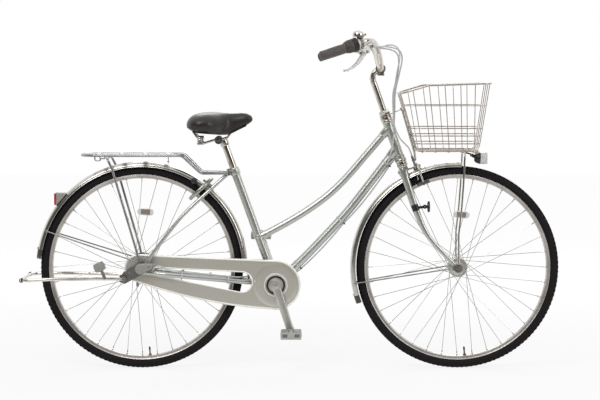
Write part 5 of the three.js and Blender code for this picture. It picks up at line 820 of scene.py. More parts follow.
def rim(x):
    """Box-section alloy rim with rolled hooks and a groove beside the brake track."""
    half = 13.5
    return cross_turned([(RIM_OUTER, -half), (RIM_OUTER - 1.5, -half - 0.3), (RIM_OUTER - 3, -half + 0.5),
        (RIM_OUTER - 9.5, -half + 1.4), (RIM_OUTER - 11.2, -half + 3.6), (RIM_INNER + 0.4, -5.5),
        (RIM_INNER, 0), (RIM_INNER + 0.4, 5.5), (RIM_OUTER - 11.2, half - 3.6),
        (RIM_OUTER - 9.5, half - 1.4), (RIM_OUTER - 3, half - 0.5), (RIM_OUTER - 1.5, half + 0.3),
        (RIM_OUTER, half), (RIM_OUTER - 0.8, half - 2.4), (RIM_OUTER - 6.5, half - 3), (RIM_OUTER - 6.8, 0),
        (RIM_OUTER - 6.5, -half + 3), (RIM_OUTER - 0.8, -half + 2.4)], x, AXLE_Z, 144, closed=True)


def valve(x):
    """Valve at the foot of the wheel: brass stem, ring nut and black cap."""
    inward = polar(0, 0, 1, 95)
    seat = polar(x, AXLE_Z, RIM_INNER + 3, -85)
    brass = [turned([(0, 0), (3.6, 0), (3.6, 6), (2.9, 6.5), (2.9, 17), (2.2, 17.5), (2.2, 21), (0, 21)],
        seat, inward, 16), hexagon(seat + inward * 3.2, inward, 10.5, 3.2)]
    cap = turned([(0, 19), (3.1, 19), (3.1, 28.5), (2.2, 31), (0, 31.4)], seat, inward, 16)
    return brass, cap


def spoke(x, rim_degrees, side, slant):
    """Spoke from its hook through the flange to the nipple at the rim."""
    hole_y = side * (27 + slant * 2.2)
    hole = polar(x, AXLE_Z, 29, rim_degrees + slant * 62, hole_y)
    end = polar(x, AXLE_Z, RIM_INNER - 9, rim_degrees, side * 2.4)
    head = at(hole.x, side * (27 - slant * 5), hole.z)
    bend = at(hole.x, hole_y + side * slant * 0.9, hole.z)
    return [tube(rounded([head, bend, bend + (end - bend) * 0.05, end], 2.2, 3), 0.95, 6),
        domed(head, at(0, -side * slant, 0), 1.9, 1.2)]


def nipple(x, rim_degrees, side):
    start = polar(x, AXLE_Z, RIM_INNER - 13, rim_degrees, side * 2.5)
    return turned([(0, 0), (1.7, 0), (1.9, 1), (1.9, 9), (3.1, 10.5), (3.1, 13.4), (0, 13.4)], start,
        polar(0, 0, 1, rim_degrees, -side * 0.008), 10)


def spoke_reflector(x, radius):
    """Clear plastic reflector clipped between two spokes, with a raised edge and a slot."""
    lean = pitched(4)
    centre = at(x, 0, AXLE_Z) + lean @ at(0, -13, radius)
    rings = [oval(centre + at(0, y), lean @ at(1), lean @ UP, 27.5 - shrink, 12 - shrink, 28, 3.2)
        for y, shrink in ((-2.6, 1.6), (-1.8, 0), (1.8, 0), (2.6, 1.6))]
    ribs = [block(centre + lean @ at(k * 4.1, -2.5, 0), (0.7, 0.9, 15), lean, 0.1) for k in range(-5, 6)]
    clips = [block(centre + lean @ at(side * 15, 3.4, 0), (5, 3, 9), lean, 0.5) for side in (-1, 1)]
    panel = block(centre + at(0, -2.6), (31, 1.2, 18), lean, 0.4)
    return [lofted(rings), *ribs, *clips], panel


def hub_shell(x, body_radius, width, wide_end):
    """Polished hub: barrel with two flanges and stepped ends, wider at its ends by wide_end."""
    half = [(6, -width / 2), (16, -width / 2), (17, -width / 2 + 1), (17, -31.5), (20, -30.6),
        (31.2, -30.4), (32, -29.6), (32, -24.6), (31.2, -23.8), (body_radius + 3, -23.4),
        (body_radius, -20), (body_radius - wide_end, -8)]
    return cross_turned(balanced(half), x, AXLE_Z, 64, closed=True)


def wheels():
    for end, x in (("front", WHEELBASE), ("rear", 0)):
        body = end + "_wheel"
        make(end + "_tyre", body, [(TYRE_BLACK, [tyre(x)])], crease=30)
        repeated(end + "_tread", body, TYRE_BLACK, tread_block(x), 132, x)
        brass, cap = valve(x)
        make(end + "_rim", body, [(ALLOY, [rim(x)]), (BRASS, brass), (BLACK_PLASTIC, [cap])])
        laces = [spoke(x, degrees + lead, side, slant) for side, lead in ((-1, 0), (1, SPOKE_STEP / 2))
            for degrees, slant in ((0, 1), (SPOKE_STEP, -1))]
        repeated(end + "_spokes", body, SPOKE, laces, 9, x)
        nipples = [nipple(x, degrees, side) for degrees, side in ((0, -1), (SPOKE_STEP / 2, 1))]
        repeated(end + "_nipples", body, CHROME, nipples, 18, x)
    lines = [ring(at(WHEELBASE, y, AXLE_Z), LEFT, 29.2, 0.7, 48) for y in (-15, 15)]
    make("front_hub", "front_wheel", [(FORGED, [hub_shell(WHEELBASE, 29, 88, 0), *lines])])
    make("rear_hub", "rear_wheel", [(FORGED, [hub_shell(0, 24, 70, 3)])])
    for end, x, radius in (("front", WHEELBASE, 178), ("rear", 0, 188)):
        shell, panel = spoke_reflector(x, radius)
        make(end + "_spoke_reflector", end + "_wheel", [(CLEAR, shell), (SMOKED, [panel])],
            (), 30)


def axle_end(x, outer, side):
    """Washer, nut and threaded end outside a dropout."""
    outward = at(0, side, 0)
    seat = at(x, side * outer, AXLE_Z)
    threads = [(4.6 + 0.4 * (k % 2), 9 + k * 0.55) for k in range(13)]
    return [turned([(5.2, 0), (13, 0), (13.5, 0.4), (13.5, 1.6), (13, 2), (5.2, 2)], seat, outward, 32,
        True), hexagon(seat, outward, 18.6, 9, 2.1), turned([(0, 9)] + threads + [(0, 15.8)], seat, outward,
        20)]


wheels()


# Frame

def bowed(start, end, bow, shares):
    chord = end - start
    down = at(chord.z, 0, -chord.x).normalized()
    return [start + chord * along + down * (bow * off) for along, off in shares]


def stub(start, direction, length, radius, wall=3.4):
    """Short lug sleeve whose edge is thinned towards the tube."""
    return turned([(radius - wall, 0), (radius + 0.4, 0), (radius + 0.4, length * 0.8),
        (radius - 0.5, length), (radius - wall, length)], start, direction, 32, True)


HEAD_LOW = steer(HEAD_TUBE_LOW)
HEAD_TOP = steer(HEAD_TUBE_LOW + HEAD_TUBE)
TOP_PATH = bowed(SEAT_TOP - SEAT_UP * (SEAT_TUBE - 167), HEAD_TOP - STEER_UP * 26, 41,
    [(0, 0), (0.1, 0.31), (0.19, 0.57), (0.33, 0.87), (0.47, 1), (0.61, 0.88), (0.81, 0.44), (1, 0)])
DOWN_PATH = bowed(BRACKET, HEAD_TOP - STEER_UP * 100, 18, [(0, 0), (0.17, 0.6), (0.42, 0.95), (0.58, 0.98),
    (0.76, 0.6), (1, 0)])
SEAT_EYE = SEAT_TOP - SEAT_UP * 17 - at(20, 0, 0)


def stay_height(x):
    low = AXLE_Z - 12
    return low - (low - BRACKET_Z) * x / BRACKET_X


def stay_place(x, rise, side):
    """A place over a chain stay's middle line."""
    y = mix(21, DROPOUT_Y, min((BRACKET_X - x) / (BRACKET_X - 85), 1))
    return at(x, side * y, stay_height(x) + rise)


def frame_tubes():
    down, top = smooth_path(DOWN_PATH, 10), smooth_path(TOP_PATH, 10)
    make("top_tube", "frame", [(PAINT, [tube(top, 12.7, 28)])])
    make("down_tube", "frame", [(PAINT, [tube(down, 14.3, 28)])])
    top_end, down_end = (top[-1] - top[-2]).normalized(), (down[-1] - down[-2]).normalized()
    head = turned([(13.5, 0), (19, 0), (19.5, 0.8), (19.5, 7), (18.6, 8.2), (17.6, 8.6), (17.6, 22),
        (16, 24), (16, HEAD_TUBE - 24), (17.6, HEAD_TUBE - 22), (17.6, HEAD_TUBE - 8.6),
        (18.6, HEAD_TUBE - 8.2), (19.5, HEAD_TUBE - 7), (19.5, HEAD_TUBE - 0.8), (19, HEAD_TUBE),
        (13.5, HEAD_TUBE)], HEAD_LOW, STEER_UP, 40, True)
    collars = [tube([top[-1] - top_end * 36, top[-1] - top_end * 34, top[-1] - top_end * 8], 15, 28,
        radii=[13, 14.6, 15]),
        tube([down[-1] - down_end * 38, down[-1] - down_end * 36, down[-1] - down_end * 8], 17, 28,
        radii=[14.6, 16.2, 16.8])]
    cup = [(17, 0), (19.4, -0.3), (20.2, 0.8), (20.2, 6.8), (18.8, 8.8), (17, 8.8)]
    cups = [turned(cup, HEAD_LOW, STEER_UP, 40, True), turned(cup, HEAD_TOP, -STEER_UP, 40, True)]
    make("head_tube", "frame", [(PAINT, [head, *collars]), (CHROME, cups)])
    seat_lug = turned([(13, -24), (16.4, -24), (17.4, -22), (17.5, -2), (16.6, 0), (13, 0)], SEAT_TOP,
        SEAT_UP, 36, True)
    ears = [block(SEAT_TOP - SEAT_UP * 12 + at(-17, side * 6, 1), (16, 3, 20),
        Matrix.Rotation(-pi / 2 + SEAT_ANGLE, 3, "Y"), 1) for side in (-1, 1)]
    seat_tube = rod(BRACKET, SEAT_TOP - SEAT_UP * 10, 14.3, 32)
    top_sleeve = stub(top[0] + (top[1] - top[0]).normalized() * 12, top[1] - top[0], 14, 14)
    band = turned([(14, 0), (15.6, 0), (16.2, 1), (16.2, 9), (15.6, 10), (14, 10)], BRACKET + SEAT_UP * 167,
        SEAT_UP, 32, True)
    make("seat_tube", "frame", [(PAINT, [seat_tube, seat_lug, *ears, top_sleeve, band]),
        (ZINC, [cross_turned(solid(3.5, -16, 16), SEAT_EYE.x, SEAT_EYE.z, 16),
        hexagon(SEAT_EYE + at(0, -16, 0), at(0, -1, 0), 11, 6), hexagon(SEAT_EYE + at(0, 16, 0), LEFT, 11,
        6)])])
    shell = on_bracket(balanced([(12, -34), (19, -34), (20, -33)]), 40)
    down_start = (down[1] - down[0]).normalized()
    sleeves = [stub(BRACKET + down_start * 16, down_start, 22, 16.2), stub(BRACKET + SEAT_UP * 16, SEAT_UP,
        18, 16)]
    cups = [on_bracket(hollow(9, 17, side * 34, side * 37), 32) for side in (-1, 1)]
    make("bottom_bracket_shell", "frame", [(PAINT, [shell, *sleeves]), (ZINC, cups)])


def dropout_plate(side):
    """Rear-facing dropout with a rounded tongue behind the axle."""
    outline = [(-14, -17), (10, -21), (30, -19), (33, -8), (22, 2), (18, 9), (6, 10), (-8, 9), (-14, 2)]
    y = side * DROPOUT_Y
    return slab([(x, AXLE_Z + z) for x, z in outline], y - 2.5, y + 2.5)


SEAT_STAY_SHARES = [(0, 0, 0), (0.075, 0.19, 0.055), (0.21, 0.42, 0.165), (0.54, 0.82, 0.445),
    (0.69, 0.92, 0.605), (0.95, 1, 0.92), (1, 1, 1)]


def stays():
    for side, name in ((1, "left"), (-1, "right")):
        stay = rounded([at(BRACKET_X - 8, side * 21, BRACKET_Z), stay_place(85, 0, side),
            stay_place(20, 0, side)], 50, 8)
        radii = [9 if p.x > 60 else mix(7, 9, max(p.x - 20, 0) / 40) for p in stay]
        make(name + "_chain_stay", "frame",
            [(PAINT, [tube(stay, 9, 20, radii=radii), dropout_plate(side)])], bevel=0.4)
        foot = at(14.7, DROPOUT_Y, AXLE_Z + 9)
        path = [at(mix(SEAT_EYE.x, foot.x, along), side * mix(22.6, foot.y, out),
            mix(SEAT_EYE.z, foot.z, drop)) for along, out, drop in SEAT_STAY_SHARES]
        cap = cross_turned(sided([(0, 16.4), (7.5, 16.4), (7.5, 28), (6.8, 29), (0, 29)], side), SEAT_EYE.x,
            SEAT_EYE.z, 24)
        make(name + "_seat_stay", "frame",
            [(PAINT, [tube(smooth_path(path, 8), 6.3, 18), cap])])


frame_tubes()
stays()


# Chain case and drive

def arc_outline(front, front_radius, rear, rear_radius, steps=24, belly=0.0):
    """Outline of a belt round two circles, whose centres are pairs of x and z. belly bows its lower run."""
    reach = hypot(front[0] - rear[0], front[1] - rear[1])
    lean = atan2(rear[1] - front[1], front[0] - rear[0])
    opened = asin((front_radius - rear_radius) / reach)
    top, bottom = pi / 2 - lean + opened, -pi / 2 - lean - opened
    spots = []
    for (x, z), radius, start, end in ((front, front_radius, bottom, top),
            (rear, rear_radius, top, 2 * pi + bottom)):
        for k in range(steps + 1):
            angle = mix(start, end, k / steps)
            spots.append((x + radius * cos(angle), z + radius * sin(angle)))
    if belly:
        (end_x, end_z), (start_x, start_z) = spots[-1], spots[0]
        for k in range(1, 10):
            share = k / 10
            spots.append((mix(end_x, start_x, share), mix(end_z, start_z, share)
                - belly * 4 * share * (1 - share)))
    return spots


def circle(x, z, radius, steps=32):
    return [(x + radius * cos(2 * pi * k / steps), z + radius * sin(2 * pi * k / steps))
        for k in range(steps)]


def case_edge(shrink):
    return arc_outline((BRACKET_X, BRACKET_Z), 83.9 - shrink, (-9.5, AXLE_Z), 47 - shrink, 28, 17)


def slot_edge(grow):
    return arc_outline((339, AXLE_Z - 46.8), 33.5 + grow, (52, AXLE_Z - 10.9), 12 + grow, 18)


def pressed_rings(rows, edge):
    """Sheet drawn over side values: rows of (shrink, side) round the same edge, closed on itself."""
    return lofted([[at(x, y, z) for x, z in edge(shrink)] for shrink, y in rows], closed=True)


def chain_case():
    """Two pressed halves: a face with a rolled rim, a raised bead and a long slot with its own lip."""
    face = slab(case_edge(2.4), -50.6, -49.6, [slot_edge(0), circle(BRACKET_X, BRACKET_Z, 27, 40),
        circle(0, AXLE_Z, 12, 24)])
    skirt = pressed_rings([(3.2, -49.6), (3.2, -50.6), (1.6, -50.9), (0.5, -49.9), (0, -48), (0, -35),
        (0.3, -34.2), (1.3, -34.2), (1.4, -35), (1.4, -47.6), (2.2, -49.2)], case_edge)
    rolled = tube([at(x, -50.0, z) for x, z in case_edge(3.6)], 3.2, 12, closed=True)
    lip = pressed_rings([(0, -49.6), (0, -51.0), (1.4, -51.4), (2.4, -50.6), (2.4, -49.8), (1.4, -49.9),
        (1.3, -43), (0, -43)], slot_edge)
    slot_bead = tube([at(x, -50.4, z) for x, z in slot_edge(1.6)], 2.3, 10, closed=True)
    dish = on_bracket([(34, -50.2), (34, -51.3), (41, -51.4), (60, -51.2), (73, -50.8), (75, -50.2)], 64)
    mouth = on_bracket([(35.6, -50.4), (35.8, -53), (37, -54.4), (38.6, -54), (39.6, -52.6), (40, -50)], 56)
    sill = on_bracket([(27, -49.7), (27, -51.1), (33, -51.3), (36, -52.2), (36, -49.7)], 56)
    hole = cross_turned([(12, -49.6), (12, -51.2), (13.4, -51.5), (14.6, -50.4), (14.6, -49.6)], 0, AXLE_Z,
        32, True)
    strap = slab(block_outline(BRACKET_X, BRACKET_Z, 22, 166), -35.8, -34.3,
        [circle(BRACKET_X, BRACKET_Z, 8.5, 24)])
    knob = domed(at(BRACKET_X - 70, -50.4, BRACKET_Z + 11.6), at(0, -1, 0), 4, 2)
    # The rolled rim, slot bead and crank mouth are paler than the face: painted highlight along these edges.
    make("chain_case", "frame",
        [(CASE_PAINT, [face, skirt, lip, dish, sill, hole, knob, strap]),
        (CASE_EDGE_HIGHLIGHT, [rolled, slot_bead, mouth])], crease=34)


def block_outline(x, z, width, height):
    return hollow(x - width / 2, x + width / 2, z - height / 2, z + height / 2)


TOOTH = [(-0.5, -3.4), (-0.34, -2.6), (-0.16, 2.0), (-0.07, 3.2), (0.07, 3.2), (0.16, 2.0), (0.34, -2.6)]


def pitch_radius(teeth):
    return CHAIN_PITCH / 2 / sin(pi / teeth)


def toothed(teeth, x, z, hole):
    """Toothed wheel in the chain's line: one outline of rounded teeth with a bore."""
    spots = []
    for k in range(teeth):
        for turn, height in TOOTH:
            angle = 2 * pi * (k + turn) / teeth
            reach = pitch_radius(teeth) + height
            spots.append((x + reach * cos(angle), z + reach * sin(angle)))
    return slab(spots, CHAIN_LINE - 1, CHAIN_LINE + 1, [circle(x, z, hole, 48)])


def crank(side):
    """Forged arm from its boss to the rounded pedal eye, along its lean, with its cap and the cap's slot."""
    shares = [(-0.06, 0.6, 0.8), (0, 1, 1), (0.06, 1.06, 1), (0.14, 1.04, 0.98), (0.3, 1.0, 0.95),
        (0.6, 0.94, 0.92), (0.84, 0.92, 0.9), (0.93, 0.98, 0.92), (1.0, 1.0, 0.92), (1.05, 0.86, 0.9),
        (1.08, 0.5, 0.8)]
    rings = [oval(at(0, -64.5 - 8 * min(max(share, 0), 1), -CRANK_LENGTH * share), at(1), LEFT, 14 * wide,
        6.6 * thick, 20, 2.8) for share, wide, thick in shares]
    boss = turned([(0, -73), (10, -73), (11, -72), (17.6, -71.4), (19, -70), (19, -57), (17, -54),
        (0, -54)], at(0), LEFT, 36)
    cap = turned([(0, -75.6), (5, -75.4), (10.4, -74.6), (11.4, -73.4), (11.4, -72), (0, -72)], at(0), LEFT,
        36)
    # The cap's slot is a thin black block: painted shade in the recess.
    shapes = [lofted(rings), boss, cap, block(at(0, -75.6, 0), (9, 0.5, 1.6))]
    turn = pitched(-CRANK_LEAN)
    if side > 0:
        turn = pitched(180 - CRANK_LEAN)
        shapes = [mirrored(shape) for shape in shapes]
    arm, boss, cap, slot = [placed(shape, BRACKET, turn) for shape in shapes]
    return [arm, boss], cap, slot


def crankset():
    arm, cap, slot = crank(-1)
    turns = [Matrix.Rotation(2 * pi * k / 5, 3, "Y") for k in range(5)]
    arms = [block(BRACKET + at(0, CHAIN_LINE) + turn @ at(0, 0, 34), (16, 2, 44), turn, 0.4)
        for turn in turns]
    sleeve = on_bracket(hollow(8.4, 19, -54, -41), 36)
    dust_ring = on_bracket([(18, -55.6), (22, -57), (24.4, -56.6), (25.6, -55), (25.6, -53.4), (18, -53.4)],
        48)
    seal = on_bracket([(18, -53.6), (25, -53.2), (31.5, -52.6), (31.5, -51.8), (18, -51.8)], 48)
    # The black slot block on each crank cap is painted shade.
    make("right_crank", "crankset", [(FORGED, [arm, sleeve, cap, dust_ring]),
        (BLACK_PLASTIC, [slot, seal]), (ZINC, [toothed(RING_TEETH, BRACKET_X, BRACKET_Z, 52), *arms])])
    arm, cap, slot = crank(1)
    spindle = on_bracket(solid(8, -56, 58), 24, False)
    make("left_crank", "crankset", [(FORGED, [arm, cap]), (BLACK_PLASTIC, [slot]),
        (ZINC, [spindle])])


def pedal(side):
    """Block pedal: axle, barrel and cages, two ribbed treads, an amber lens in each, and end plugs."""
    lean = radians(CRANK_LEAN)
    centre = BRACKET + at(-sin(lean), 0, cos(lean)) * (side * CRANK_LENGTH)
    middle = side * 129
    axle = cross_turned(sided([(0, 66.4), (5, 66.4), (5, 82), (8, 83), (8, 86), (0, 86)], side), 0, 0, 20)
    barrel = cross_turned(sided([(0, 85), (10, 85), (10, 88), (8.6, 92), (8.6, 166), (10, 170), (10, 172.6),
        (0, 172.6)], side), 0, 0, 28)
    rubber, cage, lens = [], [], []
    for way in (-1, 1):
        rubber.append(block(at(way * 21, middle, 0), (25.5, 76, 20.5), None, 2.6))
        for row in range(9):
            y = middle + (row - 4) * 8
            rubber += [block(at(way * 21, y, face * 11), (24, 4.4, 2.6), None, 1) for face in (-1, 1)]
        lens.append(block(at(way * 34.1, middle, 0), (1.8, 52, 11), None, 0.6))
        cage.append(block(at(way * 33.6, middle, 0), (1.9, 58, 16), None, 0.5))
    cage += [block(at(0, y, 0), (68, 4.2, 25), None, 3) for y in (side * 87.5, side * 170.3)]
    ends = [block(at(way * 20, side * 171.4, 0), (17, 2.8, 11), None, 1) for way in (-1, 1)]
    return [[placed(shape, centre) for shape in group] for group in ([axle], [barrel, *cage], rubber, lens,
        ends)]


def pedals():
    for side, name in ((-1, "right_pedal"), (1, "left_pedal")):
        axle, cage, rubber, lens, ends = pedal(side)
        make(name, name, [(ZINC, axle), (PEDAL_GREY, cage), (COVER_GREY, rubber),
            (AMBER, lens), (TREAD_GREY, ends)])


def even_places(path, count):
    """Places at even distances round a closed path."""
    closed = path + [path[0]]
    lengths = [0.0]
    for a, b in zip(closed, closed[1:]):
        lengths.append(lengths[-1] + (b - a).length)
    places, k = [], 0
    for i in range(count):
        goal = lengths[-1] * i / count
        while lengths[k + 1] < goal:
            k += 1
        share = (goal - lengths[k]) / max(lengths[k + 1] - lengths[k], 1e-9)
        places.append(closed[k].lerp(closed[k + 1], share))
    return places


def chain():
    """Chain with its plates and rollers, link by link, round both toothed wheels."""
    belt = arc_outline((BRACKET_X, BRACKET_Z), pitch_radius(RING_TEETH), (0, AXLE_Z),
        pitch_radius(SPROCKET_TEETH), 40)
    places = even_places([at(x, CHAIN_LINE, z) for x, z in belt], 96)
    roller = balanced([(0, -3.8), (2, -3.8), (2, -2.4), (3.8, -2.4)])
    shapes = []
    for k, place in enumerate(places):
        after = places[(k + 1) % len(places)]
        wide = 2.9 if k % 2 else 3.6
        shapes += [link_plate(place, after, CHAIN_LINE + way * wide) for way in (-1, 1)]
        shapes.append(turned(roller, place, LEFT, 8))
    make("chain", "frame", [(ZINC, shapes)])
    driver = cross_turned(hollow(6, 17, -48, -35.3), 0, AXLE_Z, 32, True)
    make("rear_sprocket", "sprocket",
        [(ZINC, [toothed(SPROCKET_TEETH, 0, AXLE_Z, 17), driver])])


def link_plate(start, end, y):
    ahead = (end - start).normalized()
    side = at(-ahead.z, 0, ahead.x)
    outline = []
    for centre, reach in ((end, 4.1), (start, -4.1)):
        for k in range(5):
            angle = pi * (k / 4 - 0.5)
            outline.append(centre + ahead * (reach * cos(angle)) + side * (reach * sin(angle)))
    return lofted([[at(p.x, y + half, p.z) for p in outline] for half in (-0.45, 0.45)])


chain_case()
crankset()
pedals()
chain()


# Mudguards, rack and rear fittings

def guard_section():
    """Half-round channel with rolled edges, as pairs of side and depth, round the sheet and back."""
    outer = [(23.6 * cos(a), 17 * sin(a) ** 0.8 - 17) for a in (pi * k / 16 for k in range(17))]
    inner = [(side * 0.965, depth - 1.0) for side, depth in outer]
    return outer + [(-22.6, -18), (-21.6, -17)] + inner[-2:0:-1] + [(21.6, -17), (22.6, -18)]


def guard(x, start, end, steps):
    """Mudguard sheet swept round the wheel from one angle to another, with a wire hem on each edge."""
    section = guard_section()
    sheet = lofted([[polar(x, AXLE_Z, GUARD_RADIUS + depth, mix(start, end, k / steps), side)
        for side, depth in section] for k in range(steps + 1)])
    hems = [tube([polar(x, AXLE_Z, GUARD_RADIUS - 16.6, mix(start, end, k / 60), side) for k in range(61)],
        1.5, 8) for side in (22.8, -22.8)]
    return [sheet, *hems]


def flap_row(x, degrees, radius, width):
    angles = [pi * k / 12 for k in range(13)]
    return [polar(x, AXLE_Z, radius + 17 * sin(a) ** 0.8, degrees, width * cos(a)) for a in angles]


def flap(name, body, x, start, end, rivets):
    """Dark vinyl flap under the lower end of a mudguard, with its two rivets at their own angle."""
    rings = []
    for k in range(13):
        degrees = mix(start, end, k / 12)
        width = 26 - 5 * max(k / 12 - 0.6, 0) / 0.4
        rings.append(flap_row(x, degrees, 340.8, width) + flap_row(x, degrees, 338.9, width - 1.8)[::-1])
    heads = [domed(polar(x, AXLE_Z, GUARD_RADIUS + 1, rivets, y), polar(0, 0, 1, rivets), 3.4, 1.6)
        for y in (-8, 8)]
    make(name, body, [(FLAP, [lofted(rings)]), (ZINC, heads)], (), 34)


def stay_pair(x, angle, foot):
    """Two wires from the mudguard to the axle, each flattened into an eye, with a bolt at the sheet."""
    shapes = []
    for side in (1, -1):
        outward = at(0, side, 0)
        top = polar(x, AXLE_Z, GUARD_RADIUS - 15, angle, side * 25.5)
        low = at(foot.x, side * foot.y, foot.z)
        inward = polar(x, AXLE_Z, GUARD_RADIUS - 24, angle, side * 24.2)
        shapes.append(tube(rounded([top + (top - inward) * 0.2, top, low], 12, 4), 2.4, 12))
        eye = low + (low - top).normalized() * 6
        shapes.append(turned(solid(9, -1.2, 1.2), eye, LEFT, 20))
        shapes.append(domed(at(top.x, side * 25.6, top.z), outward, 5, 2.6))
        shapes.append(turned(solid(5.6, -3, 0), at(top.x, side * 27, top.z), outward, 6))
    return shapes


TAIL_SEAT = polar(0, AXLE_Z, 355.6, 139.5)


def mudguards():
    bridge_z = stay_height(362)
    bridge = [cross_turned(solid(5, -20, 20), 362, bridge_z, 20),
        rod(at(362, 0, bridge_z), at(357, 0, AXLE_Z - 9), 3.5, 14)]
    seat = TAIL_SEAT
    back, front = seat.x - 17, seat.x + 17
    housing = slab([(back, seat.z - 19.5), (back + 2, seat.z - 19.5), (front, seat.z + 17),
        (front, seat.z + 19.5), (back, seat.z + 19.5)], -29, 29)
    make("rear_mudguard", "frame", [(STAINLESS, guard(0, -3, 175, 96)),
        (ZINC, stay_pair(0, 159, at(0, 70.5, AXLE_Z + 18.3)) + bridge)], crease=34)
    make("tail_housing", "frame", [(COVER_GREY, [housing])], (), bevel=1.6)
    lens = block(at(back - 1.5, 0, seat.z), (9.6, 58, 39), None, 2)
    rim_edge = [block(at(back - 1.6, 0, seat.z + way * 19.3), (5, 58, 1.6), None, 0.4) for way in (-1, 1)]
    make("tail_reflector", "frame", [(RED, [lens]), (COVER_GREY, rim_edge)],
        ["tail_reflector_lens"])
    flap("rear_flap", "frame", 0, 170, 175.2, 169.6)
    x = WHEELBASE - 6
    foot = at(WHEELBASE - 18.3, 60.5, AXLE_Z)
    make("front_mudguard", "steering", [(STAINLESS, guard(x, 87, 198, 64)),
        (ZINC, stay_pair(x, 189, foot) + [rod(steer(350), steer(361.7), 5, 16)])], crease=34)
    flap("front_flap", "steering", x, 196, 200.4, 195.4)


def rack():
    """Bent rail with flat strips across it, two slats, the struts to the seat lug and the bent legs."""
    z, half, bend = 722, 85, 55
    corner = [at(-197 + bend * (1 - sin(a)), half - bend * (1 - cos(a)), z)
        for a in (pi / 2 * k / 8 for k in range(9))]
    low = at(SEAT_EYE.x, 34.2, SEAT_EYE.z)
    left = rounded([low, at(203, half * 0.7, 662), at(140, half, z), at(60, half, z)], 26, 6) + corner
    strips = []
    for x in (90, 12, -66, -144):
        strips.append(block(at(x, 0, z + 3.9), (18, 2 * half + 2, 2.4), None, 0.8))
        strips += [domed(at(x, side * half, z + 5), UP, 3.4, 1.5) for side in (-1, 1)]
    slats = [rod(at(99, y, z + 1.6), at(-180, y, z + 1.6), 2.5, 12) for y in (-28, 28)]
    loop = [at(x, y, z + 1.6) for x, y in ((88, -28), (103, -28), (103, 28), (88, 28))]
    link = [block(at(90, 0, 707.5), (2.4, 14, 30), None, 0.6), domed(at(90, 0, 700), at(0, 0, -1), 5, 3)]
    eyes = [turned(solid(8, -2.4, 2.4), at(SEAT_EYE.x, y, SEAT_EYE.z), LEFT, 24) for y in (-32.4, 32.4)]
    bolts = [hexagon(at(SEAT_EYE.x, side * 34.8, SEAT_EYE.z), at(0, side, 0), 11, 5) for side in (-1, 1)]
    hooks = [tube(rounded([at(x, y, z - drop) for x, drop in ((-150, 3), (-150, 17), (-132, 17),
        (-132, 10))], 7, 4), 2.2, 10) for y in (-84.6, 84.6)]
    make("rack_deck", "frame",
        [(DARK_STEEL, [tube(left + opposite(left), 5, 16), *slats, *hooks]),
        (STAINLESS, [*strips, tube(rounded(loop, 8, 4), 2.5, 12), link, eyes, bolts])])
    foot_y = 77.1
    top_z = z - 9.2
    legs = [at(-6.6, foot_y, AXLE_Z + 26.7), at(-14.3, foot_y, AXLE_Z + 64), at(-93.5, half, top_z - 33),
        at(-110, half, top_z)]
    feet = []
    for y in (-foot_y, foot_y):
        foot = at(-6.2, y, AXLE_Z + 22)
        feet += [rod(foot, foot + at(-0.8, 0, 12), 5.2, 16),
            turned(solid(9.5, -1.5, 1.5), at(-5, y, AXLE_Z + 16), LEFT, 20)]
    make("rack_legs", "frame",
        [(DARK_STEEL, [tube(rounded(legs + opposite(legs), 22, 6), 4.2, 16), *feet])])


STAND_PIVOT = at(-57.5, 0, AXLE_Z - 35)


def axles():
    """Axles with their washers, nuts and spacers. The rear one also holds the stand's plates and pins."""
    shapes = [cross_turned(solid(5, -50, 50), WHEELBASE, AXLE_Z, 20)]
    for side in (-1, 1):
        spacer = sided(hollow(5.2, 8.6, 49.7, 44.6), side)
        shapes += [*axle_end(WHEELBASE, 55.3, side), cross_turned(spacer, WHEELBASE, AXLE_Z, 24, True)]
    make("front_axle", "steering", [(ZINC, shapes)])
    plate = [(-7, 8), (-34, 4), (-71, -25), (-73, -35), (-71, -45), (-53, -51), (8, -18), (14, -8), (11, 2)]
    plate = [(x, AXLE_Z + z) for x, z in plate]
    shapes = [cross_turned(solid(5, -50, 50), 0, AXLE_Z, 20)]
    for side in (-1, 1):
        outward = at(0, side, 0)
        spacer = sided(hollow(5.2, 10.5, 59.5, 54), side)
        low, high = sorted((side * 65.3, side * 69.3))
        shapes += [*axle_end(0, 65.3, side), cross_turned(spacer, 0, AXLE_Z, 24, True),
            slab(plate, low, high, [circle(0, AXLE_Z, 14.2, 24)]), turned(solid(4, 65.3, 80.5), STAND_PIVOT,
            outward, 20), domed(STAND_PIVOT + outward * 80.4, outward, 6.2, 2.6),
            domed(at(-38, side * 69.2, AXLE_Z - 14), outward, 4, 2)]
    make("rear_axle", "frame", [(ZINC, shapes)])


def stand():
    """Two-legged stand, folded to the rear, with its foot tread."""
    hub_y, foot_y, reach = 75.1, 130, 394.2
    shares = [(0, 0, 0), (0.1, 0.08, 0.6), (0.25, 0.3, 0.8), (0.69, 0.72, 1), (1, 1, 0)]
    left = [at(mix(STAND_PIVOT.x, -reach, along), mix(hub_y, foot_y, out), STAND_PIVOT.z + 4 * rise)
        for along, out, rise in shares]
    path = rounded(left + opposite(left), 34, 6)
    hubs = [cross_turned(sided(hollow(4.6, 12, 69.8, 80.2), side), STAND_PIVOT.x, STAND_PIVOT.z, 28, True)
        for side in (-1, 1)]
    feet = [turned(hollow(5.8, 7.4, -7, 7), at(-reach + 0.4, y, STAND_PIVOT.z), LEFT, 20, True)
        for y in (-112, 112)]
    arm, tread = stand_tread()
    make("stand", "stand", [(CHROME, [tube(path, 5.8, 18)]), (ZINC, [*hubs, arm]),
        (COVER_GREY, tread), (BLACK_RUBBER, feet)])


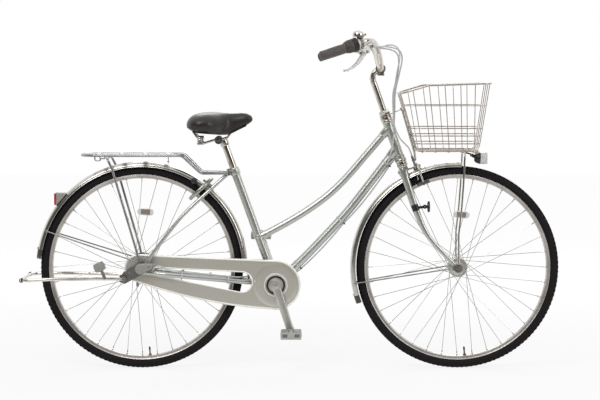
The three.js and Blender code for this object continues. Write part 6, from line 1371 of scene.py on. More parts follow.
def stand_tread():
    """Foot tread on the right leg: a rubber barrel with grooves on its arm."""
    y = -88.8
    centre = at(-136, y, 349)
    arm = tube(rounded([at(-118, y, STAND_PIVOT.z + 2), at(-126, y, 330), at(-133, y, 345)], 10, 4), 5.4,
        14)
    lean = pitched(-24)
    barrel = block(centre, (38, 29, 29), lean, 9)
    ribs = [block(centre + lean @ at((k - 2) * 7, 0, 14.2), (3, 26, 2.4), lean, 0.8) for k in range(5)]
    return arm, [barrel, *ribs]


def gear_cover():
    """Rounded plastic cover of the gear rod, over the right axle end, with two screws and a cable stop."""
    turn = pitched(-16)
    rows = []
    for y, shrink in ((-73, 0), (-88, 0), (-92, 1.6), (-93.6, 4.6), (-94, 7.5)):
        outline = arc_outline((34, 0), 10 - shrink, (0, 0), 18 - shrink, 18)
        rows.append([at(0, 0, AXLE_Z) + turn @ at(x, y, z) for x, z in outline])
    screws = [domed(at(0, 0, AXLE_Z) + turn @ at(x, -93.8, 0), at(0, -1, 0), 2.8, 1.2) for x in (-3, 30)]
    seam = tube([at(0, 0, AXLE_Z) + turn @ at(x, -80, z) for x, z in arc_outline((34, 0), 10.1, (0, 0),
        18.1, 14)], 0.7, 6, closed=True)
    stop = turned([(2.6, 0), (5, 0), (5, 11), (3.4, 14), (2.6, 14)], at(0, 0, AXLE_Z) + turn @ at(42, -83,
        0), turn @ at(1, 0, 0), 16, True)
    make("gear_cover", "frame", [(COVER_GREY, [lofted(rows), seam, stop]), (ZINC, screws)],
        crease=34)


def brake_drum():
    """Band brake: ribbed housing, its anchor strap and clip, and the arm that the cable pulls."""
    housing = cross_turned([(17.3, 35.6), (45, 35.6), (46, 36.6), (46, 42), (44.8, 42.6), (44.8, 44),
        (46, 44.6), (46, 48.6), (41.4, 52.8), (24, 53.2), (22, 52.2), (6, 52.2), (6, 49.2), (17.3, 49.2)],
        0, AXLE_Z, 56, True)
    bolts = [hexagon(polar(0, AXLE_Z, 33, degrees, 52.8), LEFT, 7, 2.4) for degrees in (30, 150, 270)]
    hold, ahead = stay_place(130, 0, 1), stay_place(138, 0, 1)
    band = turned(hollow(9.9, 11.1, 0, 8), hold, ahead - hold, 28, True)
    strap = block(at((138 + 37) / 2, ahead.y - 9.9 - 1.4, hold.z), (101, 4, 12), None, 1)
    make("rear_brake_drum", "frame", [(ZINC, [housing, *bolts, strap, band])])
    x, z = -20, AXLE_Z - 8
    arm = slab([(x - 7, z + 3), (x - 4.5, z + 6.6), (x, z + 7.6), (x + 4.5, z + 6.6), (x + 7, z + 3),
        (x + 4.6, z - 62), (x + 3, z - 65.4), (x - 3, z - 65.4), (x - 4.6, z - 62)], 53.5, 57.2)
    nut = [hexagon(at(x, 57, z), LEFT, 11, 4), hexagon(at(x, 57, z - 58), LEFT, 8, 4)]
    make("rear_brake_arm", "brake_arm", [(ZINC, [arm, *nut])], bevel=0.5)


def ring_lock():
    """Ring lock: its open ring round the tyre, the two mounting blocks, the lock cylinder and the bolt."""
    plane = 42.7
    up, back = polar(0, 0, 1, plane), polar(0, 0, 1, plane + 90)
    centre = polar(0, AXLE_Z, 279, 55) + up * 50

    def radial(degrees):
        angle = radians(degrees)
        return up * cos(angle) - LEFT * sin(angle)

    def round_ring(degrees, depth=0.0):
        return centre + radial(degrees) * 50 + back * depth

    rings = []
    for k in range(57):
        degrees = mix(-150, 150, k / 56)
        swell = 1 + 0.18 * exp(-((degrees + 62) / 22) ** 2)
        swell *= min(1, (min(degrees + 150, 150 - degrees) + 6) / 12)
        rings.append(oval(round_ring(degrees), back, radial(degrees), 6.8 * swell, 7.8 * swell, 16, 3))
    mounts = [block(centre + up * 30 + back * -10 + at(0, y, 0), (14, 13, 20), pitched(-plane), 2)
        for y in (-41, 41)]
    cylinder = turned([(0, 0), (8, 0), (8.6, 1), (8.6, 13), (7.6, 14), (3, 14), (3, 13.2), (0, 13.2)],
        round_ring(-62, 2), back, 24)
    # The key slot is a tiny black block on the cylinder: painted shade in the keyhole.
    keyhole_shade = block(round_ring(-62, 16.1), (4, 1.2, 0.6), pitched(-plane))
    make("ring_lock", "frame", [(LOCK_GREY, [lofted(rings), *mounts]), (ZINC, [cylinder]),
        (BLACK_RUBBER, [keyhole_shade])], ["ring_lock_body"], 40)
    bolt_path = [round_ring(mix(68, 148, k / 24)) for k in range(25)]
    tip = round_ring(80, 36)
    make("lock_bolt", "lock_bolt", [(CHROME, [tube(bolt_path, 3.6, 14)]),
        (BLACK_PLASTIC, [rod(round_ring(80), tip, 2.6, 14), ball(tip, 10.8, 14)])], crease=40)


mudguards()
rack()
axles()
stand()
gear_cover()
brake_drum()
ring_lock()


# Saddle and its post

CLAMP = SEAT_TOP + SEAT_UP * 101 - at(15)
SADDLE_REAR = 147
SADDLE_LENGTH = 234
SADDLE_HALF = 100
SADDLE_BASE = 790.5
SADDLE_HEIGHT = 76
SADDLE_PLAN = [(0, 0.3, 0.44, 0.3), (0.012, 0.5, 0.56, 0.25), (0.035, 0.68, 0.71, 0.2),
    (0.1, 0.88, 0.88, 0.14), (0.2, 1, 0.97, 0.09), (0.31, 0.98, 1, 0.06), (0.43, 0.82, 0.97, 0.03),
    (0.54, 0.56, 0.93, 0.01), (0.64, 0.37, 0.92, 0.03), (0.76, 0.28, 0.95, 0.2), (0.88, 0.25, 0.98, 0.38),
    (0.95, 0.22, 0.92, 0.48), (0.985, 0.16, 0.82, 0.55), (1, 0.08, 0.72, 0.61)]
SADDLE_SECTION = [(0, 1), (0.34, 0.98), (0.64, 0.9), (0.88, 0.72), (1, 0.46), (0.98, 0.2), (0.9, 0.05),
    (0.82, 0), (0.4, 0.04)]
SADDLE_LINES = smooth_path([Vector(row) for row in SADDLE_PLAN], 5)


def saddle_place(line, across, height, inset=0.0):
    """A point on the cover: its line of the plan, then shares of that line's width and height."""
    length, wide, top, bottom = line
    low, high = SADDLE_BASE + SADDLE_HEIGHT * bottom, SADDLE_BASE + SADDLE_HEIGHT * top
    middle = (SADDLE_LENGTH / 2 - inset) * (2 * length - 1)
    return at(SADDLE_REAR + SADDLE_LENGTH / 2 + middle, across * max(SADDLE_HALF * wide - inset, 2),
        mix(low + inset * 0.3, high - inset, height))


def saddle_outline():
    half = smooth_path([at(a, 0, h) for a, h in SADDLE_SECTION], 4)
    return [(p.x, p.z) for p in half] + [(-p.x, p.z) for p in reversed(half[1:])]


def swollen(piece, cell, pressure, cap, fixed_below):
    """Swells a closed soft piece by a short cloth run, no point further than cap, its foot held."""
    even = piece.modifiers.new("Even", "REMESH")
    even.mode = "VOXEL"
    even.voxel_size = cell
    apply_modifiers(piece)
    starts = [corner.co.copy() for corner in piece.data.vertices]
    held = piece.vertex_groups.new(name="held")
    held.add([corner.index for corner in piece.data.vertices if fixed_below(corner.co)], 1.0, "REPLACE")
    cloth = piece.modifiers.new("Swell", "CLOTH")
    cloth.settings.vertex_group_mass = held.name
    cloth.settings.use_pressure = True
    cloth.settings.uniform_pressure_force = pressure
    cloth.settings.effector_weights.gravity = 0
    for number in range(1, 21):
        SCENE.frame_set(number)
    apply_modifiers(piece)
    SCENE.frame_set(1)
    for corner, start in zip(piece.data.vertices, starts):
        move = corner.co - start
        if move.length > cap:
            corner.co = start + move.normalized() * cap
    piece.vertex_groups.clear()
    smoother = piece.modifiers.new("Round", "SUBSURF")
    smoother.levels = smoother.render_levels = 1
    relaxed = piece.modifiers.new("Relax", "SMOOTH")
    relaxed.factor = 0.6
    relaxed.iterations = 26
    apply_modifiers(piece)


def gathered(piece):
    """Shallow gathers where the vinyl is pulled round the foot of the tail and of the nose."""
    mesh = piece.data
    middle = spot((SADDLE_REAR + SADDLE_LENGTH * 0.3, 0, SADDLE_BASE + 20))
    normals = [corner.normal.copy() for corner in mesh.vertices]
    for corner, normal in zip(mesh.vertices, normals):
        place = corner.co
        angle = atan2(place.y, place.x - middle.x)
        foot = max(0.0, 1 - (place.z - spot((0, 0, SADDLE_BASE + 4)).z) / 0.042)
        tail = max(0.0, (middle.x - place.x) / 0.07)
        depth = 0.0008 * min(foot, 1) ** 1.5 * min(tail, 1)
        waist = exp(-((place.x - spot((214, 0, 0)).x) / 0.012) ** 2) * min(foot * 1.5, 1)
        corner.co = place - normal * (depth * (0.5 + 0.5 * sin(angle * 34)) + 0.0016 * waist)


def saddle_cover():
    outline = saddle_outline()
    rings = [[saddle_place(line, a, h, 3.5) for a, h in outline] for line in SADDLE_LINES]
    piece = mesh_object("saddle_cover", [(lofted(rings), 0)], [VINYL])
    foot_height = spot((0, 0, SADDLE_BASE + 3)).z
    swollen(piece, 0.005, 4.0, 0.006, lambda place: place.z < foot_height)
    gathered(piece)
    finish_mesh(piece, 60)
    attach(piece, "saddle")
    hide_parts("saddle_cover")
    edge = edge_line(piece, 0.94, 0.1, 0.2)
    make("saddle_edge", "saddle", [(VINYL, [tube(edge, 0.9, 8, closed=True)])], ())
    stitched("saddle_stitches", "saddle", THREAD, edge_line(piece, 0.99, 0.2, 0.25), 150,
        3.0, 0.8)
    pan = [[saddle_place(line, a * 0.9, h) - at(0, 0, 1.5) for a, h in ((-0.86, 0), (0.86, 0), (0.84, 0.12),
        (-0.84, 0.12))] for line in SADDLE_LINES[16:-15]]
    make("saddle_pan", "saddle", [(BLACK_PLASTIC, [lofted(pan)])], ())


def edge_line(piece, across, height, proud):
    """Closed line round the cover at a share of its width and height, laid on the finished surface."""
    lines = SADDLE_LINES[4:-5]
    raw = [saddle_place(line, across, height) for line in lines]
    raw += [saddle_place(line, -across, height) for line in reversed(lines)]
    laid = []
    for place in raw:
        _, point, normal, _ = piece.closest_point_on_mesh(spot(place))
        point = (point + normal * (proud * MM)) / MM
        laid.append(at(point.x - REAR_AXLE / MM, point.y, point.z))
    return laid


def coil(side):
    """Coil spring under the tail, with its closed end turns."""
    path = []
    turns, steps = 4, 20
    for k in range(turns * steps + 1):
        share = k / (turns * steps)
        angle = 2 * pi * k / steps
        radius = 9 - 1.2 * abs(2 * share - 1) ** 4
        rise = 21 * (share * 0.82 + 0.09 * (1 - cos(pi * share)))
        path.append(at(199 + radius * cos(angle), side * 56 + radius * sin(angle), 760.4 + rise))
    return tube(path, 1.7, 8)


def saddle_frame():
    rail = [at(345, 7.3, 824), at(308, 19, 804), at(CLAMP.x + 26, 22, CLAMP.z + 4),
        at(CLAMP.x - 14, 22, CLAMP.z), at(208, 56, 760), at(190, 56, 760)]
    loop = [at(208, 56, 781), at(190, 56, 781), at(176, 39, 798.4), at(176, -39, 798.4), at(190, -56, 781),
        at(208, -56, 781)]
    whole = rounded(rail[::-1] + opposite(rail[::-1]), 14, 6)
    seats = [turned([(0, z), (7.4, z), (8.6, z + 0.8), (8.6, z + 1.6), (0, z + 1.6)], at(199, side * 56, 0),
        UP, 24) for side in (-1, 1) for z in (763.6, 776.2)]
    barrel = [cross_turned([(0, side * 9), (12.6, side * 9), (14, side * 10.2), (14, side * 15.6),
        (13, side * 16.4), (13, side * 17.2), (14, side * 18), (14, side * 24.4), (12.8, side * 25.6),
        (0, side * 25.6)], CLAMP.x, CLAMP.z, 36) for side in (-1, 1)]
    barrel.append(cross_turned(solid(6, -12, 12), CLAMP.x, CLAMP.z, 20))
    nuts = [hexagon(at(CLAMP.x, side * 25.4, CLAMP.z), at(0, side, 0), 13, 5.6) for side in (-1, 1)]
    threads = [turned([(0, 0), (3.6, 0), (3.6, 3), (2.8, 3.6), (0, 3.6)], at(CLAMP.x, side * 30.6, CLAMP.z),
        at(0, side, 0), 16) for side in (-1, 1)]
    teeth = []
    for side in (-1, 1):
        for k in range(24):
            turn = Matrix.Rotation(2 * pi * k / 24, 3, "Y")
            teeth.append(block(at(CLAMP.x, side * 17, CLAMP.z) + turn @ at(0, 0, 13.2), (1.4, 2.4, 1.6),
                turn, 0.2))
    post_top = SEAT_TOP + SEAT_UP * 108
    collar = turned([(12.9, -28), (15, -28), (15.5, -27), (15.5, -2), (14.6, 0), (12.9, 0)], post_top,
        SEAT_UP, 36, True)
    strap = block(mix(CLAMP, post_top - SEAT_UP * 9, 0.5), (13, 19, 19),
        Matrix.Rotation(pi / 2 - SEAT_ANGLE, 3, "Y"), 2)
    make("saddle_frame", "saddle",
        [(STAINLESS, [tube(whole, 3.5, 14), tube(rounded(loop, 9, 5), 3.5, 14), *seats]),
        (DARK_STEEL, barrel), (ZINC, [*nuts, *threads, *teeth]), (CHROME, [collar, strap])], crease=34)
    make("saddle_springs", "saddle", [(STAINLESS, [coil(-1), coil(1)])], ())
    post = turned([(0, -130), (11.6, -130), (12.5, -128.6), (12.5, 96), (12, 98), (11.2, 106.6),
        (10.6, 107.8), (0, 107.8)], SEAT_TOP, SEAT_UP, 48)
    make("seat_post", "saddle", [(CHROME, [post])])


saddle_cover()
saddle_frame()


# Fork and headset

STEER_TURN = Matrix.Rotation(HEAD_ANGLE - pi / 2, 3, "Y")


BLADE_SHARES = [(0, 1), (0.136, 0.747), (0.255, 0.558), (0.44, 0.338), (0.739, 0.143), (1, 0)]


def blade_line():
    """Middle line of the left blade with its half sizes, as (place, wide, tall)."""
    top = steer(372)
    rows = [(top.x, top.z - AXLE_Z)] + [(WHEELBASE - 184 * (1 - ahead), 328 * rise)
        for ahead, rise in BLADE_SHARES]
    stations = []
    for x, rise in rows:
        share = max(0, 1 - rise / 328)
        stations.append(Vector((x, mix(38, FRONT_DROPOUT_Y, share), AXLE_Z + rise, mix(13.5, 6.5, share),
            mix(9, 6.5, share))))
    line = smooth_path(stations, 6)
    return [(at(row[0], row[1], row[2]), row[3], row[4]) for row in line]


def blade_rings(line, extra=0.0):
    rings = []
    for i, (place, wide, tall) in enumerate(line):
        before, after = line[max(i - 1, 0)][0], line[min(i + 1, len(line) - 1)][0]
        run = (after - before).normalized()
        rings.append(oval(place, run.cross(LEFT).normalized(), LEFT, wide + extra, tall + extra, 24))
    return lofted(rings)


def fork():
    line = blade_line()
    blade = blade_rings(line)
    socket = blade_rings([row for row in line if row[0].z > 646], 1.1)
    bead = blade_rings([row for row in line if 645 < row[0].z < 656][:2], 1.8)
    crown = block(steer(375, -1), (31, 92, 22), STEER_TURN, 6)
    crown_top = turned([(12, 384), (19.4, 384), (19.4, 388.4), (18, 390), (12, 390)], STEER_FOOT, STEER_UP,
        40, True)
    tongue = slab([(WHEELBASE - 12, AXLE_Z + 16), (WHEELBASE - 14, AXLE_Z + 2),
        (WHEELBASE - 9, AXLE_Z - 12), (WHEELBASE + 4, AXLE_Z - 15), (WHEELBASE + 13, AXLE_Z - 8),
        (WHEELBASE + 13, AXLE_Z + 6), (WHEELBASE + 4, AXLE_Z + 14)], 50, 55)
    cone = turned([(12.8, 390), (15, 390), (18.4, 392), (18.5, 396), (17.6, 399.6), (12.8, 399.6)],
        STEER_FOOT, STEER_UP, 40, True)
    cup = turned([(12.8, 547.4), (18.2, 547.4), (18.5, 548.4), (18.5, 559.6), (17.6, 561.2), (16, 561.4),
        (16, 566), (12.8, 566)], STEER_FOOT, STEER_UP, 40, True)
    notches = [block(STEER_FOOT + STEER_UP * 554 + STEER_TURN @ at(18.4 * cos(a), 18.4 * sin(a), 0),
        (1.2, 2.4, 9), STEER_TURN @ Matrix.Rotation(a, 3, "Z"), 0.3)
        for a in (2 * pi * k / 20 for k in range(20))]
    nut = hexagon(STEER_FOOT, STEER_UP, 35, 13.6, 566.2)
    lip = turned([(11.4, 579.6), (15, 579.6), (14.6, 580.6), (11.4, 580.6)], STEER_FOOT, STEER_UP, 32, True)
    bolt = rod(steer(367, 10), steer(367, 58), 3, 16)
    bolt_nut = hexagon(steer(367, 51.4), STEER_AHEAD, 10, 5)
    rear_nut = hexagon(steer(367, -17), STEER_AHEAD * -1, 10, 5)
    steerer = rod(steer(386), steer(548), 12.6, 32)
    make("fork", "steering",
        [(PAINT, both_sides(blade) + both_sides(socket) + both_sides(bead) + [crown, crown_top]
        + both_sides(tongue)), (CHROME, [cone, cup, *notches, nut, lip, steerer]),
        (ZINC, [bolt, bolt_nut, rear_nut])], crease=36)
    fork_reflector()


def fork_reflector():
    """Round reflector that faces forward, on a short arm ahead of the right blade."""
    blade = min(blade_line(), key=lambda row: abs(row[0].z - 548))[0]
    seat = at(blade.x + 40, -47, 549)
    cup = turned([(0, 0), (12, 0), (18, 2), (19, 4), (19, 7.4), (18, 8), (17.2, 7.2), (0, 7.2)], seat,
        at(1), 36)
    lens = turned([(0, 7.2), (17, 7.2), (16.6, 9), (10, 9.8), (0, 10)], seat, at(1), 36)
    arm = [block(at(blade.x + 25, -45.4, 547.6), (34, 9, 9), pitched(-6), 2),
        turned(solid(7, -4, 4), at(blade.x + 32, -46, 549), LEFT, 24)]
    band = blade_rings([row for row in blade_line() if 533 < row[0].z < 563], 1.4)
    make("fork_reflector", "steering", [(BLACK_PLASTIC, [cup, *arm, mirrored(band)]),
        (CLEAR, [lens]), (ZINC, [domed(at(blade.x + 32, -50, 549), at(0, -1, 0), 3, 1.6)])], (), 36)


# Stem, bar and grips

BAR_CLAMP = steer(718, 36)


def bar_place(back, side, rise):
    return at(BAR_CLAMP.x - 200 * back, 270 * side, BAR_CLAMP.z + 91 * rise)


BAR_BENDS = [bar_place(*shares) for shares in [(0, 0.11, 0), (0.02, 0.22, 0.22), (0.068, 0.352, 0.665),
    (0.17, 0.59, 0.985), (0.2615, 0.752, 0.989)]]
BAR_END = bar_place(1, 1, 41 / 91)
BAR_OUT = (BAR_END - BAR_BENDS[-1]).normalized()
BAR_UP = (UP - BAR_OUT * BAR_OUT.z).normalized()
BRACKET_SPOT = 144.6
LEVER_PIVOT = at(-12, 0, -33)


def bar_spot(distance):
    return BAR_END - BAR_OUT * distance


def on_bar(shape, distance):
    """A shape drawn in a plain frame, put on the left end of the bar at a distance from its tip."""
    return posed(shape, bar_spot(distance), BAR_OUT, BAR_UP)


def stem():
    quill = turned([(0, 509.7), (10, 509.7), (11.1, 511), (11.1, 680), (0, 680)], STEER_FOOT, STEER_UP, 40)
    path = smooth_path([steer(670), steer(686), steer(706, 6), steer(714, 17),
        BAR_CLAMP - STEER_AHEAD * 10], 6)
    rings = []
    for i, place in enumerate(path):
        run = (path[min(i + 1, len(path) - 1)] - path[max(i - 1, 0)]).normalized()
        share = i / (len(path) - 1)
        rings.append(oval(place, run.cross(LEFT).normalized(), LEFT, mix(11.1, 9.6, share),
            mix(11.1, 14.5, share), 28, mix(2, 2.6, share)))
    clamp = cross_turned(balanced([(12.8, -20), (13.4, -21), (16, -21), (17, -20)]), BAR_CLAMP.x,
        BAR_CLAMP.z, 44, True)
    ears = [block(BAR_CLAMP + at(way * 4 + 1, 0, -18), (6, 26, 12), None, 1.6) for way in (-1, 1)]
    # The clamp's slit is a thin black block between the ears: painted shade in the gap.
    slit_shade = block(BAR_CLAMP + at(1, 0, -17.4), (2.2, 41, 9), None)
    screw = [rod(BAR_CLAMP + at(-8, 0, -18.6), BAR_CLAMP + at(9, 0, -18.6), 3.2, 16),
        hexagon(BAR_CLAMP + at(7.6, 0, -18.6), at(1), 10, 5.4), domed(BAR_CLAMP + at(-6.6, 0, -18.6),
        at(-1), 5.6, 3)]
    wedge = [hexagon(steer(697, -2), STEER_UP, 11, 5.5), turned([(0, 0), (9, 0), (8, 1.8), (0, 1.8)],
        steer(696.4, -2), STEER_UP, 28)]
    make("stem", "steering", [(CHROME, [quill, lofted(rings), clamp, *ears]),
        (ZINC, screw + wedge), (BLACK_PLASTIC, [slit_shade])], crease=36)


def handlebar():
    half = smooth_path([*BAR_BENDS, bar_spot((BAR_END - BAR_BENDS[-1]).length * 0.5), BAR_END], 10)
    path = opposite(half) + half
    sleeve = cross_turned(balanced([(11, -30), (12.2, -30), (12.7, -29.4)]), BAR_CLAMP.x, BAR_CLAMP.z, 40,
        True)
    lines = [cross_turned([(12.6, y - 0.35), (12.95, y), (12.6, y + 0.35)], BAR_CLAMP.x, BAR_CLAMP.z, 40,
        True) for y in (-27, -24.8, 24.8, 27)]
    make("handlebar", "steering", [(CHROME, [tube(path, 11.1, 32), sleeve, *lines])])


def fluted(profile, flutes, depth, steps, first, last):
    """Turned grip along the plain frame's x whose lengthwise flutes run between two distances."""
    rings = []
    for radius, distance in profile:
        inside = first <= distance <= last
        ring_points = []
        for k in range(steps):
            angle = 2 * pi * k / steps
            size = radius - (depth * (0.5 + 0.5 * cos(flutes * angle)) ** 3 if inside else 0)
            ring_points.append(at(-distance, size * cos(angle), size * sin(angle)))
        rings.append(ring_points)
    return lofted(rings)


def grip(length):
    """Moulded grip with a ringed cap, lengthwise flutes and a thicker inner end."""
    profile = [(9, -3.2), (12, -3.2), (14.4, -2.2), (15.2, 0), (15.2, 3), (14, 3.8), (14, 5.6), (14.7, 6.6)]
    for k in range(15):
        share = k / 14
        profile.append((14.8 + 0.7 * share + 0.9 * sin(pi * share) * 0.4, mix(9, length - 9, share)))
    profile += [(15.6, length - 6), (16.4, length - 5), (16.4, length - 0.6), (15.4, length)]
    return fluted(profile, 18, 0.55, 108, 10, length - 10)


def grips():
    left, right = on_bar(grip(130.5), 0), on_bar(grip(87.5), 0)
    plug = on_bar(turned([(0, 2.6), (7, 2.6), (7.6, 3.2), (7.6, 3.8), (0, 4.2)], at(0), at(1), 28), 0)
    make("left_grip", "steering", [(GRIP_GREY, [left]), (BLACK_PLASTIC, [plug])], crease=50)
    make("right_grip", "steering",
        [(GRIP_GREY, [mirrored(right)]), (BLACK_PLASTIC, [mirrored(plug)])], crease=50)
    barrel = fluted([(15.8, 0.4), (18.4, 0.8), (19.2, 2), (20, 6), (21.2, 9), (21.8, 12), (22, 16),
        (22, 22), (21.6, 25), (20.6, 26.2)], 24, 0.9, 144, 4, 24)
    rings = [turned([(12, -x), (r - 0.8, -x), (r, -x - 0.8), (r, -x - w + 0.8), (r - 0.8, -x - w),
        (12, -x - w)], at(0), at(1), 48, True) for x, w, r in ((26.6, 4.2, 22.6), (31.4, 3.4, 21.4),
        (35.4, 7, 22.9))]
    tongue = block(at(-39, 8, -20), (7, 9, 9), None, 2)
    outlet = turned([(0, 32), (4.6, 32), (4.6, 44), (3.4, 52), (0, 52)], at(0, 9, -21), at(-1), 18)
    shapes = [mirrored(on_bar(s, 88)) for s in (barrel, *rings, tongue, outlet)]
    make("twist_shifter", "shifter", [(SHIFTER_GREY, [shapes[0], shapes[2]]),
        (BLACK_PLASTIC, [shapes[1], *shapes[3:]])], crease=50)


def lever_bracket():
    """Clamp round the bar, the swelling body with its two cheeks, the pin and the cable adjuster."""
    clamp = turned(balanced([(11.4, -13), (15.8, -13), (17, -11.8)]), at(0), at(1), 40, True)
    rows = [(-10, 15, 10), (-15, 17, 10.4), (-20, 19.5, 10.2), (-24.5, 19, 9.6), (-27, 15, 8.4)]
    body = lofted([oval(at(-3 - (abs(z) - 10) * 0.35, 0, z), at(1), LEFT, wide, deep, 28, 2.8)
        for z, wide, deep in rows])
    cheek = [(-22, -20), (-26, -27), (-22, -36.6), (-15, -40), (-8, -39), (-2.4, -33), (3, -24), (6, -18)]
    cheeks = [prism([at(x, y, z) for x, z in cheek], at(0, 4.2, 0)) for y in (-9.9, 5.7)]
    pin = [turned([(0, side * 9.6), (4.4, side * 9.6), (4.2, side * 11.2), (0, side * 11.6)], LEVER_PIVOT,
        LEFT, 20) for side in (-1, 1)]
    pin.append(rod(LEVER_PIVOT - LEFT * 9.8, LEVER_PIVOT + LEFT * 9.8, 2.3, 14))
    nose = turned([(0, 12), (6.4, 12), (6.2, 24), (5.2, 27), (0, 27)], at(0, 0, -22), at(-1), 28)
    adjuster = turned([(0, 26), (4.6, 26), (4.9, 27), (4.9, 31), (4.2, 31.6), (4.2, 33), (5, 33.6), (5, 37),
        (0, 37)], at(0, 0, -22), at(-1), 20)
    ferrule = turned([(0, 36), (3.8, 36), (3.6, 42), (0, 42)], at(0, 0, -22), at(-1), 18)
    screw = [domed(at(2, -9.6, -16.6), at(0, -1, 0), 3.6, 2), hexagon(at(7, 0, -15.8), at(0, 0, -1), 7, 4)]
    return [clamp, body, *cheeks, nose], [*pin, adjuster, *screw], [ferrule]


def brake_lever():
    """Forged blade: a broad root round the pin, a shallow channel and a ball at the tip."""
    lean = radians(27)
    back, rise = at(cos(lean), 0, -sin(lean)), at(sin(lean), 0, cos(lean))
    shares = [Vector(row) for row in [(-0.06, 0.1, 4.6, 3.4), (0, 0, 4.9, 5.6), (0.1, -0.2, 5, 5),
        (0.2, -0.35, 5.2, 3.6), (0.5, -0.6, 4.8, 2.7), (0.8, -0.35, 4.3, 2.4), (1, 0.2, 3.9, 2.3)]]
    rings = []
    for length, drop, wide, tall in smooth_path(shares, 6):
        place = LEVER_PIVOT + back * (90 * length) + rise * (14 * drop)
        rings.append(oval(place, LEFT, rise, wide, tall, 20, 2.5))
    end = LEVER_PIVOT + back * 90 + rise * 2.8
    eye = turned(balanced([(2.6, -4.9), (5.6, -4.9), (6, -4.4)]), LEVER_PIVOT, LEFT, 28, True)
    anchor = turned(solid(3.4, -4.6, 4.6), LEVER_PIVOT + back * 3 + rise * 8, LEFT, 18)
    wire = rod(LEVER_PIVOT + back * 3 + rise * 8, at(-24, 0, -22), 0.8, 8)
    return [lofted(rings), ball(end, 5, 12), eye, anchor], [wire]


def levers():
    for side, name in ((1, "left"), (-1, "right")):
        turn = (lambda shape: shape) if side > 0 else mirrored
        bracket = [[turn(on_bar(s, BRACKET_SPOT)) for s in group] for group in lever_bracket()]
        make(name + "_lever_bracket", "steering", [(SATIN, bracket[0]), (ZINC, bracket[1]),
            (BLACK_PLASTIC, bracket[2])], crease=40)
        blade, wire = [[turn(on_bar(s, BRACKET_SPOT)) for s in group] for group in brake_lever()]
        make(name + "_brake_lever", name + "_lever", [(SATIN, blade), (ZINC, wire)], crease=40)


def bell():
    """Domed bell over the right bracket with its strap, cap screw, base and the striker on its ring."""
    low = 25.3
    dome = turned([(4, low + 19), (10, low + 17.4), (15, low + 13), (18.2, low + 6.6), (19, low + 1.4),
        (19, low), (18, low), (17.6, low + 1.6), (16.8, low + 6.2), (13.8, low + 11.8), (9, low + 15.8),
        (4, low + 17.2)], at(0), UP, 48, True)
    stalk = turned(solid(4.5, 17.2, low + 16), at(0), UP, 20)
    cap = domed(at(0, 0, low + 18.6), UP, 5, 0.9)
    strap = turned(hollow(17.05, 18.2, -5, 5), at(0), at(1), 44, True)
    shapes = [mirrored(on_bar(s, BRACKET_SPOT)) for s in (dome, cap, stalk, strap)]
    make("bell", "steering", [(CHROME, shapes[:2]), (ZINC, shapes[2:])], crease=40)
    ring_low = 17.8
    collar = turned(hollow(4.8, 6.9, ring_low, ring_low + 6.8), at(0), UP, 24, True)
    arm = tube(smooth_path([at(-6, 0, 21), at(-14, 0, 21.4), at(-21, 0, 21.6), at(-25, 0, 21.4)], 5), 2.2,
        12)
    knob = ball(at(-25.5, 0, 21.4), 3.6)
    drum = turned(balanced([(0, -4.6), (5.2, -4.6), (5.8, -4)]), at(-15, 0, 21), LEFT, 24)
    shapes = [mirrored(on_bar(s, BRACKET_SPOT)) for s in (collar, arm, knob, drum)]
    make("bell_striker", "striker", [(ZINC, shapes[:3]), (BELL_RESIN, shapes[3:])],
        crease=40)


fork()
stem()
handlebar()
grips()
levers()
bell()


# Basket

FLOOR_Z, REAR_RIM_Z, FRONT_RIM_Z = 733, 929, 962
BASKET_REAR, BASKET_FRONT = 925, 1129
RIM_REAR, RIM_FRONT = 868, 1164
RIM_BEND = RIM_REAR + (RIM_FRONT - RIM_REAR) * 0.3
RIM_BEND_Z = 955.4


def basket_rear(z):
    return mix(BASKET_REAR, RIM_REAR, (z - FLOOR_Z) / (REAR_RIM_Z - FLOOR_Z))


def basket_front(z):
    return mix(BASKET_FRONT, RIM_FRONT, (z - FLOOR_Z) / (FRONT_RIM_Z - FLOOR_Z))


def basket_half(z):
    return mix(140, 175, (z - FLOOR_Z) / (FRONT_RIM_Z - FLOOR_Z))


def rim_height(x):
    if x < RIM_BEND:
        return mix(REAR_RIM_Z, RIM_BEND_Z, (x - RIM_REAR) / (RIM_BEND - RIM_REAR))
    return mix(RIM_BEND_Z, FRONT_RIM_Z, (x - RIM_BEND) / (RIM_FRONT - RIM_BEND))


def hoop(z, radius, inset=0.0):
    rear, front, half = basket_rear(z) + inset, basket_front(z) - inset, basket_half(z) - inset
    corners = [at(rear, half, z), at(front, half, z), at(front, -half, z), at(rear, -half, z)]
    return tube(rounded(corners, 34, 7, closed=True), radius, 10, closed=True)


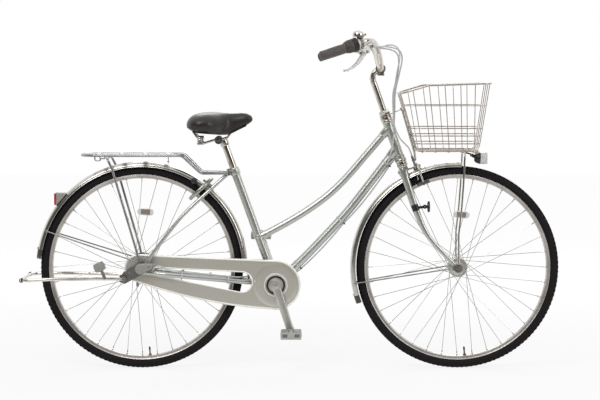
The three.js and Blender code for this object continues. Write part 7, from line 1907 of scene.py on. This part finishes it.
def basket():
    """Welded wire basket: a thick rim, level hoops, and wires round from side to side."""
    wires = [hoop(889, 1.6, 1.6), hoop(814, 2, 1.6), hoop(789, 2, 1.6), hoop(763, 2, 1.6),
        hoop(738, 2.3, 2)]
    for top_x, low_x in ((905, 941), (958, 984), (1010, 1028), (1062, 1070), (1110, 1110)):
        top_z = rim_height(top_x)
        half = basket_half(top_z)
        wires.append(tube(rounded([at(top_x, half, top_z), at(low_x, 141, FLOOR_Z),
            at(low_x, -141, FLOOR_Z), at(top_x, -half, top_z)], 26, 6), 1.5, 10))
    for y in (-87, -29, 29, 87):
        top = 1.22
        wires.append(tube(rounded([at(RIM_REAR, y * top, REAR_RIM_Z), at(BASKET_REAR, y, FLOOR_Z + 2.6),
            at(BASKET_FRONT, y, FLOOR_Z + 2.6), at(RIM_FRONT, y * top, FRONT_RIM_Z)], 30, 7), 1.4, 10))
    half_low, half_bend, half_high = (basket_half(z) for z in (REAR_RIM_Z, RIM_BEND_Z, FRONT_RIM_Z))
    left = [at(RIM_FRONT, 0, FRONT_RIM_Z), at(RIM_FRONT, half_high, FRONT_RIM_Z),
        at(RIM_BEND, half_bend, RIM_BEND_Z), at(RIM_REAR, half_low, REAR_RIM_Z),
        at(RIM_REAR, 0, REAR_RIM_Z)]
    rim_path = rounded(left[1:] + opposite(left[1:-1]) + [left[0]], 34, 7, closed=True)
    rim_wire = tube(rim_path, 3, 12, closed=True)
    make("basket", "steering", [(WIRE_STEEL, [rim_wire, *wires])], crease=40)


def basket_hold():
    """Bracket from the headset groove to the basket, and the two stays from the axle."""
    ring_foot = steer(561.7)
    washer = turned(hollow(16.3, 20.5, 0, 3.8), ring_foot, STEER_UP, 40, True)
    hold_z = 875.5
    end = at(basket_rear(hold_z) - 5.5, 0, hold_z)
    start = ring_foot + STEER_AHEAD * 17.5 + at(0, 0, 2)
    run = (end - start).normalized()
    strap = lofted([oval(p, LEFT, run.cross(LEFT), 9.6, 1.7, 20, 6) for p in (start, end)])
    ribs = [lofted([oval(p + run.cross(LEFT) * 1.6, LEFT, run.cross(LEFT), 3, 1, 12, 2)
        for p in (mix(start, end, 0.12), mix(start, end, 0.88))])]
    cross = rod(end - LEFT * 45, end + LEFT * 45, 3.6, 16)
    knobs = [ball(end + LEFT * side * 45, 3.6, 8) for side in (-1, 1)]
    legs = []
    for side in (-1, 1):
        path = [at(end.x, side * 22.5, hold_z), at(BASKET_REAR - 5.5, side * 22.5, FLOOR_Z),
            at(BASKET_REAR - 1.9, side * 9, FLOOR_Z - 26)]
        legs.append(tube(rounded(path, 16, 5), 3.4, 14))
    foot = tube(rounded([at(BASKET_REAR - 1.9, -9, FLOOR_Z - 25), at(BASKET_REAR - 1.9, 0, FLOOR_Z - 31),
        at(BASKET_REAR - 1.9, 9, FLOOR_Z - 25)], 6, 5), 3.4, 14)
    bolts = [hexagon(end + at(-3, side * 14, 0), at(-1), 9, 4) for side in (-1, 1)]
    plates = [block(at(basket_rear(z) + 3.4, 0, z), (2.4, 62, 13), pitched(-16.6), 0.8)
        for z in (hold_z, 790)]
    make("basket_bracket", "steering",
        [(STAINLESS, [washer, strap, *ribs, cross, *knobs, *legs, foot, *plates]), (ZINC, bolts)],
        crease=40)
    stay_y, top_z = 63.5, 732.9
    left = [at(WHEELBASE, stay_y, 356)]
    for ahead, rise in ((0, 0.29), (0.5, 0.53), (0.75, 0.71), (1, 1)):
        left.append(at(WHEELBASE + 20 * ahead, mix(stay_y, 62, rise), mix(AXLE_Z, top_z, rise)))
    path = rounded(left + opposite(left), 22, 6)
    eyes = [cross_turned(hollow(11.6, 15.6, side * 57.9, side * 60.9), WHEELBASE, AXLE_Z, 36, True)
        for side in (-1, 1)]
    flats = [lofted([oval(at(WHEELBASE, side * y, z), at(1), LEFT, wide, tall, 18, 2.4)
        for y, z, wide, tall in ((59.4, 354.6, 6, 1.5), (60.6, 366, 4.6, 1.8), (63.4, 380, 3.2, 3.2))])
        for side in (-1, 1)]
    clips = [block(at(WHEELBASE + 20, side * 34, top_z + 1.8), (9, 9, 9), None, 1.6) for side in (-1, 1)]
    screws = [domed(at(WHEELBASE + 20, side * 34, top_z - 2.4), at(0, 0, -1), 4, 3) for side in (-1, 1)]
    make("basket_stays", "steering", [(STAINLESS, [tube(path, 3.2, 16), *eyes, *flats]),
        (ZINC, clips + screws)], crease=40)


def headlamp():
    """Lamp under the basket: dark housing with a switch lid, a clear hood and a ribbed lens."""
    start = at(1118, -44, 712)
    housing = turned([(0, 0), (9, 0), (12, 1.6), (15, 6), (17.6, 11), (19.4, 17), (19.4, 19.5), (18, 20.5),
        (0, 20.5)], start, at(1), 44)
    hood = turned([(16, 20), (19, 20), (20, 21), (20, 38.6), (19.2, 40), (16.4, 40), (17.4, 36),
        (17.4, 22)], start, at(1), 48, True)
    lid = [block(start + at(13, 0, 15.4), (23, 17, 8), pitched(12), 2.6),
        block(start + at(8, 0, 20), (9, 10, 3), pitched(14), 1)]
    mirror = turned([(3, 22), (9, 24), (14, 29), (16.4, 36), (16.4, 37.2), (13, 30.4), (8, 25.4),
        (3, 23.4)], start, at(1), 36, True)
    lamp = ball(start + at(27, 0, 0), 3, 10, 1.4)
    arm = [block(at(1101, -44, 727), (27, 9, 5), pitched(16), 1.2),
        block(at(1090.6, -44, 731.4), (9, 13, 10), None, 1.6), block(at(1114, -44, 720), (12, 11, 11),
        pitched(30), 2)]
    bolts = [hexagon(at(1107, -49, 722), at(0, -1, 0), 8, 4), domed(at(1091, -50.4, 731), at(0, -1, 0), 4,
        2.4), hexagon(at(1091, -37.6, 731), LEFT, 7, 3.4)]
    make("headlamp", "steering", [(BLACK_PLASTIC, [housing, *arm]), (LAMP_GREY, lid),
        (LAMP_CLEAR, [hood]), (CHROME, [mirror]), (CLEAR, [lamp]), (ZINC, bolts)], crease=36)
    front = turned([(0, 40.5), (18.4, 40.3), (20, 40.3), (20, 42), (19, 43.6), (12, 44.1), (0, 44.3)],
        start, at(1), 48)
    make("headlamp_lens", "steering", [(LAMP_CLEAR, [front])], crease=30)


# Front brake

def brake_spot(y, u, ahead):
    """A place by its side, its height up the steering axis and its distance ahead of it."""
    return steer(u, ahead, y)


def calliper(side, ahead, tail):
    """One arm, from its tail over the pivot and round the tyre to its shoe."""
    middle = ahead + 3.5
    spots = [(-22, 367 + tail, 4.6), (-21, 380 if tail > 12 else 374, 5), (-12, 372, 6), (0, 369, 8.6),
        (14, 372.5, 7), (25.5, 370, 6.2), (32, 359, 5.8), (33.6, 342, 5.4), (33.4, 322, 5.4), (33, 310, 6),
        (33, 301, 5.6)]
    line = smooth_path([Vector((y * side, u, half, 0)) for y, u, half in spots], 5)
    rings = []
    for i, (y, u, half, _) in enumerate(line):
        before, after = line[max(i - 1, 0)], line[min(i + 1, len(line) - 1)]
        run = (brake_spot(after[0], after[1], middle) - brake_spot(before[0], before[1],
            middle)).normalized()
        rings.append(oval(brake_spot(y, u, middle), run.cross(STEER_AHEAD).normalized(), STEER_AHEAD, half,
            3.4, 20, 3))
    boss = turned(hollow(3.4, 9.4, ahead - 0.1, ahead + 7.1), steer(367), STEER_AHEAD, 30, True)
    shoe = brake_spot(0, 306.8, middle)
    rubber = block(shoe + LEFT * (side * 20.4), (42, 8.4, 9.6), STEER_TURN, 1.6)
    holder = block(shoe + LEFT * (side * 26), (39, 4.4, 8.4), STEER_TURN, 1.4)
    post = turned(solid(3, 26, 38), shoe, LEFT * side, 16)
    nut = [hexagon(shoe + LEFT * (side * 36.4), LEFT * side, 10, 5),
        turned([(0, 41.2), (2.8, 41.2), (2.4, 42.6), (0, 42.6)], shoe, LEFT * side, 14)]
    return [lofted(rings), boss], [holder, post, *nut], [rubber]


def brake():
    barrel_foot = steer(0, 39.5, -27)
    barrel = turned([(0, 374), (3.4, 374), (3.4, 388), (5, 388.6), (5, 394), (4, 395), (4, 398), (0, 398)],
        barrel_foot, STEER_UP, 20)
    boot = turned([(0, 397.6), (4.6, 397.6), (4.4, 402), (3, 408), (0, 408)], barrel_foot, STEER_UP, 18)
    anchor = hexagon(brake_spot(-27, 366, 50), STEER_AHEAD, 9, 5)
    wire = rod(brake_spot(-27, 376, 40), brake_spot(-27, 352, 42.6), 0.9, 8)
    for name, side, ahead, tail, fittings in (("left_calliper", 1, 36, 24, [barrel, wire, boot]),
            ("right_calliper", -1, 43.6, 11, [anchor])):
        arm, shoe_post, rubber = calliper(side, ahead, tail)
        make(name + "_arm", name, [(FORGED, arm), (ZINC, shoe_post + fittings),
            (BLACK_RUBBER, rubber)], crease=40)
    half = smooth_path([brake_spot(0, 352, 33), brake_spot(12, 356, 33), brake_spot(22, 352, 33),
        brake_spot(29, 338, 34), brake_spot(31, 322, 34)], 6)
    seat = block(brake_spot(0, 358, 33), (5, 26, 12), STEER_TURN, 1.6)
    cap = turned([(0, 0), (7, 0), (6.4, 2), (0, 2.4)], steer(367, 50.8), STEER_AHEAD, 28)
    make("brake_spring", "steering",
        [(STAINLESS, [tube(opposite(half[1:]) + half, 1.1, 8), seat, cap])], ())


# Cables

SHIFT_ROUTE = [(-0.27, -0.89, 0.98), (0.11, -0.73, 0.97), (0.39, -0.55, 0.92), (0.47, -0.42, 0.82),
    (0.39, -0.31, 0.63), (0.26, -0.23, 0.37), (0.25, -0.18, 0.17), (0.23, -0.15, -0.08),
    (0.19, -0.13, -0.34), (0.03, -0.1, -0.59)]
REAR_BRAKE_ROUTE = [(-0.19, 0.75, 0.99), (0.17, 0.5, 1.02), (0.4, 0.31, 0.97), (0.45, 0.21, 0.85),
    (0.35, 0.16, 0.63), (0.26, 0.15, 0.37), (0.24, 0.14, 0.17), (0.22, 0.14, -0.08), (0.19, 0.13, -0.34),
    (0.03, 0.1, -0.59)]
FRONT_BRAKE_ROUTE = [(-0.27, -0.85, 0.96), (0.07, -0.69, 0.94), (0.29, -0.52, 0.89), (0.36, -0.4, 0.79),
    (0.33, -0.28, 0.61), (0.19, -0.26, 0.37), (0.19, -0.22, 0.17), (0.25, -0.19, -0.08),
    (0.45, -0.17, -0.25), (0.71, -0.15, -0.36)]
DOWN_LINE = smooth_path(DOWN_PATH, 24)


def routed(shares):
    """Places of a cable loop, by shares of 100, 200 and 250 mm from the head tube's top."""
    return [at(HEAD_TOP.x + 100 * ahead, 200 * side, HEAD_TOP.z + 250 * above)
        for ahead, side, above in shares]


def bar_point(x, y, z, distance, side):
    place = bar_spot(distance) + BAR_OUT * x + BAR_UP.cross(BAR_OUT) * y + BAR_UP * z
    return at(place.x, place.y * side, place.z)


def down_line(share):
    """A place on the down tube's middle line and the direction there."""
    total = sum((b - a).length for a, b in zip(DOWN_LINE, DOWN_LINE[1:]))
    left = total * share
    for a, b in zip(DOWN_LINE, DOWN_LINE[1:]):
        if left <= (b - a).length:
            return a + (b - a).normalized() * left, (b - a).normalized()
        left -= (b - a).length
    return DOWN_LINE[-1], (DOWN_LINE[-1] - DOWN_LINE[-2]).normalized()


def under_down_tube(share, side, bow=0.0):
    place, run = down_line(share)
    place = place + at(run.z, 0, -run.x) * (17.4 + bow)
    return at(place.x, side, place.z)


def handlebar_cables():
    shift = [bar_point(-50, 16, -15, 88, -1), *routed(SHIFT_ROUTE), under_down_tube(0.965, -2.6),
        under_down_tube(0.93, -2.6)]
    rear = [bar_point(-41, 0, -22, BRACKET_SPOT, 1), *routed(REAR_BRAKE_ROUTE), under_down_tube(0.965, 2.6),
        under_down_tube(0.93, 2.6)]
    front = [bar_point(-41, 0, -22, BRACKET_SPOT, -1), *routed(FRONT_BRAKE_ROUTE)]
    foot = steer(403.8, 39.5, -27)
    front += [foot + STEER_UP * 22, foot + STEER_UP * 2]
    loops = mesh_object("handlebar_cables", [(tube(smooth_path(p, 9), CABLE_RADIUS, 12), 0)
        for p in (shift, rear)], [CABLE])
    finish_mesh(loops, 50)
    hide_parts("handlebar_cables")
    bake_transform(loops)
    make("front_brake_cable", "steering",
        [(CABLE, [tube(smooth_path(front, 9), CABLE_RADIUS, 12)])], crease=50)


def under_clip(place, run):
    """Ring of points of the loop that holds the cables under the down tube."""
    below = at(run.z, 0, -run.x)
    angles = [2 * pi * k / 20 for k in range(20)]
    return [place + below * (16 + 4.4 * cos(a)) + LEFT * (7 * sin(a)) for a in angles]


def frame_cables():
    """Two cables that hang a little between their clips under the down tube, then follow the stays."""
    bands, loops = [], []
    low_z = BRACKET_Z - 22.8
    runs = []
    for side in (-1, 1):
        run = []
        for share in (0.945, 0.9, 0.84, 0.77, 0.7, 0.63, 0.56, 0.5, 0.44, 0.37, 0.3, 0.23, 0.16, 0.1):
            gap = (0.9 - share) / 0.4 % 1
            run.append(under_down_tube(share, side * 2.6, 4 * sin(pi * gap) if share < 0.9 else 0))
        run += [at(BRACKET_X + 20, side * 2.6, BRACKET_Z - 21), at(BRACKET_X + 2, side * 2.6, low_z)]
        runs.append(run)
    right, left = runs
    right += [BRACKET + at(20 * ahead, 20 * out, 20 * up) for ahead, out, up in ((-0.9, -0.35, -1.19),
        (-2.1, -0.55, -0.5), (-3.8, -0.87, 1.2))]
    right += [stay_place(CHAIN_STAY * share, 13.3, -1) for share in (0.72, 0.57, 0.4, 0.22)]
    right += [at(62, -76, 352), at(47, -83, 350.5)]
    left += [at(BRACKET_X - 20, 10, low_z)] + [stay_place(CHAIN_STAY * share, -12.4, 1)
        for share in (0.83, 0.61, 0.42)]
    left += [at(54, 58.2, AXLE_Z - 39), at(8, 58.2, AXLE_Z - 58)]
    shapes = [tube(smooth_path(run, 6), CABLE_RADIUS, 12) for run in (right, left)]
    for share in (0.9, 0.5, 0.16):
        place, run = down_line(share)
        bands.append(turned(hollow(14.5, 15.4, -2.6, 2.6), place, run, 36, True))
        loop = under_clip(place, run)
        loops.append(lofted([[p - run * 1.8 for p in loop], [p + run * 1.8 for p in loop]]))
        loops.append(block(place + at(run.z, 0, -run.x) * 21 + LEFT * -5, (5, 4, 3), None, 0.8))
    for share, side in ((0.64, -1), (0.3, -1), (0.72, 1), (0.5, 1)):
        x = CHAIN_STAY * share
        start = stay_place(x, 0, side)
        bands.append(turned(hollow(9.2, 14, -2.6, 2.6), start - UP * (1.6 * side),
            stay_place(x + 8, 0, side) - start, 28, True))
    stop = turned([(0, -3), (3.8, -3), (4.2, -2), (4.2, 3), (3, 4), (3, 6), (0, 6)], left[-1],
        left[-1] - left[-2], 18)
    wire = rod(left[-1], at(-14, 56, AXLE_Z - 64.6), 0.9, 8)
    make("frame_cables", "frame", [(CABLE, shapes + bands), (BLACK_PLASTIC, loops),
        (ZINC, [stop, wire])], crease=44)


basket()
basket_hold()
headlamp()
brake()
handlebar_cables()
frame_cables()


# Camera, lights and backdrop

WHITE = (1, 1, 1, 1)
DARK_SIDE = (0.075, 0.062, 0.052, 1)
WORLD_LEVEL = 0.5
FLOOR_NEAR = (0.2, 0.18, 0.16, 1)
FLOOR_GLOW = 0.84
FLOOR_WHITE = 0.98


def camera():
    """The photograph's view: from the right, a little above the basket."""
    lens = bpy.data.cameras.new("Camera")
    lens.sensor_width = 36
    lens.lens = CAMERA_DISTANCE / FRAME_WIDTH * lens.sensor_width
    lens.clip_end = 100
    view = bpy.data.objects.new("Camera", lens)
    SCENE.collection.objects.link(view)
    rise = CAMERA_HEIGHT - AIM.z
    place = spot(AIM + at(0, -sqrt(CAMERA_DISTANCE ** 2 - rise ** 2), rise))
    view.location = place
    view.rotation_mode = "QUATERNION"
    view.rotation_quaternion = (spot(AIM) - place).to_track_quat("-Z", "Y")
    SCENE.camera = view


def ray_mask(tree, *kinds):
    """1 for rays of any of these kinds, else 0."""
    path = tree.nodes.new("ShaderNodeLightPath")
    mask = path.outputs[kinds[0]]
    for kind in kinds[1:]:
        mask = math_node(tree, "MAXIMUM", mask, path.outputs[kind]).outputs[0]
    return mask


def eased(tree, source, low, high):
    return add_node(tree, "ShaderNodeMapRange", [("Value", source), ("From Min", low), ("From Max", high)],
        interpolation_type="SMOOTHSTEP").outputs[0]


def studio_light():
    """White to the eye and through glass; reflections find a white room that is dark behind the camera."""
    world = bpy.data.worlds.new("Studio")
    SCENE.world = world
    world.use_nodes = True
    tree = world.node_tree
    tree.nodes.clear()
    place = add_node(tree, "ShaderNodeTexCoord").outputs["Generated"]
    parts = add_node(tree, "ShaderNodeSeparateXYZ", [("Vector", place)])
    backdrop = eased(tree, parts.outputs["Y"], -0.25, 0.3)
    ceiling = eased(tree, parts.outputs["Z"], 0.3, 0.85)
    bright = math_node(tree, "MAXIMUM", backdrop, ceiling).outputs[0]
    room = colour_between(tree, bright, DARK_SIDE, WHITE)
    shown = colour_between(tree, ray_mask(tree, "Is Glossy Ray"), WHITE, room)
    level = add_node(tree, "ShaderNodeMapRange", [("Value", parts.outputs["Z"]), ("From Min", -0.2),
        ("From Max", 1.0), ("To Min", WORLD_LEVEL * 0.75), ("To Max", WORLD_LEVEL * 1.35)])
    plain = add_node(tree, "ShaderNodeBackground", [("Color", WHITE), ("Strength", level.outputs[0])])
    white = add_node(tree, "ShaderNodeBackground", [("Color", shown), ("Strength", 1.0)])
    mask = ray_mask(tree, "Is Camera Ray", "Is Transmission Ray", "Is Glossy Ray")
    mixed = add_node(tree, "ShaderNodeMixShader", [(0, mask), (1, plain.outputs[0]), (2, white.outputs[0])])
    add_node(tree, "ShaderNodeOutputWorld", [("Surface", mixed.outputs[0])])


def softbox(name, place, aim, size, power):
    lamp = bpy.data.lights.new(name, "AREA")
    lamp.shape = "RECTANGLE"
    lamp.size, lamp.size_y = size
    lamp.energy = power
    lamp_object = bpy.data.objects.new(name, lamp)
    SCENE.collection.objects.link(lamp_object)
    lamp_object.location = place
    lamp_object.rotation_mode = "QUATERNION"
    lamp_object.rotation_quaternion = (Vector(aim) - Vector(place)).to_track_quat("-Z", "Y")


def floor():
    """Pale floor that keeps the bicycle's shadow."""
    mesh = bpy.data.meshes.new("floor")
    reach = 14
    mesh.from_pydata([(-reach, -reach, 0), (reach, -reach, 0), (reach, reach, 0), (-reach, reach, 0)], [],
        [(0, 1, 2, 3)])
    ground = bpy.data.objects.new("floor", mesh)
    SCENE.collection.objects.link(ground)
    material = bpy.data.materials.new("pale_floor")
    material.use_nodes = True
    tree = material.node_tree
    tree.nodes.clear()
    plain = add_node(tree, "ShaderNodeBsdfDiffuse", [("Color", (0.86, 0.86, 0.86, 1))])
    place = add_node(tree, "ShaderNodeTexCoord").outputs["Object"]
    parts = add_node(tree, "ShaderNodeSeparateXYZ", [("Vector", place)])
    near = eased(tree, parts.outputs["Y"], -2.8, -0.1)
    shown = colour_between(tree, near, FLOOR_NEAR, WHITE)
    seen = colour_between(tree, ray_mask(tree, "Is Glossy Ray"), WHITE, shown)
    away = add_node(tree, "ShaderNodeVectorMath", [(0, place)], operation="LENGTH")
    level = add_node(tree, "ShaderNodeMapRange", [("Value", away.outputs["Value"]), ("From Min", 1.0),
        ("From Max", 3.6), ("To Min", FLOOR_WHITE), ("To Max", FLOOR_WHITE + 0.09)])
    glow = add_node(tree, "ShaderNodeEmission", [("Color", seen), ("Strength", level.outputs[0])])
    mask = ray_mask(tree, "Is Camera Ray", "Is Transmission Ray", "Is Glossy Ray")
    eye = math_node(tree, "MULTIPLY", mask, FLOOR_GLOW)
    mixed = add_node(tree, "ShaderNodeMixShader", [(0, eye.outputs[0]), (1, plain.outputs[0]),
        (2, glow.outputs[0])])
    add_node(tree, "ShaderNodeOutputMaterial", [("Surface", mixed.outputs[0])])
    mesh.materials.append(material)


camera()
studio_light()
floor()
softbox("key", (-1.6, -3.4, 3.6), (0, 0, 0.5), (2.6, 2.0), 85)
softbox("side", (3.4, -2.2, 2.2), (0, 0, 0.5), (1.6, 2.4), 40)
softbox("back", (0.4, 3.4, 3.0), (0, 0, 0.6), (3.0, 1.6), 45)
SCENE.view_settings.view_transform = "Standard"
